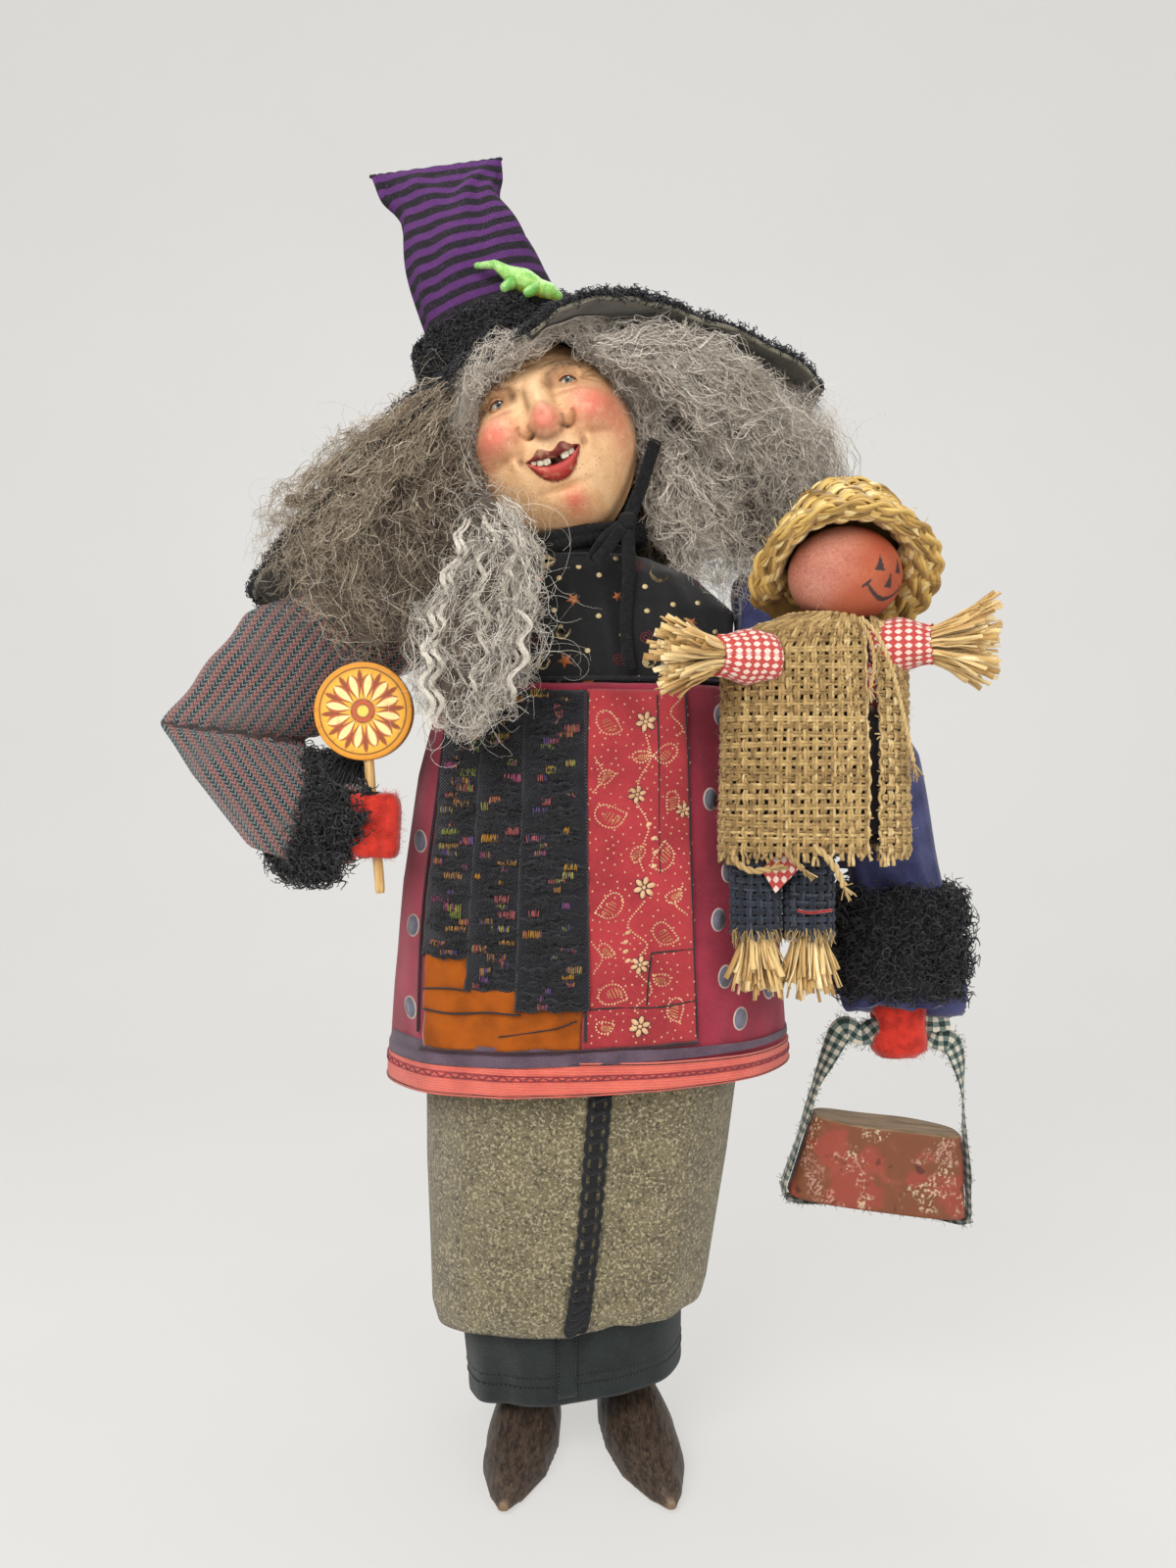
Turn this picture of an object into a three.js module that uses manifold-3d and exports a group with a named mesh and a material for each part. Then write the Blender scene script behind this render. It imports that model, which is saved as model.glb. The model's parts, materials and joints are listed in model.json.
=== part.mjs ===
// Witch doll: a stuffed cloth figure with a clay head and a floppy hat. It holds a lollipop in the
// right hand and a painted pail in the left, and a straw scarecrow is sewn to the left sleeve.
// Millimetres, +Z up. The doll faces -Y, so its right hand is on the -X side.
import * as THREE from "three";
import { mergeVertices } from "three/addons/utils/BufferGeometryUtils.js";
import Module from "manifold-3d";

const wasm = await Module();
wasm.setup();

// Driving dimensions: cloth and clearances
const SEAM_GAP = 0.4; // between pieces that are sewn or glued to each other
const RUNNING_GAP = 0.6; // between pieces that move past each other
const CLOTH = 1.8; // garment wall, cloth with its lining
const PATCH = 1.4; // applied panel
const TRIM = 1.2; // ribbon and braid

// Driving dimensions: stuffed body, from the seat up
const SEAT_Z = 84;
const SEAT_HALF_WIDTH = 56;
const SEAT_HALF_DEPTH = 40;
const WAIST_Z = 190;
const WAIST_HALF_WIDTH = 74;
const WAIST_HALF_DEPTH = 54;
const BUST_Z = 305;
const BUST_HALF_WIDTH = 71;
const BUST_HALF_DEPTH = 52;
const YOKE_Z = 352; // top edge of the vest
const YOKE_HALF_WIDTH = 67;
const YOKE_HALF_DEPTH = 46;
const SHOULDER_Z = 388;
const SHOULDER_HALF_WIDTH = 69;
const SHOULDER_HALF_DEPTH = 33;
const COLLAR_Z = 414;
const COLLAR_X = -4;
const COLLAR_Y = -6;
const COLLAR_HALF_WIDTH = 29;
const COLLAR_HALF_DEPTH = 23;
const BODY_LEAN = -9; // sideways shift of the seat from the shoulders

// Driving dimensions: garments below the shoulders
const VEST_HEM_Z = 174;
const VEST_HEM_HALF_WIDTH = 94;
const VEST_HEM_HALF_DEPTH = 67;
const VEST_HEM_SLOPE = 0.04;
const VEST_BELLY_Z = 262;
const VEST_BELLY_HALF_WIDTH = 89;
const VEST_BELLY_HALF_DEPTH = 63;
const HEM_BAND_HEIGHT = 12;
const HEM_FACING_HEIGHT = 5;
const BOUCLE_THICKNESS = 2.5;
const BOUCLE_LEFT = -73;
const BOUCLE_TOP_LEFT = -61;
const BOUCLE_STEPS = [
  { x: -52, z: 40 },
  { x: -30, z: 26 },
  { x: 0, z: 17 },
]; // right edge of each pleat, and its lower edge above the panels' foot
const BANDANA_HEM_WIDTH = 46;
const BANDANA_TOP_WIDTH = 43;
const BLOUSE_BOTTOM_Z = 336; // tucked into the vest
const SKIRT_HEM_Z = 62;
const SKIRT_HEM_HALF_WIDTH = 65.5;
const SKIRT_HEM_HALF_DEPTH = 48;
const SKIRT_HEM_SLOPE = 0.07; // the hem rises towards the left hand
const BRAID_WIDTH = 11;
const BRAID_PITCH = 12; // one scallop
const UNDERSKIRT_HEM_Z = 27;
const UNDERSKIRT_TOP_Z = 98;
const UNDERSKIRT_HEM_HALF_WIDTH = 50;
const UNDERSKIRT_HEM_HALF_DEPTH = 38;
const UNDERSKIRT_HEM_SLOPE = 0.1;

// Driving dimensions: legs
const SHOE_LENGTH = 98;
const SHOE_HALF_WIDTH = 16.5;
const SHOE_HEIGHT = 27;
const RIGHT_FOOT_X = -28;
const LEFT_FOOT_X = 20;
const RIGHT_TOE_OUT = 6; // degrees
const LEFT_TOE_OUT = 12;
const LEG_RADIUS = 7;
const LEG_TOP_Z = 150;

// Driving dimensions: head and hat
const HEAD_X = -14;
const HEAD_Y = -16;
const HEAD_Z = 466;
const HEAD_TILT = -18; // degrees, the crown leans to the right hand
const FACE_TURN = -7; // degrees
const HEAD_HALF_WIDTH = 38;
const HEAD_HALF_DEPTH = 41;
const HEAD_HALF_HEIGHT = 47;
const NOSE_RADIUS = 8.5;
const CHEEK_RADIUS = 15;
const CHEEK_SIDE = 20;
const CHEEK_Z = -5;
const CHIN_RADIUS = 14;
const CHIN_Z = -36;
const MOUTH_Z = -18;
const NECK_POST_RADIUS = 8;
const NECK_POST_DEPTH = 40; // into the body
const NECK_POST_REACH = 26; // into the head
const COLLAR_BRAID_RADIUS = 5;
const HAT_X = -11; // from the head's centre, in the tilted frame
const HAT_Y = 11;
const HAT_Z = 44;
const CROWN_HALF_WIDTH = 33;
const CROWN_HALF_DEPTH = 31;
const CROWN_HEIGHT = 102;
const CROWN_MIDDLE_HALF_DEPTH = 24;
const CROWN_NECK_HALF_WIDTH = 24.5; // below the two corners of the flat top seam
const CROWN_NECK_HALF_DEPTH = 15;
const CROWN_TOP_HALF_WIDTH = 31;
const CROWN_TOP_HALF_DEPTH = 2.2;
const CROWN_TOP_SLOPE = -0.18;
const HAT_BAND_HEIGHT = 19;
const HAT_BAND_THICKNESS = 9.5;
const HAT_BAND_TOP_THICKNESS = 7;
const LIZARD_SIDE = 17; // from the middle of the hat towards the left hand
const LIZARD_ABOVE_BAND = 3;
const LIZARD_ROLL = 18; // degrees
const LIZARD_SLOPE = 30; // degrees
const BRIM_CLOTH = 2.4;
const BRIM_LINING = 1;

// Driving dimensions: right arm, offsets from the right shoulder in the plane of the arm
const RIGHT_SLEEVE_HALF_WIDTH = 33;
const RIGHT_SLEEVE_HALF_DEPTH = 18;
const RIGHT_ARM_SWEEP = 34; // the hair stays this far forward of the shoulder, clear of the swinging arm
const RIGHT_ELBOW_OUT = 97; // from the shoulder face to the middle of the folded elbow
const RIGHT_ELBOW_DOWN = 56;
const ELBOW_Y = -4;
const ELBOW_FOLD_HALF_WIDTH = 35.5;
const ELBOW_FOLD_SLOPE = -0.12;
const ELBOW_FOLD_GAP = 0.8;
const RIGHT_HAND_DOWN = 43; // from the elbow fold to the wrist
const RIGHT_HAND_IN = 68;
const RIGHT_HAND_FORWARD = 42;
const WRIST_HALF_HEIGHT = 18;
const CUFF_THICKNESS = 8.5;
const RIGHT_CUFF_FROM = 0.52; // places along the forearm, from the elbow to the wrist
const RIGHT_CUFF_TO = 0.9;
const MITT_HALF_WIDTH = 12;
const MITT_HALF_DEPTH = 10;
const MITT_HEIGHT = 28;
const ARM_WIRE_RADIUS = 1.6;
const UPPER_WIRE_INSET = 5; // from the shoulder face
const WIRE_END_INSET = 12; // from the middle of the elbow
const STICK_RADIUS = 2.2;
const STICK_BELOW_HAND = 30;
const STICK_TRAVEL = 20; // the room for the stick's slide beyond both of its ends
const LOLLIPOP_PUSH = 12; // how far the stick can be pushed in
const LOLLIPOP_RADIUS = 21.5;
const LOLLIPOP_THICKNESS = 7;
const LOLLIPOP_ABOVE_HAND = 50;
const LOLLIPOP_LEAN = -5; // degrees

// Driving dimensions: left arm, pail and strap
const LEFT_SLEEVE_HALF_WIDTH = 25;
const LEFT_SLEEVE_HALF_DEPTH = 19;
const LEFT_HAND_OUT = 72; // from the shoulder face to the wrist
const LEFT_HAND_DOWN = 184;
const LEFT_HAND_FORWARD = 22;
const LEFT_CUFF_FROM = 0.75; // places along the sleeve, from the shoulder to the wrist
const LEFT_CUFF_TO = 0.97;
const LEFT_CUFF_THICKNESS = 7;
const LEFT_MITT_HALF_WIDTH = 13;
const LEFT_MITT_IN_SLEEVE = 9;
const LEFT_GRIP_BELOW_MIDDLE = 3;
const GRIP_RADIUS = 4.3; // the strap bunched in the mitt
const STRAP_HALF_WIDTH = 5;
const STRAP_HALF_THICKNESS = 1.4;
const STRAP_TAIL = 15;
const PAIL_DROP = 64; // from the grip to the middle of the pail
const PAIL_SIDE = -8.5;
const PAIL_TILT = 7.5; // degrees
const PAIL_TOP_HALF_WIDTH = 34;
const PAIL_BOTTOM_HALF_WIDTH = 41;
const PAIL_HEIGHT = 38;
const PAIL_DEPTH = 27;

// Driving dimensions: scarecrow, offsets from the left shoulder
const SCARECROW_OUT = 25.4;
const SCARECROW_FORWARD = 60;
const SCARECROW_DOWN = 104; // from the shoulder to the scarecrow's hips
const BURLAP_HALF_WIDTH = 40;
const BURLAP_HALF_DEPTH = 20;
const BURLAP_BELOW_HIPS = 6;
const BURLAP_SHOULDER_Z = 80; // above the hips
const BURLAP_NECK_Z = 95;
const BURLAP_SLIT = 3.5;
const SLIT_X = 17; // left of the middle of the burlap
const BALL_RADIUS = 23.5;
const BALL_HALF_HEIGHT = 20.5;
const BALL_SIDE = 13;
const BALL_TURN = 20; // degrees to each side
const PEG_RADIUS = 3;
const PEG_DEPTH = 26; // into the scarecrow's body
const SCARECROW_ARM_Z = 76;
const SCARECROW_ARM_LIFT = 6; // the left sleeve sits higher
const STRAW_HAT_RIM_RADIUS = 39;
const STRAW_HAT_OPENING = 26;
const STRAW_HAT_HEIGHT = 30;
const STRAW_BRAID = 4.5;
const STRAW_HAT_TILT = 40; // degrees back from upright
const SCARECROW_SLEEVE_RADIUS = 11.5;
const SCARECROW_SLEEVE_LENGTH = 27;
const STRAW_RADIUS = 8.5;
const STRAW_STRANDS = 75; // in each tuft
const STRAW_THICKNESS = 0.8; // at the root of a strand
const STRAW_HAND_LENGTH = 25;
const STRAW_FOOT_LENGTH = 22;
const TROUSER_HALF_WIDTH = 10.5;
const TROUSER_HALF_DEPTH = 9.5;
const TROUSER_LENGTH = 42;

// Vectors and sections
const point = (x, y, z) => new THREE.Vector3(x, y, z);
const radians = THREE.MathUtils.degToRad;
const lerp = THREE.MathUtils.lerp;

// A section is a superellipse in space: a centre, two half-axis vectors and a squareness of 2 or more.
const section = (centre, u, v, squareness = 2) => ({ centre, u, v, squareness });

// A section that lies level, or rises sideways by a slope.
const level = (x, y, z, halfWidth, halfDepth, squareness = 2, slope = 0) =>
  section(point(x, y, z), point(halfWidth, 0, halfWidth * slope), point(0, halfDepth, 0), squareness);

const longer = (vector, by) => vector.clone().setLength(vector.length() + by);
const grown = (s, by) => section(s.centre, longer(s.u, by), longer(s.v, by), s.squareness);
const grownAll = (sections, by) => sections.map((s) => grown(s, by));

const between = (a, b, share) =>
  section(
    a.centre.clone().lerp(b.centre, share),
    a.u.clone().lerp(b.u, share),
    a.v.clone().lerp(b.v, share),
    lerp(a.squareness, b.squareness, share),
  );

// A section part of the way from a to b whose size runs ahead of its place, or behind it.
function bulged(a, b, share, ahead) {
  const size = between(a, b, share + ahead);
  return section(between(a, b, share).centre, size.u, size.v, size.squareness);
}

// The section at a place from 0 to 1 along a stack of sections.
function along(sections, place) {
  const spans = sections.length - 1;
  const first = Math.min(Math.floor(place * spans), spans - 1);
  return between(sections[first], sections[first + 1], place * spans - first);
}

// The section of an upright stack at height z.
function atHeight(sections, z) {
  const above = sections.findIndex((s) => s.centre.z >= z);
  const upper = above < 0 ? sections.length - 1 : Math.max(above, 1);
  const [a, b] = [sections[upper - 1], sections[upper]];
  return between(a, b, (z - a.centre.z) / (b.centre.z - a.centre.z));
}

// The same stack with its two ends moved out along itself.
function lengthened(sections, by) {
  const push = (end, next) => {
    const out = end.centre.clone().sub(next.centre).setLength(by);
    return section(end.centre.clone().add(out), end.u, end.v, end.squareness);
  };
  const last = sections.length - 1;
  const ends = [push(sections[0], sections[1]), push(sections[last], sections[last - 1])];
  return [ends[0], ...sections.slice(1, last), ends[1]];
}

function ringOf({ centre, u, v, squareness }, sides) {
  const power = 2 / squareness;
  const bent = (value) => Math.sign(value) * Math.abs(value) ** power;
  return Array.from({ length: sides }, (_, k) => {
    const angle = (2 * Math.PI * k) / sides;
    return centre.clone().addScaledVector(u, bent(Math.cos(angle))).addScaledVector(v, bent(Math.sin(angle)));
  });
}

// Closed geometries from rings of points
function closedGeometry(points, triangles) {
  let volume = 0;
  for (const [a, b, c] of triangles) volume += points[a].dot(points[b].clone().cross(points[c]));
  const facing = volume < 0 ? triangles.map(([a, b, c]) => [a, c, b]) : triangles;
  const geometry = new THREE.BufferGeometry().setFromPoints(points);
  geometry.setIndex(facing.flat());
  return geometry;
}

// The faces between neighbouring rings, each split along its shorter diagonal.
function bandTriangles(rings, closed) {
  const sides = rings[0].length;
  const triangles = [];
  for (let i = 0; i < (closed ? rings.length : rings.length - 1); i++) {
    const after = (i + 1) % rings.length;
    for (let k = 0; k < sides; k++) {
      const next = (k + 1) % sides;
      const [a, b] = [i * sides + k, i * sides + next];
      const [c, d] = [after * sides + next, after * sides + k];
      const rising = rings[i][k].distanceTo(rings[after][next]);
      const falling = rings[i][next].distanceTo(rings[after][k]);
      if (rising < falling) triangles.push([a, b, c], [a, c, d]);
      else triangles.push([a, b, d], [b, c, d]);
    }
  }
  return triangles;
}

// A solid skinned over a stack of rings, with its two ends closed.
function skin(rings) {
  const sides = rings[0].length;
  const triangles = bandTriangles(rings, false);
  const lastRing = (rings.length - 1) * sides;
  for (let k = 1; k < sides - 1; k++) {
    triangles.push([0, k + 1, k], [lastRing, lastRing + k, lastRing + k + 1]);
  }
  return closedGeometry(rings.flat(), triangles);
}

const loft = (sections, sides = 20) => skin(sections.map((s) => ringOf(s, sides)));

// A ring-shaped solid skinned over rings that come back to the first.
const loop = (rings) => closedGeometry(rings.flat(), bandTriangles(rings, true));

// An open tube of cloth between an outer and an inner stack of sections.
const tube = (outer, inner, sides = 24) =>
  loop([...outer, ...[...inner].reverse()].map((s) => ringOf(s, sides)));

const ball = (centre, rx, ry, rz, sides = 16) =>
  new THREE.SphereGeometry(1, sides, Math.round(sides * 0.7))
    .rotateX(Math.PI / 2)
    .scale(rx, ry, rz)
    .translate(centre.x, centre.y, centre.z);

const box = (x0, x1, y0, y1, z0, z1) =>
  new THREE.BoxGeometry(x1 - x0, y1 - y0, z1 - z0).translate((x0 + x1) / 2, (y0 + y1) / 2, (z0 + z1) / 2);

// A round rod from one point to another, which may come to a point.
function rod(from, to, radius, sides = 10, endRadius = radius) {
  const length = from.distanceTo(to);
  const turn = new THREE.Quaternion().setFromUnitVectors(point(0, 1, 0), to.clone().sub(from).normalize());
  const geometry = new THREE.CylinderGeometry(endRadius, radius, length, sides).applyQuaternion(turn);
  const middle = from.clone().add(to).divideScalar(2);
  return geometry.translate(middle.x, middle.y, middle.z);
}

// The point beyond the end of a line, in its own direction.
const beyond = (from, to, by) => to.clone().add(to.clone().sub(from).setLength(by));

// Boolean joins and cuts
function solidOf(geometry) {
  const bare = geometry.clone();
  bare.deleteAttribute("normal");
  bare.deleteAttribute("uv");
  const merged = mergeVertices(bare, 1e-4);
  const vertProperties = merged.attributes.position.array;
  const triVerts = new Uint32Array(merged.index.array);
  return new wasm.Manifold(new wasm.Mesh({ numProp: 3, vertProperties, triVerts }));
}

function geometryOf(solid) {
  const mesh = solid.getMesh();
  const geometry = new THREE.BufferGeometry();
  geometry.setAttribute("position", new THREE.BufferAttribute(new Float32Array(mesh.vertProperties), 3));
  return geometry.setIndex(new THREE.BufferAttribute(new Uint32Array(mesh.triVerts), 1));
}

// Slivers that a cut leaves loose are dropped, and the main body stays.
const mainBody = (solid) => solid.decompose().reduce((a, b) => (a.volume() > b.volume() ? a : b));
const cut = (geometry, ...cutters) =>
  geometryOf(mainBody(cutters.reduce((rest, cutter) => rest.subtract(solidOf(cutter)), solidOf(geometry))));
const join = (...geometries) => geometryOf(geometries.map(solidOf).reduce((sum, solid) => sum.add(solid)));
const common = (a, b) => geometryOf(mainBody(solidOf(a).intersect(solidOf(b))));

// Materials
const finish = (color, roughness) => new THREE.MeshStandardMaterial({ color, roughness, metalness: 0 });
const MUSLIN = finish(0xcfc4ae, 0.95);
const RASPBERRY = finish(0x9c2a3c, 0.9);
const BOUCLE = finish(0x1f1e22, 0.95);
const OCHRE = finish(0xb8640f, 0.85);
const BANDANA = finish(0xab2f33, 0.9);
const CORAL = finish(0xe0655a, 0.85);
const MAUVE = finish(0x6d5363, 0.9);
const TWEED = finish(0x8c8266, 0.95);
const BLACK_BRAID = finish(0x17171a, 0.9);
const DARK_GREEN = finish(0x1f2624, 0.85);
const NIGHT_PRINT = finish(0x16151a, 0.85);
const SHOE_WOOD = finish(0x3a2c24, 0.45);
const PALE_WOOD = finish(0xd9b47a, 0.6);
const STEEL = new THREE.MeshStandardMaterial({ color: 0x8a8a8a, roughness: 0.4, metalness: 1 });
const CLAY = finish(0xd39b72, 0.55);
const GREY_WOOL = finish(0x8d857a, 0.95);
const WHITE_WOOL = finish(0xd6cfc2, 0.95);
const STRIPED_KNIT = finish(0x5c2470, 0.9);
const OLIVE_LINING = finish(0x6b6150, 0.9);
const GREEN_RUBBER = finish(0x77c95f, 0.4);
const STRIPED_WOOL = finish(0x77686a, 0.95);
const RED_FELT = finish(0xc4281b, 0.95);
const YELLOW_WOOD = finish(0xe3aa3c, 0.55);
const NAVY_VELVET = finish(0x34345c, 0.9);
const PAIL_PAINT = finish(0x8a4530, 0.75);
const GINGHAM = finish(0x4b574e, 0.95);
const RED_CLAY = finish(0xb0614a, 0.75);
const STRAW = finish(0xd8b464, 0.85);
const BURLAP = finish(0xa98b58, 0.95);
const RED_CHECK = finish(0xc4443f, 0.9);
const NAVY_BURLAP = finish(0x35394d, 0.95);

const doll = new THREE.Group();

function add(group, name, geometry, material) {
  const mesh = new THREE.Mesh(geometry, material);
  mesh.name = name;
  group.add(mesh);
  return mesh;
}

// Stuffed body, with the garments drawn as offsets of it or as stacks of their own
const seat = level(BODY_LEAN, 0, SEAT_Z, SEAT_HALF_WIDTH, SEAT_HALF_DEPTH, 2.4);
const waist = level(BODY_LEAN * 0.2, 0, WAIST_Z, WAIST_HALF_WIDTH, WAIST_HALF_DEPTH, 2.2);
const shoulders = level(0, 0, SHOULDER_Z, SHOULDER_HALF_WIDTH, SHOULDER_HALF_DEPTH, 2.4);
const neckline = level(COLLAR_X, COLLAR_Y, COLLAR_Z, COLLAR_HALF_WIDTH, COLLAR_HALF_DEPTH);
const bodySections = [
  seat,
  bulged(seat, waist, 0.45, 0.17),
  waist,
  level(0, 0, BUST_Z, BUST_HALF_WIDTH, BUST_HALF_DEPTH, 2.2),
  level(0, 0, YOKE_Z, YOKE_HALF_WIDTH, YOKE_HALF_DEPTH, 2.2),
  shoulders,
  bulged(shoulders, neckline, 0.6, -0.18),
  neckline,
];
const BODY_SIDES = 24;
const stackBetween = (sections, low, high) => [
  atHeight(sections, low),
  ...sections.filter((s) => s.centre.z > low + 1 && s.centre.z < high - 1),
  atHeight(sections, high),
];

const blouseInner = grownAll(stackBetween(bodySections, BLOUSE_BOTTOM_Z, COLLAR_Z - 1), SEAM_GAP);
const blouseOuter = grownAll(blouseInner, CLOTH);
const blouseClear = lengthened(grownAll(blouseOuter, SEAM_GAP), SEAM_GAP);

const vestTop = grown(atHeight(bodySections, YOKE_Z), 2 * SEAM_GAP + 2 * CLOTH);
const vestHem = level(0, 0, VEST_HEM_Z, VEST_HEM_HALF_WIDTH, VEST_HEM_HALF_DEPTH, 2.3, VEST_HEM_SLOPE);
const vestBelly = level(0, 0, VEST_BELLY_Z, VEST_BELLY_HALF_WIDTH, VEST_BELLY_HALF_DEPTH, 2.3);
const vestOuter = [
  vestHem,
  bulged(vestHem, vestBelly, 0.5, -0.1),
  vestBelly,
  bulged(vestBelly, vestTop, 0.55, -0.13),
  vestTop,
];
const vestInner = grownAll(vestOuter, -CLOTH);

const SKIRT_TUCK = 6; // how far the skirt runs up past the waist
const skirtTopZ = WAIST_Z + SKIRT_TUCK;
const skirtTop = grown(atHeight(bodySections, skirtTopZ), SEAM_GAP + CLOTH);
const SKIRT_HEM_TURN = 3; // how far the hem is drawn in
const SKIRT_HEM_ROLL = 9; // height of the roll above it
const skirtSection = (z) =>
  level(BODY_LEAN, 0, z, SKIRT_HEM_HALF_WIDTH, SKIRT_HEM_HALF_DEPTH, 2.5, SKIRT_HEM_SLOPE);
const skirtRoll = skirtSection(SKIRT_HEM_Z + SKIRT_HEM_ROLL);
const skirtOuter = [
  grown(skirtSection(SKIRT_HEM_Z), -SKIRT_HEM_TURN),
  skirtRoll,
  bulged(skirtRoll, skirtTop, 0.5, 0.12),
  ...grownAll(stackBetween(bodySections, WAIST_Z - SKIRT_TUCK, skirtTopZ), SEAM_GAP + CLOTH),
];
const skirtInner = grownAll(skirtOuter, -CLOTH);

const underskirtTop = grown(atHeight(bodySections, UNDERSKIRT_TOP_Z), SEAM_GAP + CLOTH);
const underskirtSeat = grown(seat, SEAM_GAP + CLOTH);
const UNDERSKIRT_SEAT_DROP = 4; // below the stuffed seat
underskirtSeat.centre = underskirtSeat.centre.clone().setZ(SEAT_Z - UNDERSKIRT_SEAT_DROP);
const underskirtHem = level(
  BODY_LEAN * 0.6,
  0,
  UNDERSKIRT_HEM_Z,
  UNDERSKIRT_HEM_HALF_WIDTH,
  UNDERSKIRT_HEM_HALF_DEPTH,
  2.4,
  UNDERSKIRT_HEM_SLOPE,
);
const underskirtOuter = [
  underskirtHem,
  bulged(underskirtHem, underskirtSeat, 0.6, -0.3),
  underskirtSeat,
  underskirtTop,
];
const underskirtInner = grownAll(underskirtOuter, -CLOTH);

const legs = [
  { side: "right", x: RIGHT_FOOT_X, toeOut: -RIGHT_TOE_OUT },
  { side: "left", x: LEFT_FOOT_X, toeOut: LEFT_TOE_OUT },
];
const legRod = (leg, from, to, radius) => rod(point(leg.x, 0, from), point(leg.x, 0, to), radius, 12);
const HOLE_BEYOND = 1; // how far a blind hole runs past the end of its rod

const neckTop = point(HEAD_X * 0.55, HEAD_Y * 0.7, HEAD_Z - HEAD_HALF_HEIGHT + NECK_POST_REACH);
const neckFoot = point(-3, -4, COLLAR_Z - NECK_POST_DEPTH);

function addBody() {
  const sockets = legs.map((leg) =>
    legRod(leg, SEAT_Z - HOLE_BEYOND, LEG_TOP_Z + HOLE_BEYOND, LEG_RADIUS + SEAM_GAP),
  );
  const below = neckFoot.clone().sub(neckTop).setLength(HOLE_BEYOND).add(neckFoot);
  const neckSocket = rod(below, neckTop, NECK_POST_RADIUS + SEAM_GAP, 12);
  add(doll, "stuffed_body", cut(loft(bodySections, BODY_SIDES), ...sockets, neckSocket), MUSLIN);
  add(doll, "neck_post", rod(neckFoot, neckTop, NECK_POST_RADIUS, 12), PALE_WOOD);
}

function addGarments() {
  add(doll, "blouse", tube(blouseOuter, blouseInner, BODY_SIDES), NIGHT_PRINT);
  add(doll, "vest", tube(vestOuter, vestInner, BODY_SIDES), RASPBERRY);
  add(doll, "skirt", tube(skirtOuter, skirtInner, BODY_SIDES), TWEED);
  add(doll, "underskirt", tube(underskirtOuter, underskirtInner, BODY_SIDES), DARK_GREEN);
  addVestPanels();
  addSkirtBraid();
  addUnderskirtTab();
}

// A front panel follows the cloth below it: a skin over the cloth, trimmed to the panel's outline.
const PANEL_REACH = 120; // how far forward an outline is drawn out
function panel(outer, outline, thickness, lift = SEAM_GAP) {
  const sheet = tube(grownAll(outer, lift + thickness), grownAll(outer, lift), BODY_SIDES);
  const shape = new THREE.Shape(outline.map(([x, z]) => new THREE.Vector2(x, z)));
  const cutter = new THREE.ExtrudeGeometry(shape, { depth: PANEL_REACH, bevelEnabled: false, steps: 1 });
  return common(sheet, cutter.rotateX(Math.PI / 2));
}

const bandTopZ = VEST_HEM_Z + HEM_BAND_HEIGHT;
const facingTopZ = bandTopZ + SEAM_GAP + HEM_FACING_HEIGHT;
const panelBottomZ = facingTopZ + 1;
const panelTopZ = YOKE_Z - 3;

// A band round the vest between two heights, level with its hem.
function vestRing(low, high, thickness) {
  const inner = grownAll(stackBetween(vestOuter, low, high), SEAM_GAP);
  return tube(grownAll(inner, thickness), inner, BODY_SIDES);
}

function addVestPanels() {
  const steps = BOUCLE_STEPS.map(({ x, z }) => ({ x, z: panelBottomZ + z }));
  const stairs = [];
  let edge = BOUCLE_LEFT;
  for (const { x, z } of steps) {
    stairs.push([edge, z], [x, z]);
    edge = x;
  }
  const boucleRight = steps.at(-1).x;
  const boucle = [...stairs, [boucleRight, panelTopZ], [BOUCLE_TOP_LEFT, panelTopZ]];
  const foot = (x) => [x, panelBottomZ + x * VEST_HEM_SLOPE];
  const ochre = [
    foot(BOUCLE_LEFT),
    foot(boucleRight),
    [boucleRight, steps.at(-1).z - SEAM_GAP],
    ...[...stairs].reverse().slice(1).map(([x, z]) => [x - SEAM_GAP, z - SEAM_GAP]),
  ];
  const bandanaLeft = boucleRight + 2 * SEAM_GAP;
  const bandana = [
    foot(bandanaLeft),
    foot(bandanaLeft + BANDANA_HEM_WIDTH),
    [bandanaLeft + BANDANA_TOP_WIDTH, panelTopZ],
    [bandanaLeft, panelTopZ],
  ];
  add(doll, "boucle_panel", panel(vestOuter, boucle, BOUCLE_THICKNESS), BOUCLE);
  add(doll, "ochre_panel", panel(vestOuter, ochre, PATCH), OCHRE);
  add(doll, "bandana_panel", panel(vestOuter, bandana, PATCH), BANDANA);
  add(doll, "hem_band", vestRing(VEST_HEM_Z, bandTopZ, TRIM), CORAL);
  add(doll, "hem_facing", vestRing(bandTopZ + SEAM_GAP, facingTopZ, TRIM), MAUVE);
  const cordZ = YOKE_Z + SEAM_GAP + TRIM;
  const cordPath = grown(atHeight(bodySections, cordZ), SEAM_GAP + CLOTH + SEAM_GAP + TRIM);
  const CORD_SIDES = 6;
  const rings = ringOf(cordPath, BODY_SIDES).map((p) => {
    const out = point(p.x, p.y, 0).setLength(TRIM);
    return ringOf(section(p, out, point(0, 0, TRIM)), CORD_SIDES);
  });
  add(doll, "neckline_cord", loop(rings), BLACK_BRAID);
}

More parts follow.
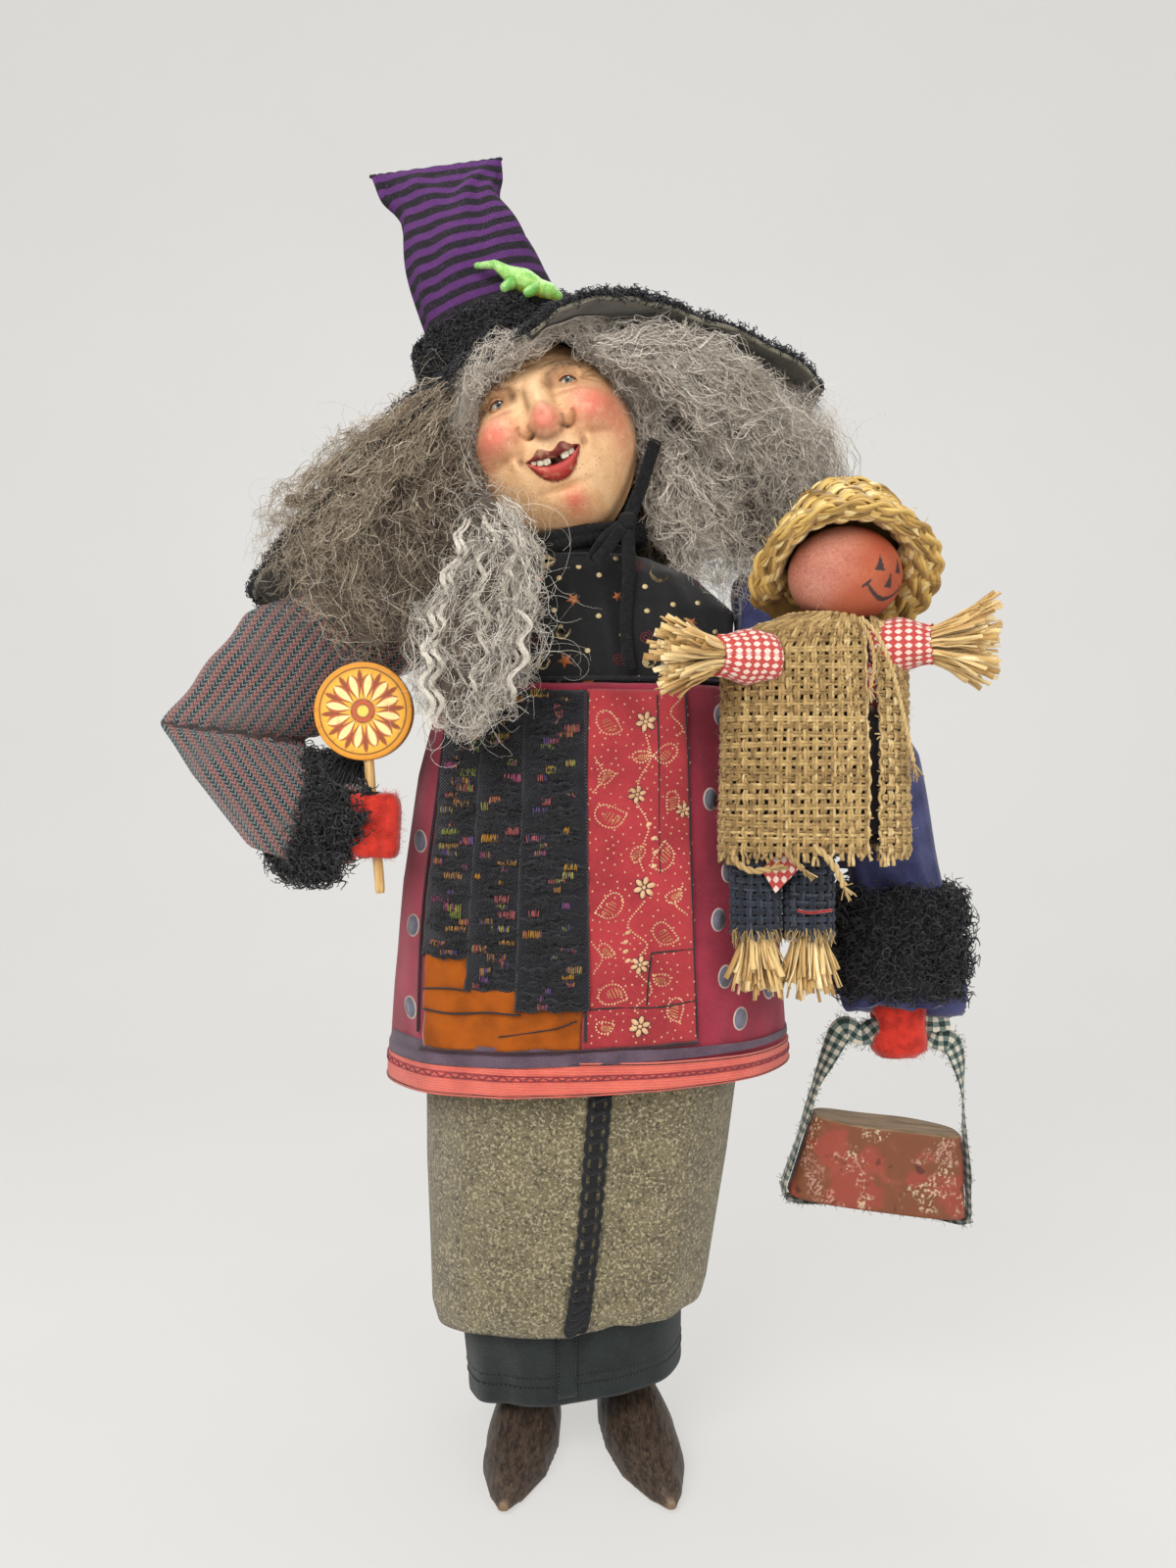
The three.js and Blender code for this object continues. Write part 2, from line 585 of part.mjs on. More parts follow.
// Black braid down the skirt's front, with a scalloped edge on both sides.
function addSkirtBraid() {
  const BRAID_SHORT = 10; // of the skirt's two ends
  const [top, foot] = [skirtTopZ - BRAID_SHORT, SKIRT_HEM_Z + BRAID_SHORT];
  const count = Math.floor((top - foot) / BRAID_PITCH);
  const pitch = (top - foot) / count;
  const lean = (z) => lerp(BODY_LEAN, 4, (z - foot) / (top - foot));
  const half = (share) => (BRAID_WIDTH / 2) * (0.82 + 0.18 * Math.sin(Math.PI * share));
  const edge = [];
  for (let i = 0; i < count; i++) {
    for (const share of [0, 0.5]) edge.push([foot + (i + share) * pitch, half(share)]);
  }
  edge.push([top, half(0)]);
  const outline = [
    ...edge.map(([z, h]) => [lean(z) + h, z]),
    ...[...edge].reverse().map(([z, h]) => [lean(z) - h, z]),
  ];
  add(doll, "skirt_braid", panel(skirtOuter, outline, TRIM), BLACK_BRAID);
}

function addUnderskirtTab() {
  const TAB_HALF_WIDTH = 5.5;
  const TAB_ABOVE_HEM = 2;
  const [left, right] = [BODY_LEAN - TAB_HALF_WIDTH, BODY_LEAN + TAB_HALF_WIDTH];
  const [foot, top] = [UNDERSKIRT_HEM_Z + TAB_ABOVE_HEM, SKIRT_HEM_Z + 2 * TAB_ABOVE_HEM];
  const outline = [
    [left, foot],
    [right, foot],
    [right, top],
    [left, top],
  ];
  add(doll, "underskirt_tab", panel(underskirtOuter, outline, TRIM), DARK_GREEN);
}

// Carved shoe on its own leg: lofted from the pointed toe back to the heel over a flat sole.
function shoeGeometry() {
  const HEEL_BACK = 24; // behind the leg
  const stations = [
    { share: 0, half: 0.1, height: 0.2, lift: 0.07 },
    { share: 0.1, half: 0.42, height: 0.4, lift: 0.03 },
    { share: 0.3, half: 0.86, height: 0.62, lift: 0 },
    { share: 0.55, half: 1, height: 0.8, lift: 0 },
    { share: 0.78, half: 0.9, height: 1, lift: 0 },
    { share: 0.94, half: 0.72, height: 0.96, lift: 0 },
    { share: 1, half: 0.4, height: 0.86, lift: 0 },
  ];
  const SHOE_SIDES = 16;
  const rings = stations.map(({ share, half, height, lift }) => {
    const y = HEEL_BACK - SHOE_LENGTH * (1 - share);
    const low = lift * SHOE_HEIGHT;
    const tall = height * SHOE_HEIGHT - low;
    const arch = Array.from({ length: SHOE_SIDES }, (_, k) => {
      const angle = (Math.PI * k) / (SHOE_SIDES - 1);
      const across = Math.sign(Math.cos(angle)) * Math.abs(Math.cos(angle)) ** 0.7;
      return point(half * SHOE_HALF_WIDTH * across, y, low + tall * Math.sin(angle) ** 0.9);
    });
    return arch;
  });
  return skin(rings);
}

function addLegs() {
  const ankleZ = SHOE_HEIGHT * 0.55;
  for (const leg of legs) {
    const shoe = new THREE.Group();
    shoe.position.set(leg.x, 0, 0);
    shoe.rotation.z = radians(leg.toeOut);
    const [low, high] = [point(0, 0, ankleZ - HOLE_BEYOND), point(0, 0, SHOE_HEIGHT * 2)];
    const socket = rod(low, high, LEG_RADIUS + SEAM_GAP, 12);
    add(shoe, `${leg.side}_shoe`, cut(shoeGeometry(), socket), SHOE_WOOD);
    doll.add(shoe);
    add(doll, `${leg.side}_leg_dowel`, legRod(leg, ankleZ, LEG_TOP_Z, LEG_RADIUS), PALE_WOOD);
  }
}

// Head and hat share one tilted frame at the head's centre.
const headFrame = new THREE.Group();
headFrame.position.set(HEAD_X, HEAD_Y, HEAD_Z);
headFrame.rotation.y = radians(HEAD_TILT);
headFrame.updateMatrix();
const inHeadFrame = (geometry) => geometry.clone().applyMatrix4(headFrame.matrix.clone().invert());
const fromHeadFrame = (geometry) => geometry.clone().applyMatrix4(headFrame.matrix);

// Clay head with its full cheeks, round nose and chin.
const headShape = (extra, x, y, z, rx, ry, rz, sides) =>
  ball(point(x, y, z), rx + extra, ry + extra, rz + extra, sides);
const headFront = -HEAD_HALF_DEPTH;
const SKULL_SIDES = 18;
const skullGeometry = (extra) =>
  headShape(extra, 0, 0, 0, HEAD_HALF_WIDTH, HEAD_HALF_DEPTH, HEAD_HALF_HEIGHT, SKULL_SIDES);

// Features that stand out of the skull: a centre, the three half sizes and a number of sides.
const FACE_FEATURES = [
  [0, headFront - 2, 0, NOSE_RADIUS, NOSE_RADIUS + 2, NOSE_RADIUS, 10],
  [0, headFront + 4, 1.3 * NOSE_RADIUS, 0.62 * NOSE_RADIUS, 0.8 * NOSE_RADIUS, 1.3 * NOSE_RADIUS, 8],
  [-CHEEK_SIDE, headFront + CHEEK_RADIUS, CHEEK_Z, CHEEK_RADIUS, CHEEK_RADIUS, CHEEK_RADIUS, 10],
  [CHEEK_SIDE, headFront + CHEEK_RADIUS, CHEEK_Z, CHEEK_RADIUS, CHEEK_RADIUS, CHEEK_RADIUS, 10],
  [0, headFront + CHIN_RADIUS, CHIN_Z, 1.2 * CHIN_RADIUS, CHIN_RADIUS, 0.9 * CHIN_RADIUS, 10],
  [0, headFront + NOSE_RADIUS, MOUTH_Z, 1.5 * NOSE_RADIUS, NOSE_RADIUS, 0.7 * NOSE_RADIUS, 8],
];
function headGeometry(extra = 0) {
  const features = FACE_FEATURES.map((feature) => headShape(extra, ...feature));
  return join(skullGeometry(extra), ...features).rotateZ(radians(FACE_TURN));
}

// Sock crown: round at the brim, drawn in below the two corners of its flat top seam.
const crownRing = (share, halfWidth, halfDepth, squareness, slope) =>
  level(HAT_X - 3 * share, HAT_Y, HAT_Z + share * CROWN_HEIGHT, halfWidth, halfDepth, squareness, slope);
const CROWN_EASE = 2; // the crown is a little shallower at the top of the band
const CROWN_TUCK = 8; // how far the crown runs down inside the brim
const crownEarWidth = lerp(CROWN_NECK_HALF_WIDTH, CROWN_TOP_HALF_WIDTH, 0.6);
const crownSections = [
  level(HAT_X, HAT_Y, HAT_Z - CROWN_TUCK, CROWN_HALF_WIDTH, CROWN_HALF_DEPTH),
  level(HAT_X, HAT_Y, HAT_Z + HAT_BAND_HEIGHT, CROWN_HALF_WIDTH, CROWN_HALF_DEPTH - CROWN_EASE),
  crownRing(0.52, CROWN_HALF_WIDTH - CROWN_EASE, CROWN_MIDDLE_HALF_DEPTH, 2.2, 0),
  crownRing(0.78, CROWN_NECK_HALF_WIDTH, CROWN_NECK_HALF_DEPTH, 2.3, CROWN_TOP_SLOPE * 0.7),
  crownRing(0.9, crownEarWidth, CROWN_NECK_HALF_DEPTH * 0.55, 2.3, CROWN_TOP_SLOPE * 0.9),
  crownRing(1, CROWN_TOP_HALF_WIDTH, CROWN_TOP_HALF_DEPTH, 2.6, CROWN_TOP_SLOPE),
];

// Floppy brim: its reach and its droop change round the hat, and the front is short and drawn up over the brow.
const BRIM_COMPASS = [
  { reach: 138, droop: 50 },
  { reach: 133, droop: 53 },
  { reach: 124, droop: 49 },
  { reach: 118, droop: 48 },
  { reach: 124, droop: 51 },
  { reach: 136, droop: 57 },
  { reach: 148, droop: 62 },
  { reach: 96, droop: 40 },
  { reach: 58, droop: 13 },
  { reach: 52, droop: 8 },
  { reach: 78, droop: 4 },
  { reach: 92, droop: 14 },
]; // every 30 degrees from the left hand's side, by the back
const brimCurve = new THREE.CatmullRomCurve3(
  BRIM_COMPASS.map(({ reach, droop }) => point(reach, droop, 0)),
  true,
);
const BRIM_SIDES = 28;
const BRIM_RINGS = 4;
const BRIM_BEND = 1.6; // the droop grows towards the edge
const brimHole = CROWN_HALF_WIDTH + SEAM_GAP;

// One face of the brim, as rings from the crown out to the edge.
function brimFace(height) {
  return Array.from({ length: BRIM_RINGS }, (_, i) => {
    const share = i / (BRIM_RINGS - 1);
    return Array.from({ length: BRIM_SIDES }, (_, k) => {
      const angle = (2 * Math.PI * k) / BRIM_SIDES;
      const { x: reach, y: droop } = brimCurve.getPoint(k / BRIM_SIDES);
      const radius = lerp(brimHole, reach, share);
      const z = HAT_Z - droop * share ** BRIM_BEND + height;
      return point(HAT_X + radius * Math.cos(angle), HAT_Y + radius * Math.sin(angle), z);
    });
  });
}
const brimSheet = (low, high) => loop([...brimFace(high), ...brimFace(low).reverse()]);
const LINING_GAP = 2 * SEAM_GAP; // measured upright, so the steep parts keep their clearance

// Rubber lizard that rides on the hat band.
function lizardGeometry() {
  const back = [
    section(point(-24, 3, 5), point(0, 0.7, 0), point(0, 0, 0.7)),
    section(point(-15, 0, 7), point(0, 1.3, 0), point(0, 0, 1.3)),
    section(point(-7, 0, 4), point(0, 3.4, 0), point(0, 0, 2.4)),
    section(point(0, 0, 3), point(0, 5, 0), point(0, 0, 3)),
    section(point(7, 0, 1), point(0, 3.6, 0), point(0, 0, 2.6)),
    section(point(12, 0, 1), point(0, 4, 0), point(0, 0, 2.6)),
    section(point(17, 0, -1), point(0, 1.6, 0), point(0, 0, 1.2)),
  ];
  const legPairs = [-5, 6].flatMap((x) => [-1, 1].map((side) => [x, side]));
  const limbs = legPairs.map(([x, side]) => rod(point(x, side * 2, 2), point(x - 3, side * 9, -2.5), 1.2, 6));
  return join(loft(back, 10), ...limbs);
}

const HAT_SIDES = 20;
const bandTop = HAT_Z + HAT_BAND_HEIGHT;
const bandInner = grownAll(stackBetween(crownSections, HAT_Z + LINING_GAP, bandTop), SEAM_GAP);
const bandOuter = bandInner.map((s, i) => grown(s, i === 0 ? HAT_BAND_THICKNESS : HAT_BAND_TOP_THICKNESS));
const bandClear = loft(lengthened(grownAll(bandOuter, SEAM_GAP), SEAM_GAP), HAT_SIDES);

function addHead() {
  const neckHole = rod(neckFoot, beyond(neckFoot, neckTop, HOLE_BEYOND), NECK_POST_RADIUS + SEAM_GAP, 12);
  const headRoom = headGeometry(SEAM_GAP);
  add(headFrame, "head", cut(headGeometry(), inHeadFrame(neckHole)), CLAY);
  add(headFrame, "hat_crown", cut(loft(crownSections, HAT_SIDES), headRoom), STRIPED_KNIT);
  add(headFrame, "hat_band", tube(bandOuter, bandInner, HAT_SIDES), BLACK_BRAID);
  add(headFrame, "hat_brim", cut(brimSheet(-BRIM_CLOTH, 0), headRoom), BLACK_BRAID);
  const liningTop = -BRIM_CLOTH - LINING_GAP;
  const lining = brimSheet(liningTop - BRIM_LINING, liningTop);
  add(headFrame, "brim_lining", cut(lining, headRoom), OLIVE_LINING);
  const lizard = lizardGeometry().rotateX(radians(LIZARD_ROLL)).rotateY(radians(LIZARD_SLOPE));
  lizard.translate(HAT_X + LIZARD_SIDE, HAT_Y - CROWN_HALF_DEPTH, bandTop + LIZARD_ABOVE_BAND);
  const crownClear = loft(grownAll(crownSections, SEAM_GAP), HAT_SIDES);
  add(headFrame, "lizard", cut(lizard, crownClear, bandClear), GREEN_RUBBER);
  doll.add(headFrame);
}

// Everything under the brim keeps below this slab.
const ABOVE_BRIM = 90;
const underBrim = fromHeadFrame(brimSheet(-BRIM_CLOTH - BRIM_LINING - 2 * LINING_GAP, ABOVE_BRIM));

// A lock of hair: a swelling loft through points in space, each with its half width and half depth.
function lock(stations, sides = 16) {
  const sections = stations.map(([x, y, z, halfWidth, halfDepth], i) => {
    const before = stations[Math.max(i - 1, 0)];
    const after = stations[Math.min(i + 1, stations.length - 1)];
    const way = point(after[0] - before[0], 0, after[2] - before[2]).normalize();
    return section(point(x, y, z), point(-way.z, 0, way.x).multiplyScalar(halfWidth), point(0, halfDepth, 0));
  });
  return loft(sections, sides);
}

const HAIR_RIGHT = [
  [-48, -20, 494, 12, 14],
  [-76, -32, 462, 34, 20],
  [-96, -36, 428, 42, 16],
  [-92, -36, 392, 36, 8],
  [-84, -38, 366, 16, 5],
];
const HAIR_LEFT = [
  [20, -4, 500, 12, 14],
  [52, -2, 484, 26, 18],
  [86, 4, 455, 38, 19],
  [84, 4, 425, 32, 19],
  [80, 4, 408, 14, 10],
];
const HAIR_BACK = [
  [-16, 34, 490, 34, 12],
  [-14, 40, 450, 52, 16],
  [-8, 44, 415, 58, 16],
  [-4, 50, 380, 46, 12],
  [-2, 56, 356, 18, 4],
];
const FRONT_LOCK = [
  [-52, -42, 436, 10, 8],
  [-38, -55, 421, 11, 6],
  [-38, -64, 400, 18, 8],
  [-46, -72, 370, 26, 9],
  [-52, -76, 345, 22, 7],
  [-54, -78, 328, 8, 3],
];

// Braided collar under the chin. It follows the tilt of the head part of the way.
const COLLAR_RISE = 4; // middle of the braid above the blouse's edge
const COLLAR_SPREAD = 2; // of the braid's middle beyond the neckline
const collarCentre = point(COLLAR_X, COLLAR_Y - COLLAR_SPREAD, COLLAR_Z + COLLAR_RISE);
const COLLAR_TILT_SHARE = 0.55;
const collarSlope = COLLAR_TILT_SHARE * Math.tan(radians(-HEAD_TILT));
const collarPath = section(
  collarCentre,
  point(COLLAR_HALF_WIDTH, 0, COLLAR_HALF_WIDTH * collarSlope),
  point(0, COLLAR_HALF_DEPTH + COLLAR_SPREAD, 0),
);
const COLLAR_STEPS = 20;
const collarRings = (extra) =>
  ringOf(collarPath, COLLAR_STEPS).map((p) => {
    const out = p.clone().sub(collarCentre).setLength(0.8 * COLLAR_BRAID_RADIUS + extra);
    return ringOf(section(p, out, point(0, 0, COLLAR_BRAID_RADIUS + extra)), 8);
  });
const headClear = fromHeadFrame(headGeometry(SEAM_GAP));
const blouseRoom = loft(blouseClear, BODY_SIDES);

function addCollar() {
  const bodyRoom = loft(lengthened(grownAll(bodySections, SEAM_GAP), SEAM_GAP), BODY_SIDES);
  add(doll, "collar", cut(loop(collarRings(0)), headClear, blouseRoom, bodyRoom), BLACK_BRAID);
}

function addHair() {
  const crown = fromHeadFrame(loft(grownAll(crownSections, SEAM_GAP), HAT_SIDES));
  const band = fromHeadFrame(bandClear);
  const vest = loft(grownAll(vestOuter, SEAM_GAP + BOUCLE_THICKNESS + SEAM_GAP), BODY_SIDES);
  const cordLayers = 2 * SEAM_GAP + CLOTH + 2 * TRIM + SEAM_GAP;
  const cordStack = stackBetween(bodySections, YOKE_Z - 4 * TRIM, YOKE_Z + 4 * TRIM);
  const cord = loft(grownAll(cordStack, cordLayers), BODY_SIDES);
  const collar = loop(collarRings(SEAM_GAP));
  const rooms = [headClear, underBrim, crown, band, blouseRoom, vest, cord, collar];
  const place = (name, stations, material, ...more) =>
    add(doll, name, cut(lock(stations), ...rooms, ...more), material);
  const farX = 300;
  const armX = SHOULDER_HALF_WIDTH + CLOTH;
  const rightTop = SHOULDER_Z + RIGHT_SLEEVE_HALF_WIDTH;
  const rightArmRoom = box(-farX, -armX, -RIGHT_ARM_SWEEP, farX, 0, rightTop);
  const leftArmRoom = box(armX, farX, -farX, farX, 0, SHOULDER_Z + LEFT_SLEEVE_HALF_WIDTH);
  place("hair_right_side", HAIR_RIGHT, GREY_WOOL, rightArmRoom);
  place("hair_left_side", HAIR_LEFT, GREY_WOOL, leftArmRoom);
  place("hair_back", HAIR_BACK, GREY_WOOL);
  const rightHair = lock(HAIR_RIGHT.map(([x, y, z, w, d]) => [x, y, z, w + SEAM_GAP, d + SEAM_GAP]));
  place("front_lock", FRONT_LOCK, WHITE_WOOL, rightHair);
}

// Ribbon tied in front of the collar: a knot, a strip drawn up, a loop and a hanging tail.
function addRibbon() {
  const [KNOT_HALF_WIDTH, KNOT_HALF_DEPTH, KNOT_HALF_HEIGHT] = [4.5, 3, 4];
  const KNOT_RISE = 3; // above the middle of the braid
  const knotAngle = radians(-54); // round the braid, from the left shoulder
  const braid = collarPath.centre.clone();
  braid.addScaledVector(collarPath.u, Math.cos(knotAngle)).addScaledVector(collarPath.v, Math.sin(knotAngle));
  const out = braid.clone().sub(collarCentre).setZ(0);
  const knot = braid.add(out.setLength(0.8 * COLLAR_BRAID_RADIUS + SEAM_GAP + KNOT_HALF_DEPTH));
  knot.z += KNOT_RISE;
  const strip = (half, ...points) =>
    loft(
      points.map(([x, y, z]) =>
        section(point(x, y, z).add(knot), point(half, 0, 0), point(0, TRIM / 2, 0), 4),
      ),
      8,
    );
  const tail = strip(3.4, [0, -1, 0], [0, -3, -20], [0, -4.5, -36], [0, -14, -66]);
  const bowLoop = strip(3.2, [0, -1, 0], [-9, -5, -8], [-16, -7.5, -17]);
  const upper = strip(3.6, [0, 0, 0], [7, 1, 18], [12, 3, 36]);
  const centre = ball(knot, KNOT_HALF_WIDTH, KNOT_HALF_DEPTH, KNOT_HALF_HEIGHT, 10);
  const room = [headClear, blouseRoom, loop(collarRings(SEAM_GAP))];
  add(doll, "ribbon_tie", cut(join(centre, tail, bowLoop, upper), ...room), BLACK_BRAID);
}

// Right arm, in a frame at the flat face where it is sewn to the shoulder.
const shoulderFace = SHOULDER_HALF_WIDTH + SEAM_GAP + CLOTH + RUNNING_GAP;
const rightArm = new THREE.Group();
rightArm.position.set(-shoulderFace, 0, SHOULDER_Z);
const SLEEVE_SQUARENESS = 2.2;
const elbow = point(-RIGHT_ELBOW_OUT, ELBOW_Y, -RIGHT_ELBOW_DOWN);
const elbowFold = (down) =>
  section(
    elbow.clone().add(point(0, 0, -down)),
    point(ELBOW_FOLD_HALF_WIDTH, 0, ELBOW_FOLD_HALF_WIDTH * ELBOW_FOLD_SLOPE),
    point(0, RIGHT_SLEEVE_HALF_DEPTH * 0.72, 0),
    SLEEVE_SQUARENESS,
  );

// A section square to a way in the plane of the arm. The width's axis lies to the left of the way.
function across(centre, way, half, halfDepth) {
  const side = point(-way.z, 0, way.x).setLength(half);
  return section(centre, side, point(0, halfDepth, 0), SLEEVE_SQUARENESS);
}
const rightAcross = (centre, way, width, depth) =>
  across(centre, way, width * RIGHT_SLEEVE_HALF_WIDTH, depth * RIGHT_SLEEVE_HALF_DEPTH);
const upperSleeve = [
  rightAcross(point(0, 0, 4), point(-1, 0, 0), 0.72, 1),
  rightAcross(point(-30, -1, -3), point(-0.9, 0, -0.35), 0.88, 1.1),
  rightAcross(point(-65, -2, -20), point(-0.6, 0, -0.8), 1, 1.05),
  elbowFold(0),
];
const wrist = elbow.clone().add(point(RIGHT_HAND_IN, -RIGHT_HAND_FORWARD, -RIGHT_HAND_DOWN));

// Below the fold the forearm turns from the elbow's level section to the wrist's upright one.
const forearmPlace = (share, above) => {
  const centre = elbow.clone().lerp(wrist, share);
  return centre.setZ(wrist.z + above);
};
const forearmSleeve = [
  elbowFold(ELBOW_FOLD_GAP),
  section(forearmPlace(0.19, 25), point(31, 0, 3), point(0, RIGHT_SLEEVE_HALF_DEPTH, 0), SLEEVE_SQUARENESS),
  section(forearmPlace(0.45, 8), point(19, 0, 19), point(-6, RIGHT_SLEEVE_HALF_DEPTH, 6), SLEEVE_SQUARENESS),
  section(
    forearmPlace(0.73, 1),
    point(5, 0, WRIST_HALF_HEIGHT + 3),
    point(-8, RIGHT_SLEEVE_HALF_DEPTH * 0.8, 0),
    SLEEVE_SQUARENESS,
  ),
  section(
    wrist,
    point(2, 0, WRIST_HALF_HEIGHT),
    point(-8, RIGHT_SLEEVE_HALF_DEPTH * 0.75, 0),
    SLEEVE_SQUARENESS,
  ),
];
const hand = wrist.clone().add(point(7, -4, 0));
const lollipopWay = point(Math.sin(radians(LOLLIPOP_LEAN)), 0, Math.cos(radians(LOLLIPOP_LEAN)));
const stickFoot = hand.clone().addScaledVector(lollipopWay, -STICK_BELOW_HAND);
const discCentre = hand.clone().addScaledVector(lollipopWay, LOLLIPOP_ABOVE_HAND);
const STICK_IN_DISC = 12;
const stickTop = discCentre.clone().addScaledVector(lollipopWay, STICK_IN_DISC - LOLLIPOP_RADIUS);
const stickRoom = (extra) => {
  const reach = lollipopWay.clone().setLength(extra);
  return rod(stickFoot.clone().sub(reach), stickTop.clone().add(reach), STICK_RADIUS + RUNNING_GAP / 2, 12);
};

// The disc's way as the stick is pushed in, open to the front: the fur of the cuff lies behind it.
function discRoom() {
  const radius = LOLLIPOP_RADIUS + RUNNING_GAP;
  const depth = 4 * LOLLIPOP_THICKNESS;
  const forward = LOLLIPOP_THICKNESS / 2 + RUNNING_GAP - depth / 2;
  const pushed = (geometry, push) => {
    const centre = discCentre.clone().addScaledVector(lollipopWay, -push);
    return geometry.rotateY(radians(LOLLIPOP_LEAN)).translate(centre.x, centre.y + forward, centre.z);
  };
  const round = (push) => pushed(new THREE.CylinderGeometry(radius, radius, depth, 32), push);
  const between = pushed(new THREE.BoxGeometry(2 * radius, depth, LOLLIPOP_PUSH), LOLLIPOP_PUSH / 2);
  return join(round(0), between, round(LOLLIPOP_PUSH));
}

const MITT_SIDES = 14;
const MITT_PLUMPNESS = 2.6;
const mittSections = (grow) =>
  [-0.5, -0.36, 0, 0.36, 0.5].map((share) => {
    const full = 1 - 0.9 * Math.max(0, Math.abs(share) - 0.3);
    const z = hand.z + share * (MITT_HEIGHT + 2 * grow);
    const halfWidth = MITT_HALF_WIDTH * full + grow;
    return level(hand.x, hand.y, z, halfWidth, MITT_HALF_DEPTH * full + grow, MITT_PLUMPNESS);
  });

// A fur ring round the sleeve from one place along it to another, as parallel rounds of fur.
function cuffAround(sleeve, from, to, thickness) {
  const { u, v, squareness } = along(sleeve, lerp(from, to, 0.5));
  const outer = [0, 0.33, 0.67, 1].map((share, i) => {
    const { centre } = along(sleeve, lerp(from, to, share));
    return grown(section(centre, u, v, squareness), i % 3 === 0 ? thickness * 0.6 : thickness);
  });
  return cut(loft(outer), loft(sleeve), loft(grownAll(sleeve, SEAM_GAP)));
}

const wire = (from, to, extra) => rod(from, to, ARM_WIRE_RADIUS + extra, 8);

// The hole for a wire: open at the end that it starts from, and blind at the other.
const wireHole = (from, to, open) => wire(beyond(to, from, open), beyond(from, to, HOLE_BEYOND), SEAM_GAP);

function addRightArm() {
  const upperFrom = point(-UPPER_WIRE_INSET, 0, 0);
  const upperTo = point(-RIGHT_ELBOW_OUT + WIRE_END_INSET, ELBOW_Y, -RIGHT_ELBOW_DOWN + WIRE_END_INSET);
  const upperRoom = wireHole(upperFrom, upperTo, 2 * UPPER_WIRE_INSET);
  add(rightArm, "right_upper_sleeve", cut(loft(upperSleeve), upperRoom), STRIPED_WOOL);
  add(rightArm, "right_upper_arm_wire", wire(upperFrom, upperTo, 0), STEEL);
  const mittRoom = loft(mittSections(SEAM_GAP), MITT_SIDES);
  const foreFrom = wrist.clone();
  const foreTo = point(-RIGHT_ELBOW_OUT + WIRE_END_INSET, 2 * ELBOW_Y, -RIGHT_ELBOW_DOWN - WIRE_END_INSET);
  const foreRoom = wireHole(foreFrom, foreTo, MITT_HEIGHT);
  const stickPath = stickRoom(STICK_TRAVEL);
  const forearm = cut(loft(forearmSleeve), foreRoom, mittRoom, stickPath, discRoom());
  add(rightArm, "right_forearm_sleeve", forearm, STRIPED_WOOL);
  add(rightArm, "right_forearm_wire", cut(wire(foreFrom, foreTo, 0), mittRoom), STEEL);
  const cuff = cuffAround(forearmSleeve, RIGHT_CUFF_FROM, RIGHT_CUFF_TO, CUFF_THICKNESS);
  const upperClear = loft(grownAll(upperSleeve, RUNNING_GAP));
  add(rightArm, "right_fur_cuff", cut(cuff, mittRoom, upperClear, stickPath, discRoom()), BLACK_BRAID);
  add(rightArm, "right_mitt", cut(loft(mittSections(0), MITT_SIDES), stickPath), RED_FELT);
  add(rightArm, "lollipop_stick", rod(stickFoot, stickTop, STICK_RADIUS, 12), PALE_WOOD);
  const disc = new THREE.CylinderGeometry(LOLLIPOP_RADIUS, LOLLIPOP_RADIUS, LOLLIPOP_THICKNESS, 32);
  disc.rotateY(radians(LOLLIPOP_LEAN)).translate(discCentre.x, discCentre.y, discCentre.z);
  add(rightArm, "lollipop_disc", cut(disc, stickRoom(SEAM_GAP)), YELLOW_WOOD);
  doll.add(rightArm);
}

// Left arm, in a frame at its own shoulder face.
const leftArm = new THREE.Group();
leftArm.position.set(shoulderFace, 0, SHOULDER_Z);
const leftWrist = point(LEFT_HAND_OUT, -LEFT_HAND_FORWARD, -LEFT_HAND_DOWN);
const leftPlace = (out, forward, down) =>
  point(out * LEFT_HAND_OUT, -forward * LEFT_HAND_FORWARD, -down * LEFT_HAND_DOWN);
const leftAcross = (centre, way, width, depth) =>
  across(centre, way, width * LEFT_SLEEVE_HALF_WIDTH, depth * LEFT_SLEEVE_HALF_DEPTH);
const leftSleeve = [
  leftAcross(point(0, 0, 2), point(1, 0, 0), 0.85, 0.9),
  leftAcross(leftPlace(0.45, 0.4, 0.15), point(0.7, 0, -0.7), 1, 1),
  leftAcross(leftPlace(0.83, 0.85, 0.4), point(0.3, 0, -1), 1, 1),
  leftAcross(leftPlace(1, 1, 0.7), point(0, 0, -1), 0.94, 0.92),
  leftAcross(leftWrist, point(0, 0, -1), 1.06, 1),
];
const gripDrop = MITT_HEIGHT / 2 + LEFT_GRIP_BELOW_MIDDLE - LEFT_MITT_IN_SLEEVE;
const grip = leftWrist.clone().add(point(0, 0, -gripDrop));
const leftMitt = (grow) =>
  [-0.62, -0.5, -0.2, 0.2, 0.5].map((share) => {
    const full = share < -0.55 ? 0.75 : 1;
    const z = grip.z + LEFT_GRIP_BELOW_MIDDLE + share * MITT_HEIGHT + Math.sign(share) * grow;
    const halfWidth = LEFT_MITT_HALF_WIDTH * full + grow;
    return level(grip.x, grip.y, z, halfWidth, MITT_HALF_DEPTH * full + grow, MITT_PLUMPNESS);
  });

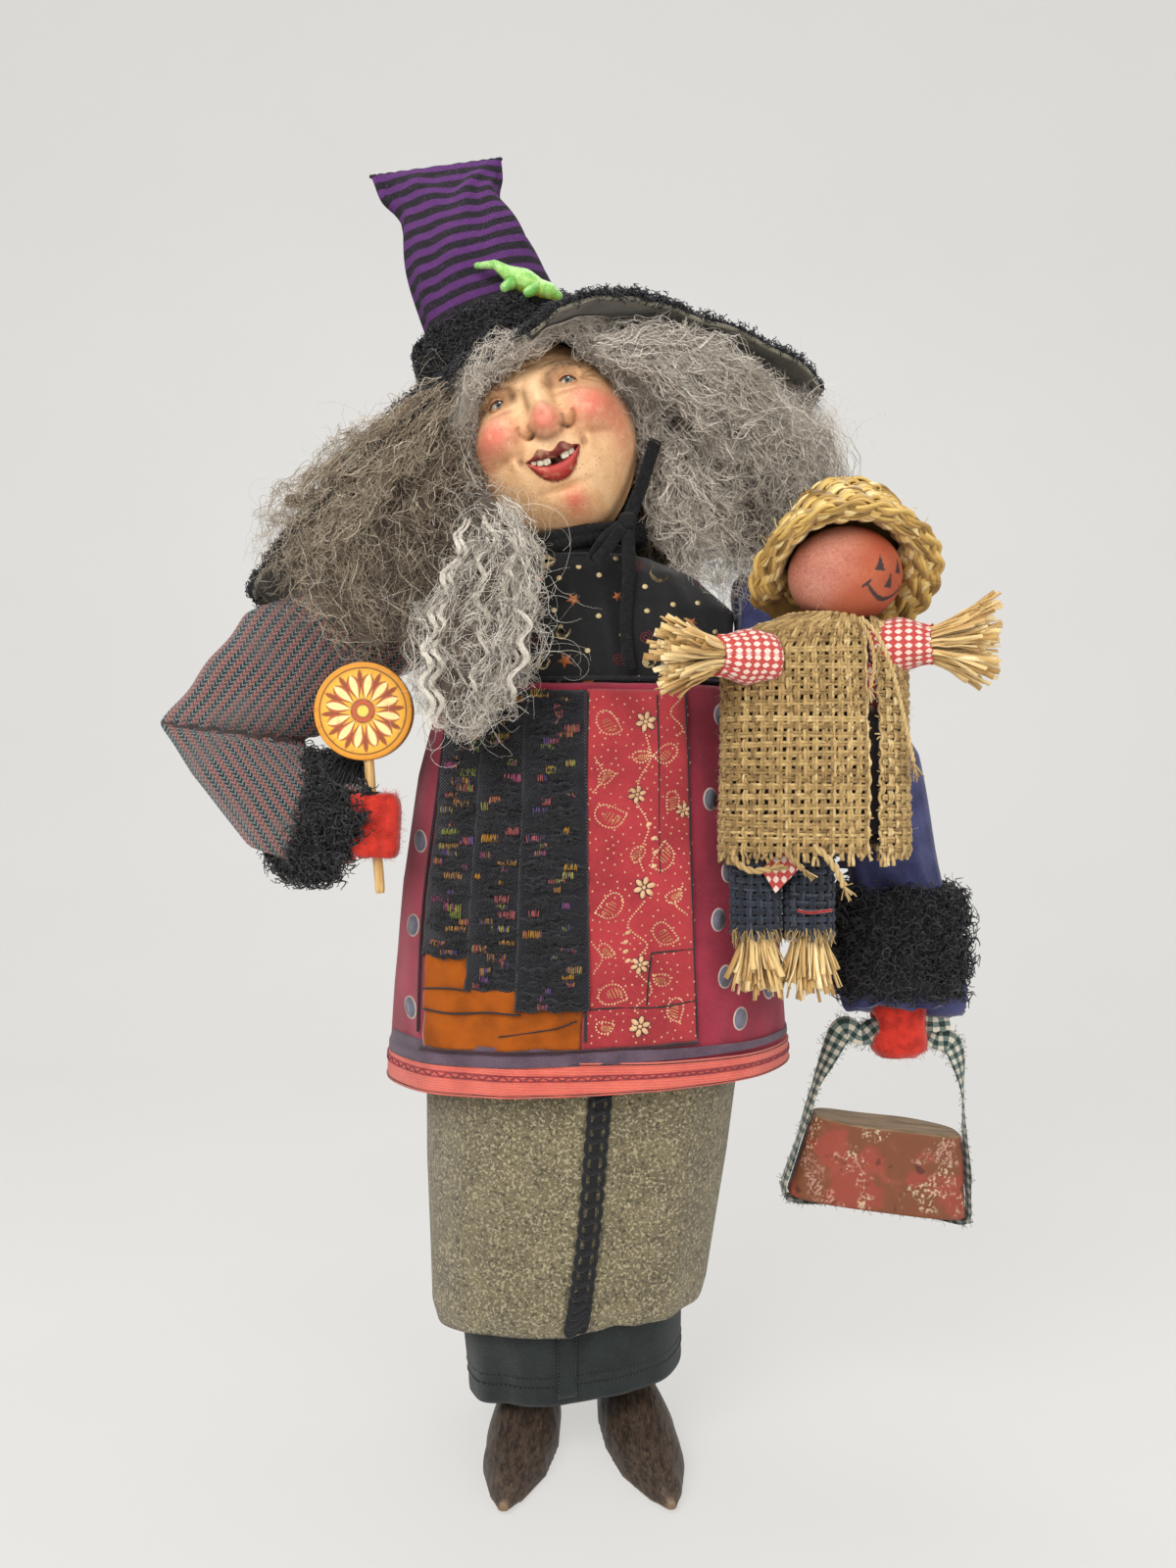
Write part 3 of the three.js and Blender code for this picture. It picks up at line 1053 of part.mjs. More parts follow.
function addLeftArm() {
  const wireFrom = point(UPPER_WIRE_INSET, 0, -1);
  const wireElbow = leftPlace(0.8, 0.8, 0.38);
  const wireTo = leftPlace(1, 1, 0.9);
  const bentWire = (from, to, extra) => {
    const radius = ARM_WIRE_RADIUS + extra;
    const bend = ball(wireElbow, radius, radius, radius, 8);
    return join(wire(from, wireElbow, extra), bend, wire(wireElbow, to, extra));
  };
  const openEnd = beyond(wireElbow, wireFrom, 2 * UPPER_WIRE_INSET);
  const wireRoom = bentWire(openEnd, beyond(wireElbow, wireTo, HOLE_BEYOND), SEAM_GAP);
  const burlapRoom = scarecrowShape().translate(...scarecrow.position.toArray());
  const sleeve = cut(loft(leftSleeve), wireRoom, loft(leftMitt(SEAM_GAP), MITT_SIDES), burlapRoom);
  add(leftArm, "left_sleeve", sleeve, NAVY_VELVET);
  add(leftArm, "left_arm_wire", bentWire(wireFrom, wireTo, 0), STEEL);
  const cuff = cuffAround(leftSleeve, LEFT_CUFF_FROM, LEFT_CUFF_TO, LEFT_CUFF_THICKNESS);
  add(leftArm, "left_fur_cuff", cut(cuff, burlapRoom), BLACK_BRAID);
  const gripReach = point(2 * LEFT_MITT_HALF_WIDTH, 0, 0);
  const [gripFrom, gripTo] = [grip.clone().sub(gripReach), grip.clone().add(gripReach)];
  const gripRoom = rod(gripFrom, gripTo, GRIP_RADIUS + 2 * RUNNING_GAP, 16);
  add(leftArm, "left_mitt", cut(loft(leftMitt(0), MITT_SIDES), gripRoom), RED_FELT);
  addScarecrow();
  addPail();
  doll.add(leftArm);
}

// Pail and strap, in a frame at the grip. The strap is one loop through the mitt and under the pail.
function addPail() {
  const pailFrame = new THREE.Group();
  pailFrame.position.copy(grip);
  const tilt = radians(PAIL_TILT);
  const seat = point(PAIL_SIDE, 0, -PAIL_DROP);
  const inPail = (x, z) => point(x, 0, z).applyAxisAngle(point(0, 1, 0), tilt).add(seat);
  const halfAt = (z) => lerp(PAIL_BOTTOM_HALF_WIDTH, PAIL_TOP_HALF_WIDTH, z / PAIL_HEIGHT + 0.5);
  const stack = [-0.5, -0.42, 0, 0.5].map((share) => {
    const inset = share === -0.5 ? 2 : 0;
    return level(0, 0, share * PAIL_HEIGHT, halfAt(share * PAIL_HEIGHT) - inset, PAIL_DEPTH / 2 - inset, 3.2);
  });
  const block = loft(stack, 28).rotateY(tilt).translate(seat.x, seat.y, seat.z);
  add(pailFrame, "pail", block, PAIL_PAINT);
  const off = STRAP_HALF_THICKNESS + SEAM_GAP;
  const low = -PAIL_HEIGHT / 2;
  const side = (sign, share) => inPail(sign * (halfAt(share * PAIL_HEIGHT) + off + 0.6), share * PAIL_HEIGHT);
  const foldEnd = LEFT_MITT_HALF_WIDTH + 3;
  const route = [
    point(0, 0, 0),
    point(foldEnd, 0, -1),
    side(1, 1.5).add(point(-1, 0, 0)),
    side(1, 0.5),
    side(1, -0.2),
    inPail(PAIL_BOTTOM_HALF_WIDTH - 1, low - off - 0.4),
    inPail(0, low - off),
    inPail(1 - PAIL_BOTTOM_HALF_WIDTH, low - off - 0.4),
    side(-1, -0.2),
    side(-1, 0.5),
    side(-1, 1.45).add(point(3, 0, 0)),
    point(-foldEnd, 0, -1),
  ];
  const curve = new THREE.CatmullRomCurve3(route, true, "centripetal");
  const STRAP_STEPS = 36;
  const rings = Array.from({ length: STRAP_STEPS }, (_, i) => {
    const centre = curve.getPoint(i / STRAP_STEPS);
    const way = curve.getTangent(i / STRAP_STEPS);
    const inHand = centre.z > -foldEnd ? Math.max(0, 1 - Math.abs(centre.x) / (1.6 * foldEnd)) : 0;
    const bunch = Math.min(1, 2.2 * inHand);
    const thick = lerp(STRAP_HALF_THICKNESS, GRIP_RADIUS, bunch);
    const out = point(way.z, 0, -way.x).setLength(thick);
    return ringOf(section(centre, out, point(0, lerp(STRAP_HALF_WIDTH, GRIP_RADIUS, bunch), 0), 2.4), 8);
  });
  const tailRoot = point(foldEnd - 3, 0, 0.5);
  const tail = loft(
    [0, 0.5, 1].map((share) =>
      section(
        tailRoot.clone().add(point(share * (STRAP_TAIL + 3), 0, 2 * share)),
        point(0, 3.4, 0),
        point(0, 0, STRAP_HALF_THICKNESS + 0.6),
        2.4,
      ),
    ),
    10,
  );
  const clear = loft(grownAll(stack, SEAM_GAP), 28).rotateY(tilt).translate(seat.x, seat.y, seat.z);
  add(pailFrame, "pail_strap", cut(join(loop(rings), tail), clear), GINGHAM);
  leftArm.add(pailFrame);
}

// Scarecrow, in a frame at its hips.
const scarecrow = new THREE.Group();
scarecrow.position.set(SCARECROW_OUT, -SCARECROW_FORWARD, -SCARECROW_DOWN);
const burlapYokeZ = lerp(BURLAP_SHOULDER_Z, BURLAP_NECK_Z, 0.6);
const burlapOuter = [
  level(0, 0, -BURLAP_BELOW_HIPS, BURLAP_HALF_WIDTH, BURLAP_HALF_DEPTH, 2.6),
  level(0, 0, BURLAP_SHOULDER_Z * 0.5, BURLAP_HALF_WIDTH - 1, BURLAP_HALF_DEPTH, 2.6),
  level(0, 0, BURLAP_SHOULDER_Z, BURLAP_HALF_WIDTH - 1, BURLAP_HALF_DEPTH - 2, 2.4),
  level(4, 0, burlapYokeZ, BURLAP_HALF_WIDTH * 0.8, BURLAP_HALF_DEPTH - 4, 2.4),
  level(6, 0, BURLAP_NECK_Z, BURLAP_HALF_WIDTH * 0.42, BURLAP_HALF_DEPTH - 8),
];
const burlapInner = grownAll(burlapOuter, -CLOTH);
const BURLAP_SIDES = 20;
const scarecrowShape = () => loft(lengthened(grownAll(burlapOuter, SEAM_GAP), SEAM_GAP), BURLAP_SIDES);
const BALL_SUNK = 3; // how far the ball sits down in the neck opening
const ballCentre = point(BALL_SIDE, -1, BURLAP_NECK_Z + BALL_HALF_HEIGHT - BALL_SUNK);
const scarecrowBall = (extra) =>
  ball(ballCentre, BALL_RADIUS + extra, BALL_RADIUS + extra, BALL_HALF_HEIGHT + extra, 16);
const pegFoot = ballCentre.clone().setZ(BURLAP_NECK_Z - PEG_DEPTH);
const pegRoom = () => {
  const [low, high] = [beyond(ballCentre, pegFoot, HOLE_BEYOND), beyond(pegFoot, ballCentre, HOLE_BEYOND)];
  return rod(low, high, PEG_RADIUS + SEAM_GAP, 12);
};

const leftArmZ = SCARECROW_ARM_Z + SCARECROW_ARM_LIFT;
const scarecrowArms = [
  { side: "right", root: point(-20, -12, SCARECROW_ARM_Z), way: point(-1, -0.38, 0), fan: -6 },
  { side: "left", root: point(23, -4, leftArmZ), way: point(1, -0.3, 0), fan: -24 },
];
function armSections({ root, way }, grow = 0) {
  const reach = way.clone().setLength(SCARECROW_SLEEVE_LENGTH);
  const radius = SCARECROW_SLEEVE_RADIUS + grow;
  const round = (share, size) =>
    section(
      root.clone().addScaledVector(reach, share),
      point(0, 0, radius * size),
      point(-way.y, way.x, 0).setLength(radius * size),
    );
  return [round(0, 0.95), round(0.4, 1), round(0.8, 0.9), round(1, 0.85)];
}

// A tuft of straw: strands that spread from a bound root, set out as the seeds of a sunflower are.
function strawTuft(length, spreadX, spreadY) {
  const GOLDEN_ANGLE = Math.PI * (3 - Math.sqrt(5));
  const ROOT_LENGTH = 3;
  const strands = Array.from({ length: STRAW_STRANDS }, (_, k) => {
    const radius = STRAW_RADIUS * 0.92 * Math.sqrt((k + 0.5) / STRAW_STRANDS);
    const [x, y] = [radius * Math.cos(k * GOLDEN_ANGLE), radius * Math.sin(k * GOLDEN_ANGLE)];
    const tip = length * (0.9 + 0.1 * Math.sin(k * GOLDEN_ANGLE * 2));
    return rod(point(x, y, ROOT_LENGTH - 1), point(x * spreadX, y * spreadY, tip), STRAW_THICKNESS, 3, 0);
  });
  const root = rod(point(0, 0, 0), point(0, 0, ROOT_LENGTH), STRAW_RADIUS, 12);
  return join(root, ...strands);
}

// A tuft turned from +Z to a way and set on a point.
function setTuft(group, name, geometry, seat, way, roll = 0) {
  const mesh = add(group, name, geometry, STRAW);
  mesh.position.copy(seat);
  mesh.quaternion.setFromUnitVectors(point(0, 0, 1), way.clone().normalize());
  mesh.rotateZ(radians(roll));
  return mesh;
}

// Straw hat: a bowl of coiled braid with a turned-out rim, worn on the back of the ball.
function strawHatGeometry() {
  const r = (radius, z) => new THREE.Vector2(radius, z);
  const opening = STRAW_HAT_OPENING;
  const rim = STRAW_HAT_RIM_RADIUS;
  const half = STRAW_HAT_HEIGHT / 2;
  const outside = [
    r(opening * 0.66, STRAW_HAT_HEIGHT),
    r(opening + 3, half),
    r(opening + 5, half / 2),
    r(rim, 1),
  ];
  const inside = [
    r(rim - 1, 1 - STRAW_BRAID),
    r(opening + 1, half / 2 - STRAW_BRAID),
    r(opening - 1, half),
    r(opening * 0.6, BALL_HALF_HEIGHT),
  ];
  const profile = [...outside, ...inside];
  return skin(profile.map(({ x: radius, y: z }) => ringOf(level(0, 0, z, radius, radius), HAT_SIDES)));
}

function addScarecrow() {
  const SLEEVE_SIDES = 14;
  const armRoom = (arm) => loft(lengthened(armSections(arm, SEAM_GAP), SEAM_GAP), SLEEVE_SIDES);
  const sleeveRoom = scarecrowArms.map(armRoom);
  const ballRoom = scarecrowBall(RUNNING_GAP);
  const [slitFront, slitFoot] = [-2 * BURLAP_HALF_DEPTH, -2 * BURLAP_BELOW_HIPS];
  const slit = box(SLIT_X, SLIT_X + BURLAP_SLIT, slitFront, 0, slitFoot, BURLAP_SHOULDER_Z);
  const shell = tube(burlapOuter, burlapInner, BURLAP_SIDES);
  add(scarecrow, "scarecrow_vest", cut(shell, slit, ballRoom, ...sleeveRoom), BURLAP);
  const bodyStack = grownAll(stackBetween(burlapInner, RUNNING_GAP, BURLAP_NECK_Z - CLOTH), -SEAM_GAP);
  const body = cut(loft(bodyStack, BURLAP_SIDES), ballRoom, pegRoom(), ...sleeveRoom);
  add(scarecrow, "scarecrow_body", body, RED_CHECK);
  add(scarecrow, "scarecrow_neck_peg", rod(pegFoot, ballCentre, PEG_RADIUS, 12), PALE_WOOD);
  add(scarecrow, "scarecrow_head", cut(scarecrowBall(0), pegRoom()), RED_CLAY);
  const hat = strawHatGeometry().rotateX(radians(-STRAW_HAT_TILT)).translate(...ballCentre.toArray());
  const shoulders = [-BALL_TURN, BALL_TURN].map((turn) => {
    const aside = scarecrowShape().translate(-ballCentre.x, -ballCentre.y, 0);
    return aside.rotateZ(radians(turn)).translate(ballCentre.x, ballCentre.y, 0);
  });
  add(scarecrow, "scarecrow_straw_hat", cut(hat, scarecrowBall(SEAM_GAP), ...shoulders), STRAW);
  for (const arm of scarecrowArms) {
    const sections = armSections(arm);
    add(scarecrow, `scarecrow_${arm.side}_sleeve`, loft(sections, SLEEVE_SIDES), RED_CHECK);
    const cuffEnd = sections.at(-1).centre.clone().addScaledVector(arm.way.clone().normalize(), SEAM_GAP);
    const tuft = strawTuft(STRAW_HAND_LENGTH, 1.6, 2.5);
    setTuft(scarecrow, `scarecrow_${arm.side}_straw_hand`, tuft, cuffEnd, arm.way, arm.fan);
  }
  addTrousers();
  leftArm.add(scarecrow);
}

// Dangling legs: each has a round top about its hip, so that it can swing under the body.
function addTrousers() {
  const hipRadius = TROUSER_HALF_DEPTH;
  for (const [side, x] of [["right", -BURLAP_HALF_WIDTH * 0.62], ["left", -BURLAP_HALF_WIDTH * 0.06]]) {
    const leg = new THREE.Group();
    leg.position.set(x, 0, -hipRadius);
    const cap = [80, 55, 30].map((angle) => {
      const half = TROUSER_HALF_WIDTH * (0.5 + 0.5 * Math.cos(radians(angle)));
      return level(0, 0, hipRadius * Math.sin(radians(angle)), half, hipRadius * Math.cos(radians(angle)));
    });
    const foot = hipRadius - TROUSER_LENGTH;
    const shank = [
      level(0, 0, 0, TROUSER_HALF_WIDTH, hipRadius),
      level(0, 0, foot * 0.6, TROUSER_HALF_WIDTH, TROUSER_HALF_DEPTH),
      level(-1, 0, foot, TROUSER_HALF_WIDTH * 0.95, TROUSER_HALF_DEPTH),
    ];
    add(leg, `scarecrow_${side}_trouser`, loft([...cap, ...shank], 16), NAVY_BURLAP);
    const tuft = strawTuft(STRAW_FOOT_LENGTH, 1.25, 1.05);
    setTuft(leg, `scarecrow_${side}_straw_foot`, tuft, point(-1, 0, foot - SEAM_GAP), point(0, 0, -1));
    scarecrow.add(leg);
  }
}

addBody();
addGarments();
addLegs();
addHead();
addCollar();
addHair();
addRibbon();
addRightArm();
addLeftArm();

// The frame's origin is the middle of the footprint of the whole doll, on the floor.
const extent = new THREE.Box3().setFromObject(doll, true);
const middle = extent.getCenter(point(0, 0, 0));
doll.position.set(-middle.x, -middle.y, -extent.min.z);
const part = new THREE.Group();
part.add(doll);

export default part;
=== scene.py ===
"""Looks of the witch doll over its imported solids.

Lengths are millimetres in the doll's own frame. It faces -Y, and the origin is on the floor under its
shoulders.
"""

import json
import math

import bmesh
import bpy
import numpy as np
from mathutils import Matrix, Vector
from mathutils.bvhtree import BVHTree


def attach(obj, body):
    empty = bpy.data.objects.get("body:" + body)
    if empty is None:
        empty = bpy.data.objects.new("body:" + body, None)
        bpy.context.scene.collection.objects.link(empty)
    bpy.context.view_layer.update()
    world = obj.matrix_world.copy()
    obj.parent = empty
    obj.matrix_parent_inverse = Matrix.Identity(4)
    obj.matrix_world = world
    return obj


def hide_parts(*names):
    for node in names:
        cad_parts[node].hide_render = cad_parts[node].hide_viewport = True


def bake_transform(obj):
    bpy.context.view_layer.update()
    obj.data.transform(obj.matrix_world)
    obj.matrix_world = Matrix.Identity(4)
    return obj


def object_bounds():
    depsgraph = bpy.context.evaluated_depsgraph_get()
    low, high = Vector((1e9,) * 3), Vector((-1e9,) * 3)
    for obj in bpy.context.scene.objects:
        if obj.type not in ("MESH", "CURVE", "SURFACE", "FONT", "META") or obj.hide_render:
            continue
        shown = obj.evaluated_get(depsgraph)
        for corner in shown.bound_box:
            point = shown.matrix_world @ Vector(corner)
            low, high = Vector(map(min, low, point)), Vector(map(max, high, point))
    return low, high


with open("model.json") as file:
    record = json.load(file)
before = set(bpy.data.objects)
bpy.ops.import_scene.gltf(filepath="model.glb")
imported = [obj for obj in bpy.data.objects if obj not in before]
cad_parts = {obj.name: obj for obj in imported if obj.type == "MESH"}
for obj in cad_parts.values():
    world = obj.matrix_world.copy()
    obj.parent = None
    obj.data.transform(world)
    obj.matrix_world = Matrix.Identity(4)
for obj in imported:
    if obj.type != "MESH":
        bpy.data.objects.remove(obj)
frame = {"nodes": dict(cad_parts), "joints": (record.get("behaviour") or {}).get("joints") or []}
CAD_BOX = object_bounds()
MM = 0.001
JOINTS = {j["name"]: np.array(j["pos_m"], float) / MM for j in frame["joints"] if "pos_m" in j}
SHOULDERS = (JOINTS["right_shoulder_swing"] + JOINTS["left_shoulder_swing"]) / 2
ORIGIN = SHOULDERS * (1, 1, 0)
TAU = 2 * math.pi
# How far a rounding step moves each point, the edge that wrapped cloth leaves free, how many columns its
# facets are blurred over, and the most strands in one mesh
ROUNDING, CLOTH_EDGE, FACET_BLUR, STRANDS_PER_MESH = 0.5, 0.7, 4.0, 800


def to_metres(point):
    return tuple((np.asarray(point, float) + ORIGIN) * MM)


def unit(vectors):
    return vectors / np.maximum(np.linalg.norm(vectors, axis=-1, keepdims=True), 1e-9)


def ease(values, low, high):
    """0 below low, 1 above high, and smooth between them."""
    share = np.clip((np.asarray(values, float) - low) / (high - low), 0, 1)
    return share * share * (3 - 2 * share)


def bell(values, middle, width):
    return np.exp(-(((values - middle) / width) ** 2))


def spline(points, steps):
    """A smooth line of that many steps through rows of points."""
    points = np.asarray(points, float)
    padded = np.concatenate([2 * points[:1] - points[1:2], points, 2 * points[-1:] - points[-2:-1]])
    place = np.linspace(0, len(points) - 1, steps)
    first = np.minimum(place.astype(int), len(points) - 2)
    t = (place - first)[:, None]
    a, b, c, d = (padded[first + k] for k in range(4))
    return 0.5 * (2 * b + (c - a) * t + (2 * a - 5 * b + 4 * c - d) * t**2 + (3 * b - a - 3 * c + d) * t**3)


def ripple(shape, waves, seed):
    """Smooth noise on a grid that closes across its columns. A wave is (count, rows per wave, height)."""
    wild = np.random.default_rng(seed)
    rows, columns = shape
    down = np.arange(rows)[:, None] / rows
    across = np.arange(columns)[None, :] / columns
    total = np.zeros(shape)
    for around, along, height in waves:
        for _ in range(4):
            turns = round(around * wild.uniform(0.6, 1.4))
            rise = along * wild.uniform(-1, 1)
            total += height / 2 * np.sin(TAU * (turns * across + rise * down + wild.random()))
    return total


# Meshes
def grid_faces(rows, columns, closed=False):
    row, column = np.meshgrid(np.arange(rows - 1), np.arange(columns - (not closed)), indexing="ij")
    beside = (column + 1) % columns
    corners = [row * columns + column, row * columns + beside]
    corners += [(row + 1) * columns + beside, (row + 1) * columns + column]
    return np.stack(corners, axis=-1).reshape(-1, 4)


def add_channel(mesh, name, values):
    values = np.asarray(values, np.float32)
    single = values.ndim == 1
    layer = mesh.attributes.new(name, "FLOAT" if single else "FLOAT_VECTOR", "POINT")
    layer.data.foreach_set("value" if single else "vector", values.ravel())


def make(name, points, faces, finish, body="figure", replaces=(), slot=None, **channels):
    """A smooth mesh on a body. Channels give its material one or three numbers for each point."""
    blocks = faces if isinstance(faces, list) else [faces]
    blocks = [np.asarray(block, np.int32) for block in blocks if len(block)]
    sizes = np.concatenate([np.full(len(block), block.shape[1]) for block in blocks])
    corners = np.concatenate([block.ravel() for block in blocks])
    mesh = bpy.data.meshes.new(name)
    mesh.vertices.add(len(points))
    mesh.vertices.foreach_set("co", ((points + ORIGIN) * MM).astype(np.float32).ravel())
    mesh.loops.add(len(corners))
    mesh.loops.foreach_set("vertex_index", corners.astype(np.int32))
    mesh.polygons.add(len(sizes))
    starts = np.concatenate([[0], np.cumsum(sizes)[:-1]])
    mesh.polygons.foreach_set("loop_start", starts.astype(np.int32))
    for channel, values in channels.items():
        add_channel(mesh, channel, values)
    mesh.update()
    mesh.validate()
    mesh.shade_smooth()
    return place(bpy.data.objects.new(name, mesh), finish, body, replaces, slot)


def place(obj, finish, body, replaces=(), slot=None):
    obj.data.materials.clear()
    obj.data.materials.append(finish.material)
    bpy.context.scene.collection.objects.link(obj)
    if body:
        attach(obj, body)
    if replaces:
        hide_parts(*replaces)
    return obj


class Pile:
    """Many small shapes that make one mesh."""

    def __init__(self):
        self.points, self.faces, self.channels, self.count = [], [], {}, 0

    def add(self, points, faces, **channels):
        points = np.asarray(points, float).reshape(-1, 3)
        for block in faces if isinstance(faces, list) else [faces]:
            self.faces.append(np.asarray(block) + self.count)
        for channel, values in channels.items():
            values = np.asarray(values, float)
            if values.ndim == 0 or (values.ndim == 1 and len(values) == 3 != len(points)):
                values = np.broadcast_to(values, (len(points), *values.shape))
            self.channels.setdefault(channel, []).append(values)
        self.points.append(points)
        self.count += len(points)

    def build(self, name, finish, body="figure", replaces=(), slot=None):
        channels = {key: np.concatenate(values) for key, values in self.channels.items()}
        by_size = {}
        for block in self.faces:
            by_size.setdefault(block.shape[1], []).append(block)
        faces = [np.concatenate(blocks) for blocks in by_size.values()]
        return make(name, np.concatenate(self.points), faces, finish, body, replaces, slot, **channels)


def tubes(paths, radius, sides=3, flat=1.0, up=None):
    """Points and faces of strands along paths (strand, step, 3). flat squeezes them along up."""
    paths = np.asarray(paths, float)
    count, steps, _ = paths.shape
    way = unit(np.gradient(paths, axis=1))
    if up is None:
        steep = np.abs(way.mean(1, keepdims=True)[..., 2:]) > 0.75
        up = np.where(steep, (0.94, 0.34, 0), (0.1, 0.2, 0.97))
    side = unit(np.cross(way, np.broadcast_to(up, paths.shape)))
    lift = np.cross(side, way)
    turn = TAU * (np.arange(sides) + 0.5) / sides
    radius = np.broadcast_to(np.asarray(radius, float), (count, steps))[..., None, None]
    spread = np.cos(turn)[:, None] * side[:, :, None] + flat * np.sin(turn)[:, None] * lift[:, :, None]
    rings = paths[:, :, None] + radius * spread
    start = np.arange(count)[:, None] * steps * sides
    walls = (grid_faces(steps, sides, True).ravel()[None] + start).reshape(-1, 4)
    foot = np.arange(sides)[::-1][None] + start
    head = np.arange(sides)[None] + (steps - 1) * sides + start
    return rings.reshape(-1, 3), [walls, foot, head]


def per_strand(values, paths, sides=3):
    return np.repeat(np.asarray(values, float), paths.shape[1] * sides, axis=0)


def make_strands(name, paths, radius, shade, finish, body, slot, sides=3, flat=1.0):
    """Strands along paths, each with a shade of its own."""
    points, faces = tubes(paths, radius, sides, flat)
    tone = per_strand(shade, paths, sides)
    return make(name, points, faces, finish, body, slot=slot, shade=tone)


def shell(grid, out, thickness, closed):
    """A sheet of cloth with that thickness behind its grid of points."""
    rows, columns = grid.shape[:2]
    count = rows * columns
    points = np.concatenate([grid.reshape(-1, 3), (grid - out * thickness).reshape(-1, 3)])
    front = grid_faces(rows, columns, closed)
    index = np.arange(count).reshape(rows, columns)
    if closed:
        rims = [np.append(index[0], index[0, 0])[::-1], np.append(index[-1], index[-1, 0])]
    else:
        rims = [
            np.concatenate([index[0, ::-1], index[1:, 0], index[-1, 1:], index[-2:0:-1, -1], index[0, -1:]])
        ]
    edges = [np.stack([rim[:-1], rim[1:], rim[1:] + count, rim[:-1] + count], axis=1) for rim in rims]
    return points, [np.concatenate([front, front[:, ::-1] + count, *edges])]


def blob(centre, sizes, rows=12, around=20):
    """A closed round form with half axes of those sizes."""
    tilt = np.linspace(0.02, math.pi - 0.02, rows)[:, None]
    turn = TAU * np.arange(around) / around
    ring = [np.sin(tilt) * np.cos(turn), np.sin(tilt) * np.sin(turn), -np.cos(tilt) + 0 * turn]
    points = np.stack(ring, axis=-1) * sizes + centre
    caps = [np.arange(around)[::-1][None], np.arange(around)[None] + (rows - 1) * around]
    return points.reshape(-1, 3), [grid_faces(rows, around, True), *caps]


def solid(node):
    """The points and the surface of a CAD node, in the doll's frame."""
    mesh = frame["nodes"][node].data
    points = np.empty(3 * len(mesh.vertices))
    mesh.vertices.foreach_get("co", points)
    points = points.reshape(-1, 3) / MM - ORIGIN
    faces = [tuple(polygon.vertices) for polygon in mesh.polygons]
    return points, BVHTree.FromPolygons([Vector(p) for p in points], faces)


def softened(name, nodes, voxel, rounds, finish, body, swell=0.0):
    """A rounded, evenly meshed copy of CAD nodes that stands for them."""
    whole = bmesh.new()
    for node in nodes:
        whole.from_mesh(frame["nodes"][node].data)
    mesh = bpy.data.meshes.new(name)
    whole.to_mesh(mesh)
    whole.free()
    obj = bpy.data.objects.new(name, mesh)
    bpy.context.scene.collection.objects.link(obj)
    remesh = obj.modifiers.new("even", "REMESH")
    remesh.mode = "VOXEL"
    remesh.voxel_size = voxel * MM
    smooth = obj.modifiers.new("round", "SMOOTH")
    smooth.factor = ROUNDING
    smooth.iterations = rounds
    if swell:
        grow = obj.modifiers.new("swell", "DISPLACE")
        grow.mid_level = 0
        grow.strength = swell * MM
    bpy.context.view_layer.update()
    done = bpy.data.meshes.new_from_object(obj.evaluated_get(bpy.context.evaluated_depsgraph_get()))
    bpy.data.objects.remove(obj)
    done.name = name
    done.shade_smooth()
    return place(bpy.data.objects.new(name, done), finish, body, nodes)


def points_of(obj):
    points = np.empty(3 * len(obj.data.vertices))
    obj.data.vertices.foreach_get("co", points)
    return points.reshape(-1, 3) / MM - ORIGIN


def normals_of(obj):
    normals = np.empty(3 * len(obj.data.vertices))
    obj.data.vertices.foreach_get("normal", normals)
    return normals.reshape(-1, 3)


def reshape(obj, points):
    obj.data.vertices.foreach_set("co", ((points + ORIGIN) * MM).astype(np.float32).ravel())
    obj.data.update()


def scatter(node, count, seed, keep=None):
    """Random places on a CAD node's surface, with the directions out of it."""
    mesh = frame["nodes"][node].data
    mesh.calc_loop_triangles()
    corners = np.array([triangle.vertices for triangle in mesh.loop_triangles])
    corners = solid(node)[0][corners]
    cross = np.cross(corners[:, 1] - corners[:, 0], corners[:, 2] - corners[:, 0])
    area = np.linalg.norm(cross, axis=1)
    wild = np.random.default_rng(seed)
    pick = wild.choice(len(area), 3 * count, p=area / area.sum())
    a, b = wild.random((2, len(pick), 1))
    a, b = np.where(a + b > 1, 1 - a, a), np.where(a + b > 1, 1 - b, b)
    first, second, third = corners[pick].swapaxes(0, 1)
    points = first + a * (second - first) + b * (third - first)
    out = unit(cross[pick])
    if keep is not None:
        good = keep(points, out)
        points, out = points[good], out[good]
    return points[:count], out[:count]


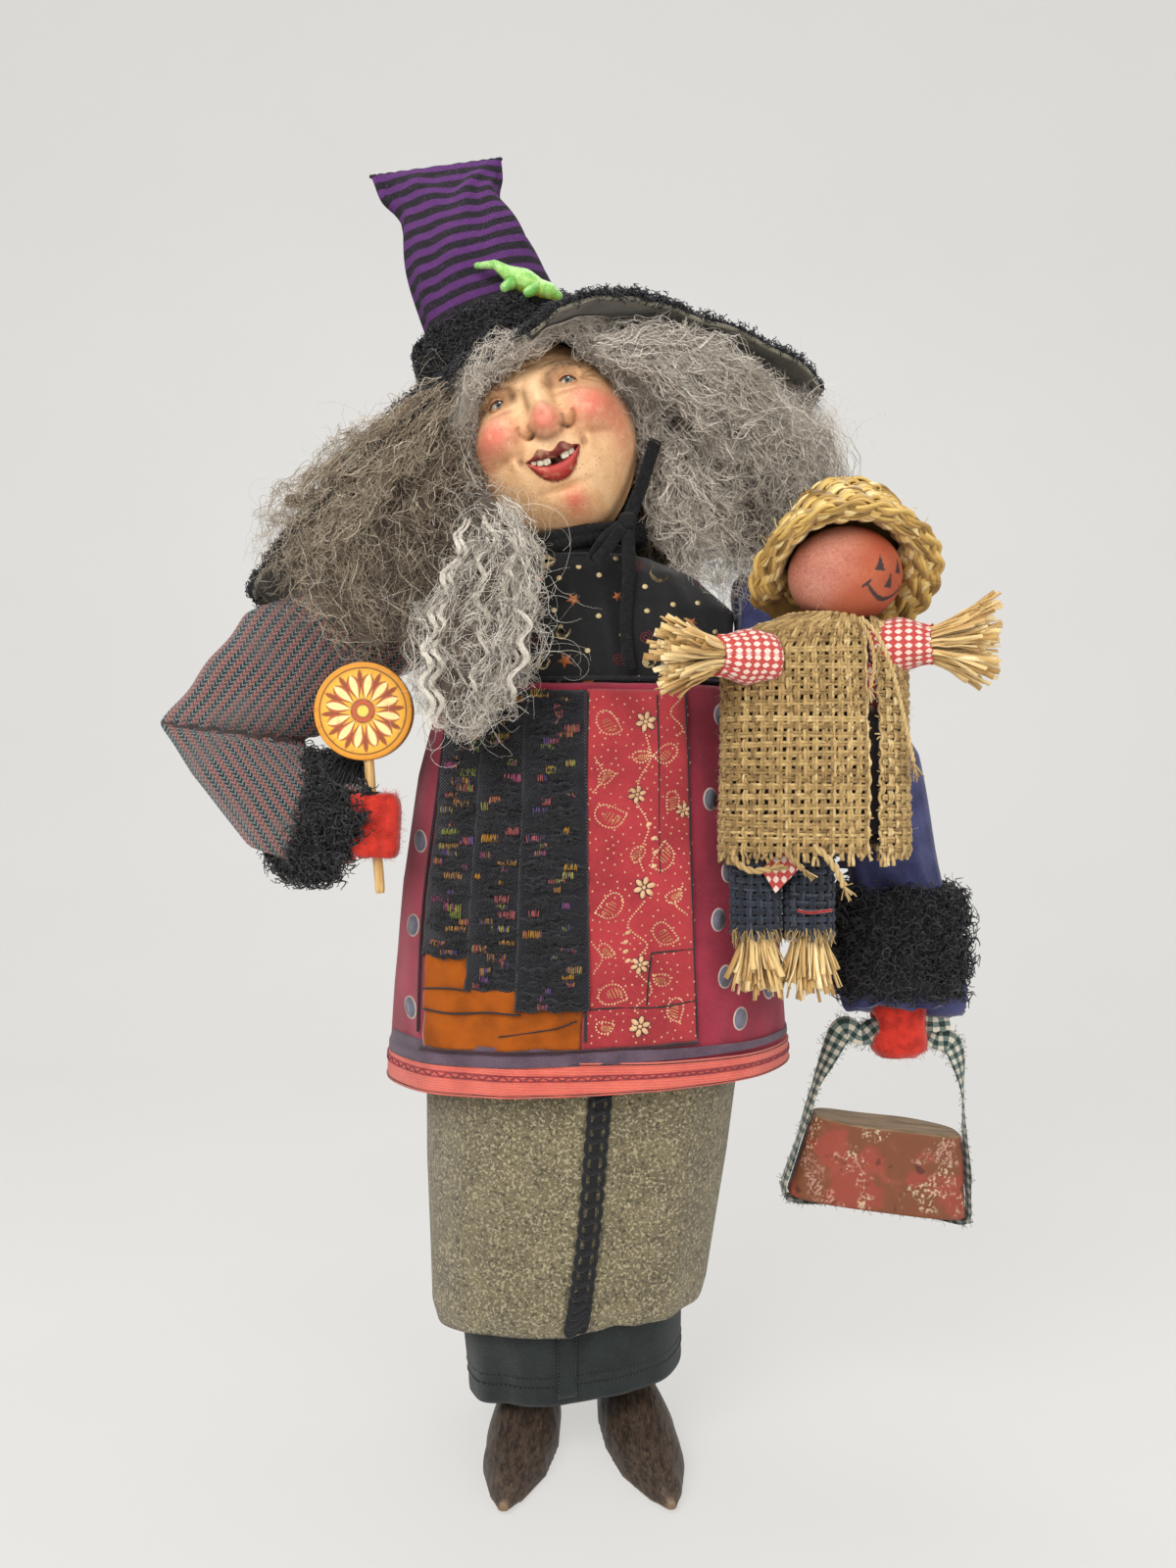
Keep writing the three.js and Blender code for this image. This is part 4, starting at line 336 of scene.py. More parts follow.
class Cloth:
    """Cloth round an upright axis, as rings of points from its foot up. The front is half way round."""

    def __init__(self, rings, foot=0.0, slope=0.0, middle=0.0):
        self.rings, self.foot, self.slope, self.middle = rings, foot, slope, middle
        self.settle()

    def settle(self):
        around = np.roll(self.rings, -1, 1) - np.roll(self.rings, 1, 1)
        self.out = unit(np.cross(around, np.gradient(self.rings, axis=0)))
        columns = self.rings.shape[1]
        half = slice(columns // 4, 3 * columns // 4 + 1)
        share = np.linspace(-1, 1, 181)
        self.mid, self.half, self.map = [], [], []
        for points, out in zip(self.rings[:, half], self.out[:, half]):
            x = np.maximum.accumulate(points[:, 0])
            self.mid.append((x[-1] + x[0]) / 2)
            self.half.append((x[-1] - x[0]) / 2)
            wanted = self.mid[-1] + share * self.half[-1]
            both = np.concatenate([points, out], axis=1)
            self.map.append(np.stack([np.interp(wanted, x, both[:, k]) for k in range(6)], axis=1))
        self.mid, self.half, self.map = np.array(self.mid), np.array(self.half), np.array(self.map)

    def push(self, amount):
        """Moves the cloth out by an amount for each point."""
        self.rings = self.rings + self.out * amount[..., None]
        self.settle()

    def front(self, x, z, lift=0.0):
        """Points on the front of the cloth, seen from the front, and lifted off it."""
        x, z, lift = np.broadcast_arrays(*(np.asarray(v, float) for v in (x, z, lift)))
        rows = len(self.rings)
        top = self.rings[-1, :, 2].mean()
        foot = self.foot + self.slope * (x - self.middle)
        row = np.clip((z - foot) / (top - foot), 0, 1) * (rows - 1)
        low = np.minimum(row.astype(int), rows - 2)
        up = (row - low)[..., None]
        mid = self.mid[low] * (1 - up[..., 0]) + self.mid[low + 1] * up[..., 0]
        half = self.half[low] * (1 - up[..., 0]) + self.half[low + 1] * up[..., 0]
        column = np.clip((x - mid) / half, -1, 1) * 90 + 90
        left = np.minimum(column.astype(int), 179)
        across = (column - left)[..., None]
        lower = self.map[low, left] * (1 - across) + self.map[low, left + 1] * across
        upper = self.map[low + 1, left] * (1 - across) + self.map[low + 1, left + 1] * across
        both = lower * (1 - up) + upper * up
        return both[..., :3] + unit(both[..., 3:]) * lift[..., None]

    def lie(self):
        """Millimetres along the cloth: round it from the front, and up it."""
        rings = self.rings
        step = np.linalg.norm(np.diff(rings, axis=1, prepend=rings[:, -1:]), axis=2)
        round_it = np.cumsum(step, axis=1)
        columns = rings.shape[1]
        round_it = round_it - round_it[:, columns // 2 : columns // 2 + 1]
        return np.stack([round_it, rings[..., 2], 0 * round_it], axis=-1)

    def build(self, name, finish, thickness, replaces):
        points, faces = shell(self.rings, self.out, thickness, True)
        lie = self.lie().reshape(-1, 3)
        return make(name, points, faces, finish, "figure", replaces, lie=np.concatenate([lie, lie]))


def wrap(node, rows, around, slope=0.0):
    """Cloth over a CAD node, found by looking at it from all round. Its facets are rounded off."""
    points, surface = solid(node)
    low, high = points.min(0), points.max(0)
    middle, half = (low + high) / 2, (high - low) / 2
    foot = low[2] + abs(slope) * half[0]
    turn = TAU * np.arange(around) / around + TAU / 4
    radius = np.full((rows, around), np.nan)
    height = np.empty((rows, around))
    for row, share in enumerate(np.linspace(0, 1, rows)):
        for column, angle in enumerate(turn):
            way = np.array([math.cos(angle), math.sin(angle), 0])
            under = foot + slope * half[0] * way[0] + CLOTH_EDGE
            z = under + share * (high[2] - CLOTH_EDGE - under)
            start = np.array([middle[0], middle[1], z]) + 400 * way
            hit = surface.ray_cast(Vector(start), Vector(-way))[0]
            height[row, column] = z
            if hit is not None:
                radius[row, column] = np.linalg.norm(np.array(hit)[:2] - middle[:2])
    for column in range(around):
        known = ~np.isnan(radius[:, column])
        radius[:, column] = np.interp(np.arange(rows), np.flatnonzero(known), radius[known, column])
    reach = np.arange(-12, 13)
    weights = np.exp(-((reach / FACET_BLUR) ** 2) / 2)
    radius = sum(w * np.roll(radius, k, 1) for w, k in zip(weights / weights.sum(), reach))
    rings = np.stack(
        [middle[0] + radius * np.cos(turn), middle[1] + radius * np.sin(turn), height], axis=-1
    )
    return Cloth(rings, foot, slope, middle[0])


# Materials
def rgb(code):
    values = [int(code[k : k + 2], 16) / 255 for k in (1, 3, 5)]
    linear = [v / 12.92 if v <= 0.04045 else ((v + 0.055) / 1.055) ** 2.4 for v in values]
    return (*linear, 1.0)


class Finish:
    """A node material measured in millimetres. Its methods return sockets."""

    def __init__(self, name, **inputs):
        self.material = bpy.data.materials.new(name)
        self.material.use_nodes = True
        self.tree = self.material.node_tree
        self.shader = self.tree.nodes["Principled BSDF"]
        where = self.tree.nodes.new("ShaderNodeTexCoord").outputs["Object"]
        self.place = self.node("ShaderNodeVectorMath", where, operation="SCALE", Scale=1 / MM).outputs[0]
        self.normal = None
        self.set(**{"Roughness": 0.85, "Specular IOR Level": 0.25, **inputs})

    def set(self, **inputs):
        for name, value in inputs.items():
            self.feed(self.shader.inputs[name.replace("_", " ")], value)
        return self

    def feed(self, socket, value):
        if isinstance(value, bpy.types.NodeSocket):
            self.tree.links.new(value, socket)
        else:
            socket.default_value = value

    def node(self, kind, *values, **settings):
        made = self.tree.nodes.new(kind)
        for key, value in settings.items():
            if key[0].islower():
                setattr(made, key, value)
            else:
                self.feed(made.inputs[key], value)
        for socket, value in zip(made.inputs, values):
            if value is not None:
                self.feed(socket, value)
        return made

    def noise(self, size, detail=3.0, stretch=None, seed=0.0, place=None):
        place = place or self.place
        if stretch:
            place = self.node("ShaderNodeVectorMath", place, stretch, operation="MULTIPLY").outputs[0]
        made = self.node("ShaderNodeTexNoise", noise_dimensions="4D", Scale=1 / size, Detail=detail, W=seed)
        self.feed(made.inputs["Vector"], place)
        return made.outputs[0]

    def cells(self, size):
        made = self.node("ShaderNodeTexVoronoi", Scale=1 / size)
        self.feed(made.inputs["Vector"], self.place)
        return made.outputs[0]

    def math(self, operation, first, second=0.0, third=0.0):
        return self.node("ShaderNodeMath", first, second, third, operation=operation).outputs[0]

    def between(self, value, low, high):
        return self.node("ShaderNodeMapRange", value, low, high, interpolation_type="SMOOTHSTEP").outputs[0]

    def mix(self, share, first, second):
        made = self.node("ShaderNodeMix", data_type="RGBA")
        for index, value in ((0, share), (6, first), (7, second)):
            if isinstance(value, str):
                value = rgb(value)
            self.feed(made.inputs[index], value)
        return made.outputs[2]

    def tint(self, tone, colour, share, field, low, high):
        """The tone with up to that share of a colour, as a field runs from low to high."""
        return self.mix(self.math("MULTIPLY", self.between(field, low, high), share), tone, colour)

    def specks(self, tone, colour, share, low, high, *noise, **settings):
        return self.tint(tone, colour, share, self.noise(*noise, **settings), low, high)

    def patches(self, low, high, *noise, **settings):
        return self.between(self.noise(*noise, **settings), low, high)

    def clouds(self, first, second, low, high, *noise):
        return self.mix(self.patches(low, high, *noise), first, second)

    def ramp(self, value, *stops, steps=False):
        made = self.node("ShaderNodeValToRGB", value)
        made.color_ramp.interpolation = "CONSTANT" if steps else "LINEAR"
        elements = made.color_ramp.elements
        while len(elements) < len(stops):
            elements.new(0.5)
        for element, (position, code) in zip(elements, stops):
            element.position = position
            element.color = rgb(code)
        return made.outputs[0]

    def field(self, name):
        return self.node("ShaderNodeAttribute", attribute_name=name).outputs["Fac"]

    def vector(self, name):
        return self.node("ShaderNodeAttribute", attribute_name=name).outputs["Vector"]

    def parts(self, vector=None):
        return self.node("ShaderNodeSeparateXYZ", vector or self.place).outputs

    def off_middle(self, value, pitch):
        """How far a value is from the middle of its stripe, in pitches."""
        share = self.math("FRACT", self.math("DIVIDE", value, pitch))
        return self.math("ABSOLUTE", self.math("ADD", share, -0.5))

    def sine(self, value, pitch, shift=0.0):
        return self.math("SINE", self.math("MULTIPLY_ADD", value, TAU / pitch, shift))

    def colour(self, value):
        self.feed(self.shader.inputs["Base Color"], rgb(value) if isinstance(value, str) else value)
        return self

    def bump(self, height, depth):
        made = self.node("ShaderNodeBump", Strength=1.0, Distance=depth * MM, Height=height)
        if self.normal:
            self.feed(made.inputs["Normal"], self.normal)
        self.normal = made.outputs[0]
        self.feed(self.shader.inputs["Normal"], self.normal)
        return self


def woven(name, base, light, dark, pitch=0.9, depth=0.2, patch=14.0, lie="lie", sheen=0.2, fleck=0.5):
    """Plain woven cloth: threads over and under with painted shade where they dip, uneven dye, loose
    fibres.
    """
    made = Finish(name, Sheen_Weight=sheen, Sheen_Roughness=0.5)
    if lie == "lie":
        across, along, _ = made.parts(made.vector("lie"))
    else:
        x, y, along = made.parts()
        across = made.math("MULTIPLY_ADD", y, 0.6, x)
    weave = made.math("MULTIPLY", made.sine(across, 2 * pitch), made.sine(along, 2 * pitch))
    thread = made.noise(pitch * 1.2, 2, seed=3.0)
    tone = made.clouds(base, dark, 0.35, 0.7, patch, 4)
    tone = made.tint(tone, light, fleck, thread, 0.5, 0.75)
    # Painted shade where the threads dip under
    tone = made.tint(tone, dark, 0.45, weave, 0.2, -0.9)
    made.colour(tone)
    made.bump(weave, depth).bump(made.noise(3.5, 4), 0.25)
    return made


def napped(name, base, light, dark, patch=8.0, fibre=0.5, depth=0.3, sheen=0.8):
    """Felt and velvet: a soft nap that is brushed lighter and darker."""
    made = Finish(name, Roughness=0.95, Sheen_Weight=sheen, Sheen_Roughness=0.35)
    tone = made.clouds(base, dark, 0.38, 0.66, patch, 5)
    tone = made.specks(tone, light, 0.55, 0.52, 0.75, fibre, 3)
    made.colour(tone)
    made.bump(made.noise(fibre * 1.4, 4), depth).bump(made.noise(5.0, 3), 0.3)
    return made


def fibre(name, *stops, rough=0.55, sheen=0.15):
    """Yarn, hair and straw, each strand with a shade of its own."""
    made = Finish(name, Roughness=rough, Sheen_Weight=sheen)
    shade = made.math("MULTIPLY_ADD", made.noise(6.0, 2), 0.3, made.math("ADD", made.field("shade"), -0.15))
    made.colour(made.ramp(shade, *stops))
    made.bump(made.noise(0.5, 2), 0.05)
    return made


def painted(name, roughness=0.6, depth=0.12, grain=1.2, **inputs):
    """A surface whose colours are in its points, with a fine grain."""
    made = Finish(name, Roughness=roughness, **inputs)
    tint = made.vector("tint")
    made.colour(made.specks(tint, "#201812", 0.3, 0.5, 0.8, grain, 3))
    made.bump(made.noise(grain * 0.6, 3), depth)
    return made


def wood(name, base, light, dark, roughness=0.55, along=(1, 1, 0.12), wear=None, size=2.2):
    made = Finish(name, Roughness=roughness)
    grain = made.noise(size, 4, stretch=along)
    tone = made.mix(made.between(grain, 0.36, 0.66), base, dark)
    tone = made.specks(tone, light, 0.5, 0.5, 0.75, 0.8, 3, stretch=along)
    if wear:
        edge = made.node("ShaderNodeNewGeometry").outputs["Pointiness"]
        tone = made.tint(tone, wear, 0.8, edge, 0.51, 0.56)
    made.colour(tone)
    made.bump(grain, 0.25).bump(made.noise(7.0, 2), 0.4)
    return made


def two_tone(name, first, second, size, detail=2, **inputs):
    """A finish that wanders between two colours."""
    made = Finish(name, **inputs)
    return made.colour(made.mix(made.noise(size, detail), first, second))


def painted_rgb(code):
    return np.array(rgb(code)[:3])


# Shoulders, elbow and hands, and the lollipop's disc with the room that it slides in
RIGHT_SHOULDER = np.array([-71.8, 0.0, 388.0])
LEFT_SHOULDER = np.array([71.8, 0.0, 388.0])
ELBOW = RIGHT_SHOULDER + (-97, -4, -56)
RIGHT_HAND = RIGHT_SHOULDER + (-22, -50, -99)
LEFT_WRIST = LEFT_SHOULDER + (72, -22, -184)
GRIP = LEFT_SHOULDER + (72, -22, -192)
LOLLIPOP_WAY = np.array([math.sin(math.radians(-5)), 0.0, math.cos(math.radians(-5))])
DISC_RADIUS, DISC_HALF, DISC_OFF, DISC_ROOM = 21.5, 3.5, 50.0, 2.5
LOLLIPOP_DOWN, LOLLIPOP_UP, SHOULDER_SWING = 12.0, 14.0, math.radians(-15)


# Body and clothes
BLACK_YARN = fibre("black_yarn", (0.0, "#08080a"), (0.6, "#17171b"), (1.0, "#2c2c33"), rough=0.7)
THREAD_DARK = woven("dark_thread", "#1b1416", "#3a2c2e", "#0c0809", pitch=0.4, lie="place")


def on_front(cloth, outline, lift=0.25, depth=0.6):
    """A thin closed patch on the front of a cloth, from its outline (x, z) seen from the front."""
    outline = np.asarray(outline, float)
    count = len(outline)
    top = cloth.front(outline[:, 0], outline[:, 1], lift)
    under = cloth.front(outline[:, 0], outline[:, 1], lift - depth)
    index = np.arange(count)
    after = (index + 1) % count
    walls = np.stack([index, index + count, after + count, after], axis=1)
    return np.concatenate([top, under]), [index[None], (index[::-1] + count)[None], walls]


def rotated(x, z, across, up, turn):
    cos, sin = math.cos(turn), math.sin(turn)
    return np.stack([x + across * cos - up * sin, z + across * sin + up * cos], axis=1)


def disc(x, z, radius, sides=10, squeeze=1.0, turn=0.0):
    angle = TAU * np.arange(sides) / sides
    return rotated(x, z, radius * np.cos(angle), radius * squeeze * np.sin(angle), turn)


def star(x, z, radius, turn):
    points, waist = 5, 0.45
    angle = TAU * np.arange(2 * points) / (2 * points) + turn
    reach = np.where(np.arange(2 * points) % 2, waist * radius, radius)
    return np.stack([x + reach * np.sin(angle), z + reach * np.cos(angle)], axis=1)


def crescent(x, z, radius, turn):
    outer = np.linspace(-2.2, 2.2, 13)
    inner = np.linspace(1.9, -1.9, 9)
    across = np.concatenate([np.cos(outer), 0.42 + 0.8 * np.cos(inner)]) * radius
    up = np.concatenate([np.sin(outer), 0.86 * np.sin(inner)]) * radius
    return rotated(x, z, across, up, turn)


def line_on(cloth, line, radius, lift=0.0, sides=5, steps=None):
    """A cord laid on the front of a cloth along a line of (x, z)."""
    line = spline(line, steps or 12 * len(line))
    return tubes(cloth.front(line[:, 0], line[:, 1], lift)[None], radius, sides)


def apart(count, low, high, gap, seed):
    """Random places in a rectangle that stay a gap apart."""
    wild = np.random.default_rng(seed)
    found = []
    for x, z in wild.uniform(low, high, (40 * count, 2)):
        if len(found) < count and all(math.hypot(x - a, z - b) > gap for a, b in found):
            found.append((x, z))
    return found


def panel(cloth, left, right, low, high, lift, thickness, rows, columns, swell=None):
    """A sewn-on panel. left and right are x at its foot and top, low and high are functions of x."""
    up = np.linspace(0, 1, rows)[:, None]
    across = np.linspace(0, 1, columns)[None]
    start = left[0] + (left[1] - left[0]) * up
    x = start + across * (right[0] + (right[1] - right[0]) * up - start)
    z = low(x) + (high(x) - low(x)) * up
    rise = lift + (swell(x, z) if swell else 0)
    edge = np.minimum(np.minimum(across, 1 - across) * columns, np.minimum(up, 1 - up) * rows)
    rise = rise - 0.6 * np.clip(1 - edge, 0, 1) ** 2
    grid = cloth.front(x, z, rise)
    out = unit(np.cross(np.gradient(grid, axis=1), np.gradient(grid, axis=0)))
    points, faces = shell(grid, out, thickness, False)
    lie = np.stack([x, z, 0 * x], axis=-1).reshape(-1, 3)
    return points, faces, np.concatenate([lie, lie])


def add_blouse():
    cloth = wrap("blouse", 60, 240)
    share = np.linspace(0, 1, 60)[:, None]
    loose = np.sin(np.clip(share, 0, 1) * math.pi) ** 0.7
    cloth.push(loose * (0.6 + ripple((60, 240), ((9, 1.0, 0.8), (22, 1.5, 0.4)), 4)))
    night = woven("night_print", "#0b0a0c", "#1d1a1f", "#050506", pitch=0.45, depth=0.12, fleck=0.3)
    blouse = cloth.build("blouse_cloth", night, 1.0, replaces=["blouse"])
    # The neckband that stands up inside the collar
    rise = np.array([402.0, 408.0, 411.0, 416.0, 418.5])
    middle = np.stack([np.full(5, -4.0), np.full(5, -8.0), rise], axis=1)
    points, faces = tubes(middle[None], np.array([30.0, 29.5, 27.5, 26.5, 22.0]), 64, 0.87, (0.0, 1.0, 0.0))
    make(
        "blouse_neckband", points, faces, BLACK_YARN, "figure", slot="night_print",
        shade=np.full(len(points), 0.15)
    )
    orange, cream, red = Pile(), Pile(), Pile()
    wild = np.random.default_rng(7)
    spots = apart(90, (-66, 346), (66, 410), 9.6, 12)
    for index, (x, z) in enumerate(spots):
        kind = index % 5
        size = wild.uniform(2.2, 4.0)
        if kind == 0:
            orange.add(*on_front(cloth, star(x, z, size, wild.uniform(0, 1.2)), 0.15, 0.5))
        elif kind in (1, 3):
            cream.add(*on_front(cloth, disc(x, z, 1.3, 9, 0.9), 0.15, 0.5))
        elif kind == 2:
            cream.add(*on_front(cloth, crescent(x, z, 1.25 * size, wild.uniform(-2.6, -0.6)), 0.15, 0.5))
        else:
            angle = np.linspace(0, 2.2 * TAU, 34)
            curl = np.stack(
                [x + (0.4 + 0.2 * angle) * np.cos(angle), z + (0.4 + 0.2 * angle) * np.sin(angle)], axis=1
            )
            red.add(*line_on(cloth, curl, 0.28, 0.0, 4, 48))
    ink = {"pitch": 0.45, "depth": 0.1, "lie": "place"}
    orange.build(
        "blouse_stars", woven("star_print", "#b9672d", "#d99655", "#8a431b", **ink), slot="night_print"
    )
    cream.build(
        "blouse_moons", woven("moon_print", "#dcc896", "#efe2bd", "#b89c66", **ink), slot="night_print"
    )
    red.build(
        "blouse_swirls", woven("swirl_print", "#6d1c26", "#8c2d36", "#4a1018", **ink), slot="night_print"
    )
    cord = solid("neckline_cord")[0]
    low, high = cord.min(0), cord.max(0)
    turn = np.linspace(0, TAU, 400)
    middle, half = (low + high) / 2, (high - low) / 2
    strands = []
    for phase in (0, TAU / 3, 2 * TAU / 3):
        twist = 110 * turn + phase
        reach = 1 - 0.5 / half[0] + 0.55 * np.cos(twist) / half[0]
        ring = [middle[0] + half[0] * reach * np.cos(turn), middle[1] + half[1] * reach * np.sin(turn)]
        strands.append(np.stack([*ring, middle[2] + 0.55 * np.sin(twist)], axis=1))
    points, faces = tubes(np.array(strands), 0.6, 5)
    make(
        "neckline_cord_twist", points, faces, BLACK_YARN, "figure", ["neckline_cord"],
        shade=np.full(len(points), 0.5)
    )
    body = softened(
        "muslin_body", ["stuffed_body"], 4.0, 6,
        woven("muslin", "#c9bda0", "#ded4bb", "#a89a7a", lie="place"), "figure", swell=-0.6
    )


def add_vest():
    cloth = wrap("vest", 90, 320, slope=0.04)
    share = np.linspace(0, 1, 90)[:, None]
    turn = TAU * np.arange(320) / 320
    sides = np.abs(np.sin(turn))[None] ** 2
    hang = (1 - share) ** 1.3
    cloth.push(
        0.4 * ripple((90, 320), ((14, 1.0, 1.0), (30, 2.0, 0.5)), 6)
        + hang * sides * ripple((90, 320), ((7, 0.4, 1.6),), 9)
        + 0.5 * ease(share, 0.96, 1.0)
    )
    raspberry = woven(
        "raspberry_cloth", "#9c2a40", "#b84a5c", "#7c1c30", pitch=0.5, depth=0.14, patch=22, fleck=0.4
    )
    vest = cloth.build("vest_cloth", raspberry, 1.4, replaces=["vest"])

    # Oval spots down both side panels
    pale, dark = Pile(), Pile()
    spots = [
        (60, 338), (69, 318), (54, 300), (71, 289), (62, 268), (78, 262), (57, 247), (74, 236), (60, 222)
    ]
    spots += [(82, 214), (67, 203), (-76, 281), (-79, 243), (-80, 206)]
    for index, (x, z) in enumerate(spots):
        turn_by = 0.25 * math.sin(3.1 * index)
        pale.add(*on_front(cloth, disc(x, z, 3.4, 18, 1.55, turn_by), 0.12, 0.5))
        dark.add(*on_front(cloth, disc(x, z, 2.8, 18, 1.6, turn_by), 0.26, 0.5))
    ink = {"pitch": 0.5, "depth": 0.1, "lie": "place"}
    pale.build(
        "vest_spot_edges", woven("spot_edge_print", "#cdb9ae", "#e3d6cb", "#a48f8a", **ink),
        slot="raspberry_cloth"
    )
    dark.build(
        "vest_spots", woven("spot_print", "#6f6f7d", "#8f8f9c", "#55555f", **ink), slot="raspberry_cloth"
    )
    return cloth


def panel_foot(x):
    return 193.5 + 0.04 * x


def add_boucle(cloth):
    """Three pleats of boucle, each lower than the one before, with ridges of yarn and slubs of colour."""
    base = woven(
        "boucle_ground", "#12121a", "#242039", "#07070a", pitch=0.7, depth=0.35, patch=5, fleck=0.7
    )
    colours = ("#7d8440", "#a5772f", "#9c5554", "#5e4a78", "#8f8a4a", "#8e4a68", "#ab7a48")
    pleats = (
        ((-73.5, -62), (-51, -43), 40, 1.6), ((-53, -45), (-29, -25), 26, 2.3),
        ((-31, -27), (0.4, -1), 17, 3.0)
    )
    wild = np.random.default_rng(31)
    ground, yarn, ticks, fuzz = Pile(), Pile(), Pile(), []
    for left, right, step, lift in pleats:
        low = lambda x, step=step: panel_foot(x) + step + 0.5 * np.sin(x * 0.6)
        high = lambda x: 348.0 + 0 * x
        swell = lambda x, z: (
            0.35 * np.sin(z * 0.55 + 0.3 * np.sin(x * 0.2)) + 0.3 * np.sin(x * 0.31 + z * 0.09)
        )
        points, faces, lie = panel(cloth, left, right, low, high, lift, 1.8, 90, 30, swell)
        ground.add(points, faces, lie=lie)
        z = panel_foot((left[0] + right[0]) / 2) + step + 1.2
        while z < 347:
            up = (z - 210) / 140
            start = left[0] + (left[1] - left[0]) * up + 0.6
            end = right[0] + (right[1] - right[0]) * up - 0.4
            for _ in range(3):
                span = wild.uniform(0.25, 0.75) * (end - start)
                first = wild.uniform(start, end - span)
                x = np.linspace(first, first + span, 22)
                wave = (
                    z + wild.uniform(-1.2, 1.2)
                    + 0.6 * np.sin(x * wild.uniform(0.4, 1.1) + wild.uniform(0, 6))
                )
                wave += 0.03 * (x - start)
                thick = wild.uniform(0.55, 1.15) * (0.45 + np.sin(np.linspace(0.15, math.pi - 0.15, 22)))
                thick *= 1 + 0.35 * np.sin(np.arange(22) * wild.uniform(0.8, 2.4))
                points, faces = tubes(cloth.front(x, wave, lift + 0.35)[None], 0.72 * thick, 5)
                yarn.add(points, faces, shade=np.full(len(points), wild.uniform(0.1, 0.75)))
                fuzz.append(np.stack([x, wave, np.full(22, lift + 0.6)], axis=1)[wild.integers(0, 22, 9)])
            if wild.random() < 0.8:
                many = wild.integers(4, 13)
                first = wild.uniform(start + 1, max(start + 2, end - 0.8 * many))
                code = rgb(colours[wild.integers(len(colours))])[:3]
                other = rgb(colours[wild.integers(len(colours))])[:3]
                tall = wild.uniform(0.9, 1.8)
                for k in range(many):
                    x = first + 0.72 * k
                    if x > end - 0.6:
                        break
                    up_to = z + 0.9 + np.linspace(-tall, tall, 5) + wild.uniform(-0.3, 0.3)
                    rise = lift + 0.55 + 0.45 * np.sin(np.linspace(0, math.pi, 5))
                    bar = cloth.front(x + 0.1 * np.arange(5) * wild.uniform(-1, 1), up_to, rise)
                    points, faces = tubes(bar[None], 0.27, 4)
                    tint = np.array(code if wild.random() < 0.6 else other) * wild.uniform(0.7, 1.15)
                    ticks.add(points, faces, tint=tint)
            z += wild.uniform(2.6, 3.8)
    panel_base = ground.build("boucle_ground", base, replaces=["boucle_panel"])
    yarn.build("boucle_ridges", BLACK_YARN, slot="boucle")
    ticks.build("boucle_slubs", painted("slub_yarn", 0.8, 0.05), slot="boucle")
    spots = np.concatenate(fuzz)[::2]
    root = cloth.front(spots[:, 0], spots[:, 1], spots[:, 2])
    make_curls(
        "boucle_fuzz", root, np.tile([0, -1.0, 0.2], (len(root), 1)), 3.2, 0.9, 0.12, BLACK_YARN, "figure",
        5, slot="boucle", steps=9
    )


def make_curls(
    name, root, out, length, curl, radius, finish, body, seed, slot=None, steps=11, lay=0.8, hold=None
):
    """Short curled fibres that stand out from their roots."""
    turns = 1.6
    wild = np.random.default_rng(seed)
    count = len(root)
    way = unit(out + lay * wild.normal(size=(count, 3)))
    side = unit(np.cross(way, wild.normal(size=(count, 3))))
    other = np.cross(way, side)
    t = np.linspace(0, 1, steps)[None, :, None]
    long = length * wild.uniform(0.6, 1.25, (count, 1, 1))
    angle = TAU * (turns * wild.uniform(0.6, 1.4, (count, 1, 1)) * t + wild.random((count, 1, 1)))
    wide = curl * wild.uniform(0.6, 1.3, (count, 1, 1)) * np.minimum(1, 3 * t + 0.1)
    ring = wide * (np.cos(angle) * side[:, None] + np.sin(angle) * other[:, None])
    start = wide[:, :1] * (np.cos(angle[:, :1]) * side[:, None] + np.sin(angle[:, :1]) * other[:, None])
    paths = root[:, None] + long * t * way[:, None] + ring - start
    paths = paths if hold is None else hold(paths)
    taper = radius * (1 - 0.6 * t[..., 0] ** 2)
    return make_strands(name, paths, taper, wild.random(count), finish, body, slot)


def add_ochre(cloth):
    velvet = napped(
        "ochre_velvet", "#9a4c0a", "#ab5c14", "#7c3b05", patch=16, fibre=0.35, depth=0.1, sheen=0.35
    )
    pile = Pile()
    bands = ((0.0, 17.6, (-72.5, -72.5), (-3.4, -2.0), 0.9), (16.0, 27.5, (-72.5, -72), (-29, -29), 1.25))
    bands += ((25.6, 43.0, (-72.3, -71), (-50.5, -50), 1.05),)
    for low, high, left, right, lift in bands:
        below = lambda x, low=low: panel_foot(x) + low + 0.35 * np.sin(0.23 * x)
        above = lambda x, high=high: panel_foot(x) + high
        swell = lambda x, z: 0.35 * np.sin(0.11 * x + 0.4 * z) + 0.2 * np.sin(0.31 * x - 0.2 * z)
        points, faces, lie = panel(cloth, left, right, below, above, lift, 1.4, 20, 60, swell)
        pile.add(points, faces, lie=lie)
    ochre = pile.build("ochre_velvet_tucks", velvet, replaces=["ochre_panel"])
    # Dark cords along the tucks' edges and along a crease in the velvet: painted shade in the folds
    lines = Pile()
    for low, start, end in ((16.4, -72, -28), (26.2, -72, -50), (41.5, -72, -50.5)):
        x = np.linspace(start, end, 40)
        lift = 2.0 + 0.35 * np.sin(0.11 * x)
        wavy = panel_foot(x) + low + 0.5 * np.sin(0.2 * x + low)
        lines.add(*tubes(cloth.front(x, wavy, lift)[None], 0.45, 5))
    crease = np.array([(-38, 6.5), (-26, 8), (-14, 9.5), (-4.5, 12.5)])
    crease[:, 1] += panel_foot(crease[:, 0])
    lines.add(*line_on(cloth, crease, 0.32, 1.3))
    lines.build("ochre_crease_shade", THREAD_DARK, slot="ochre_velvet")


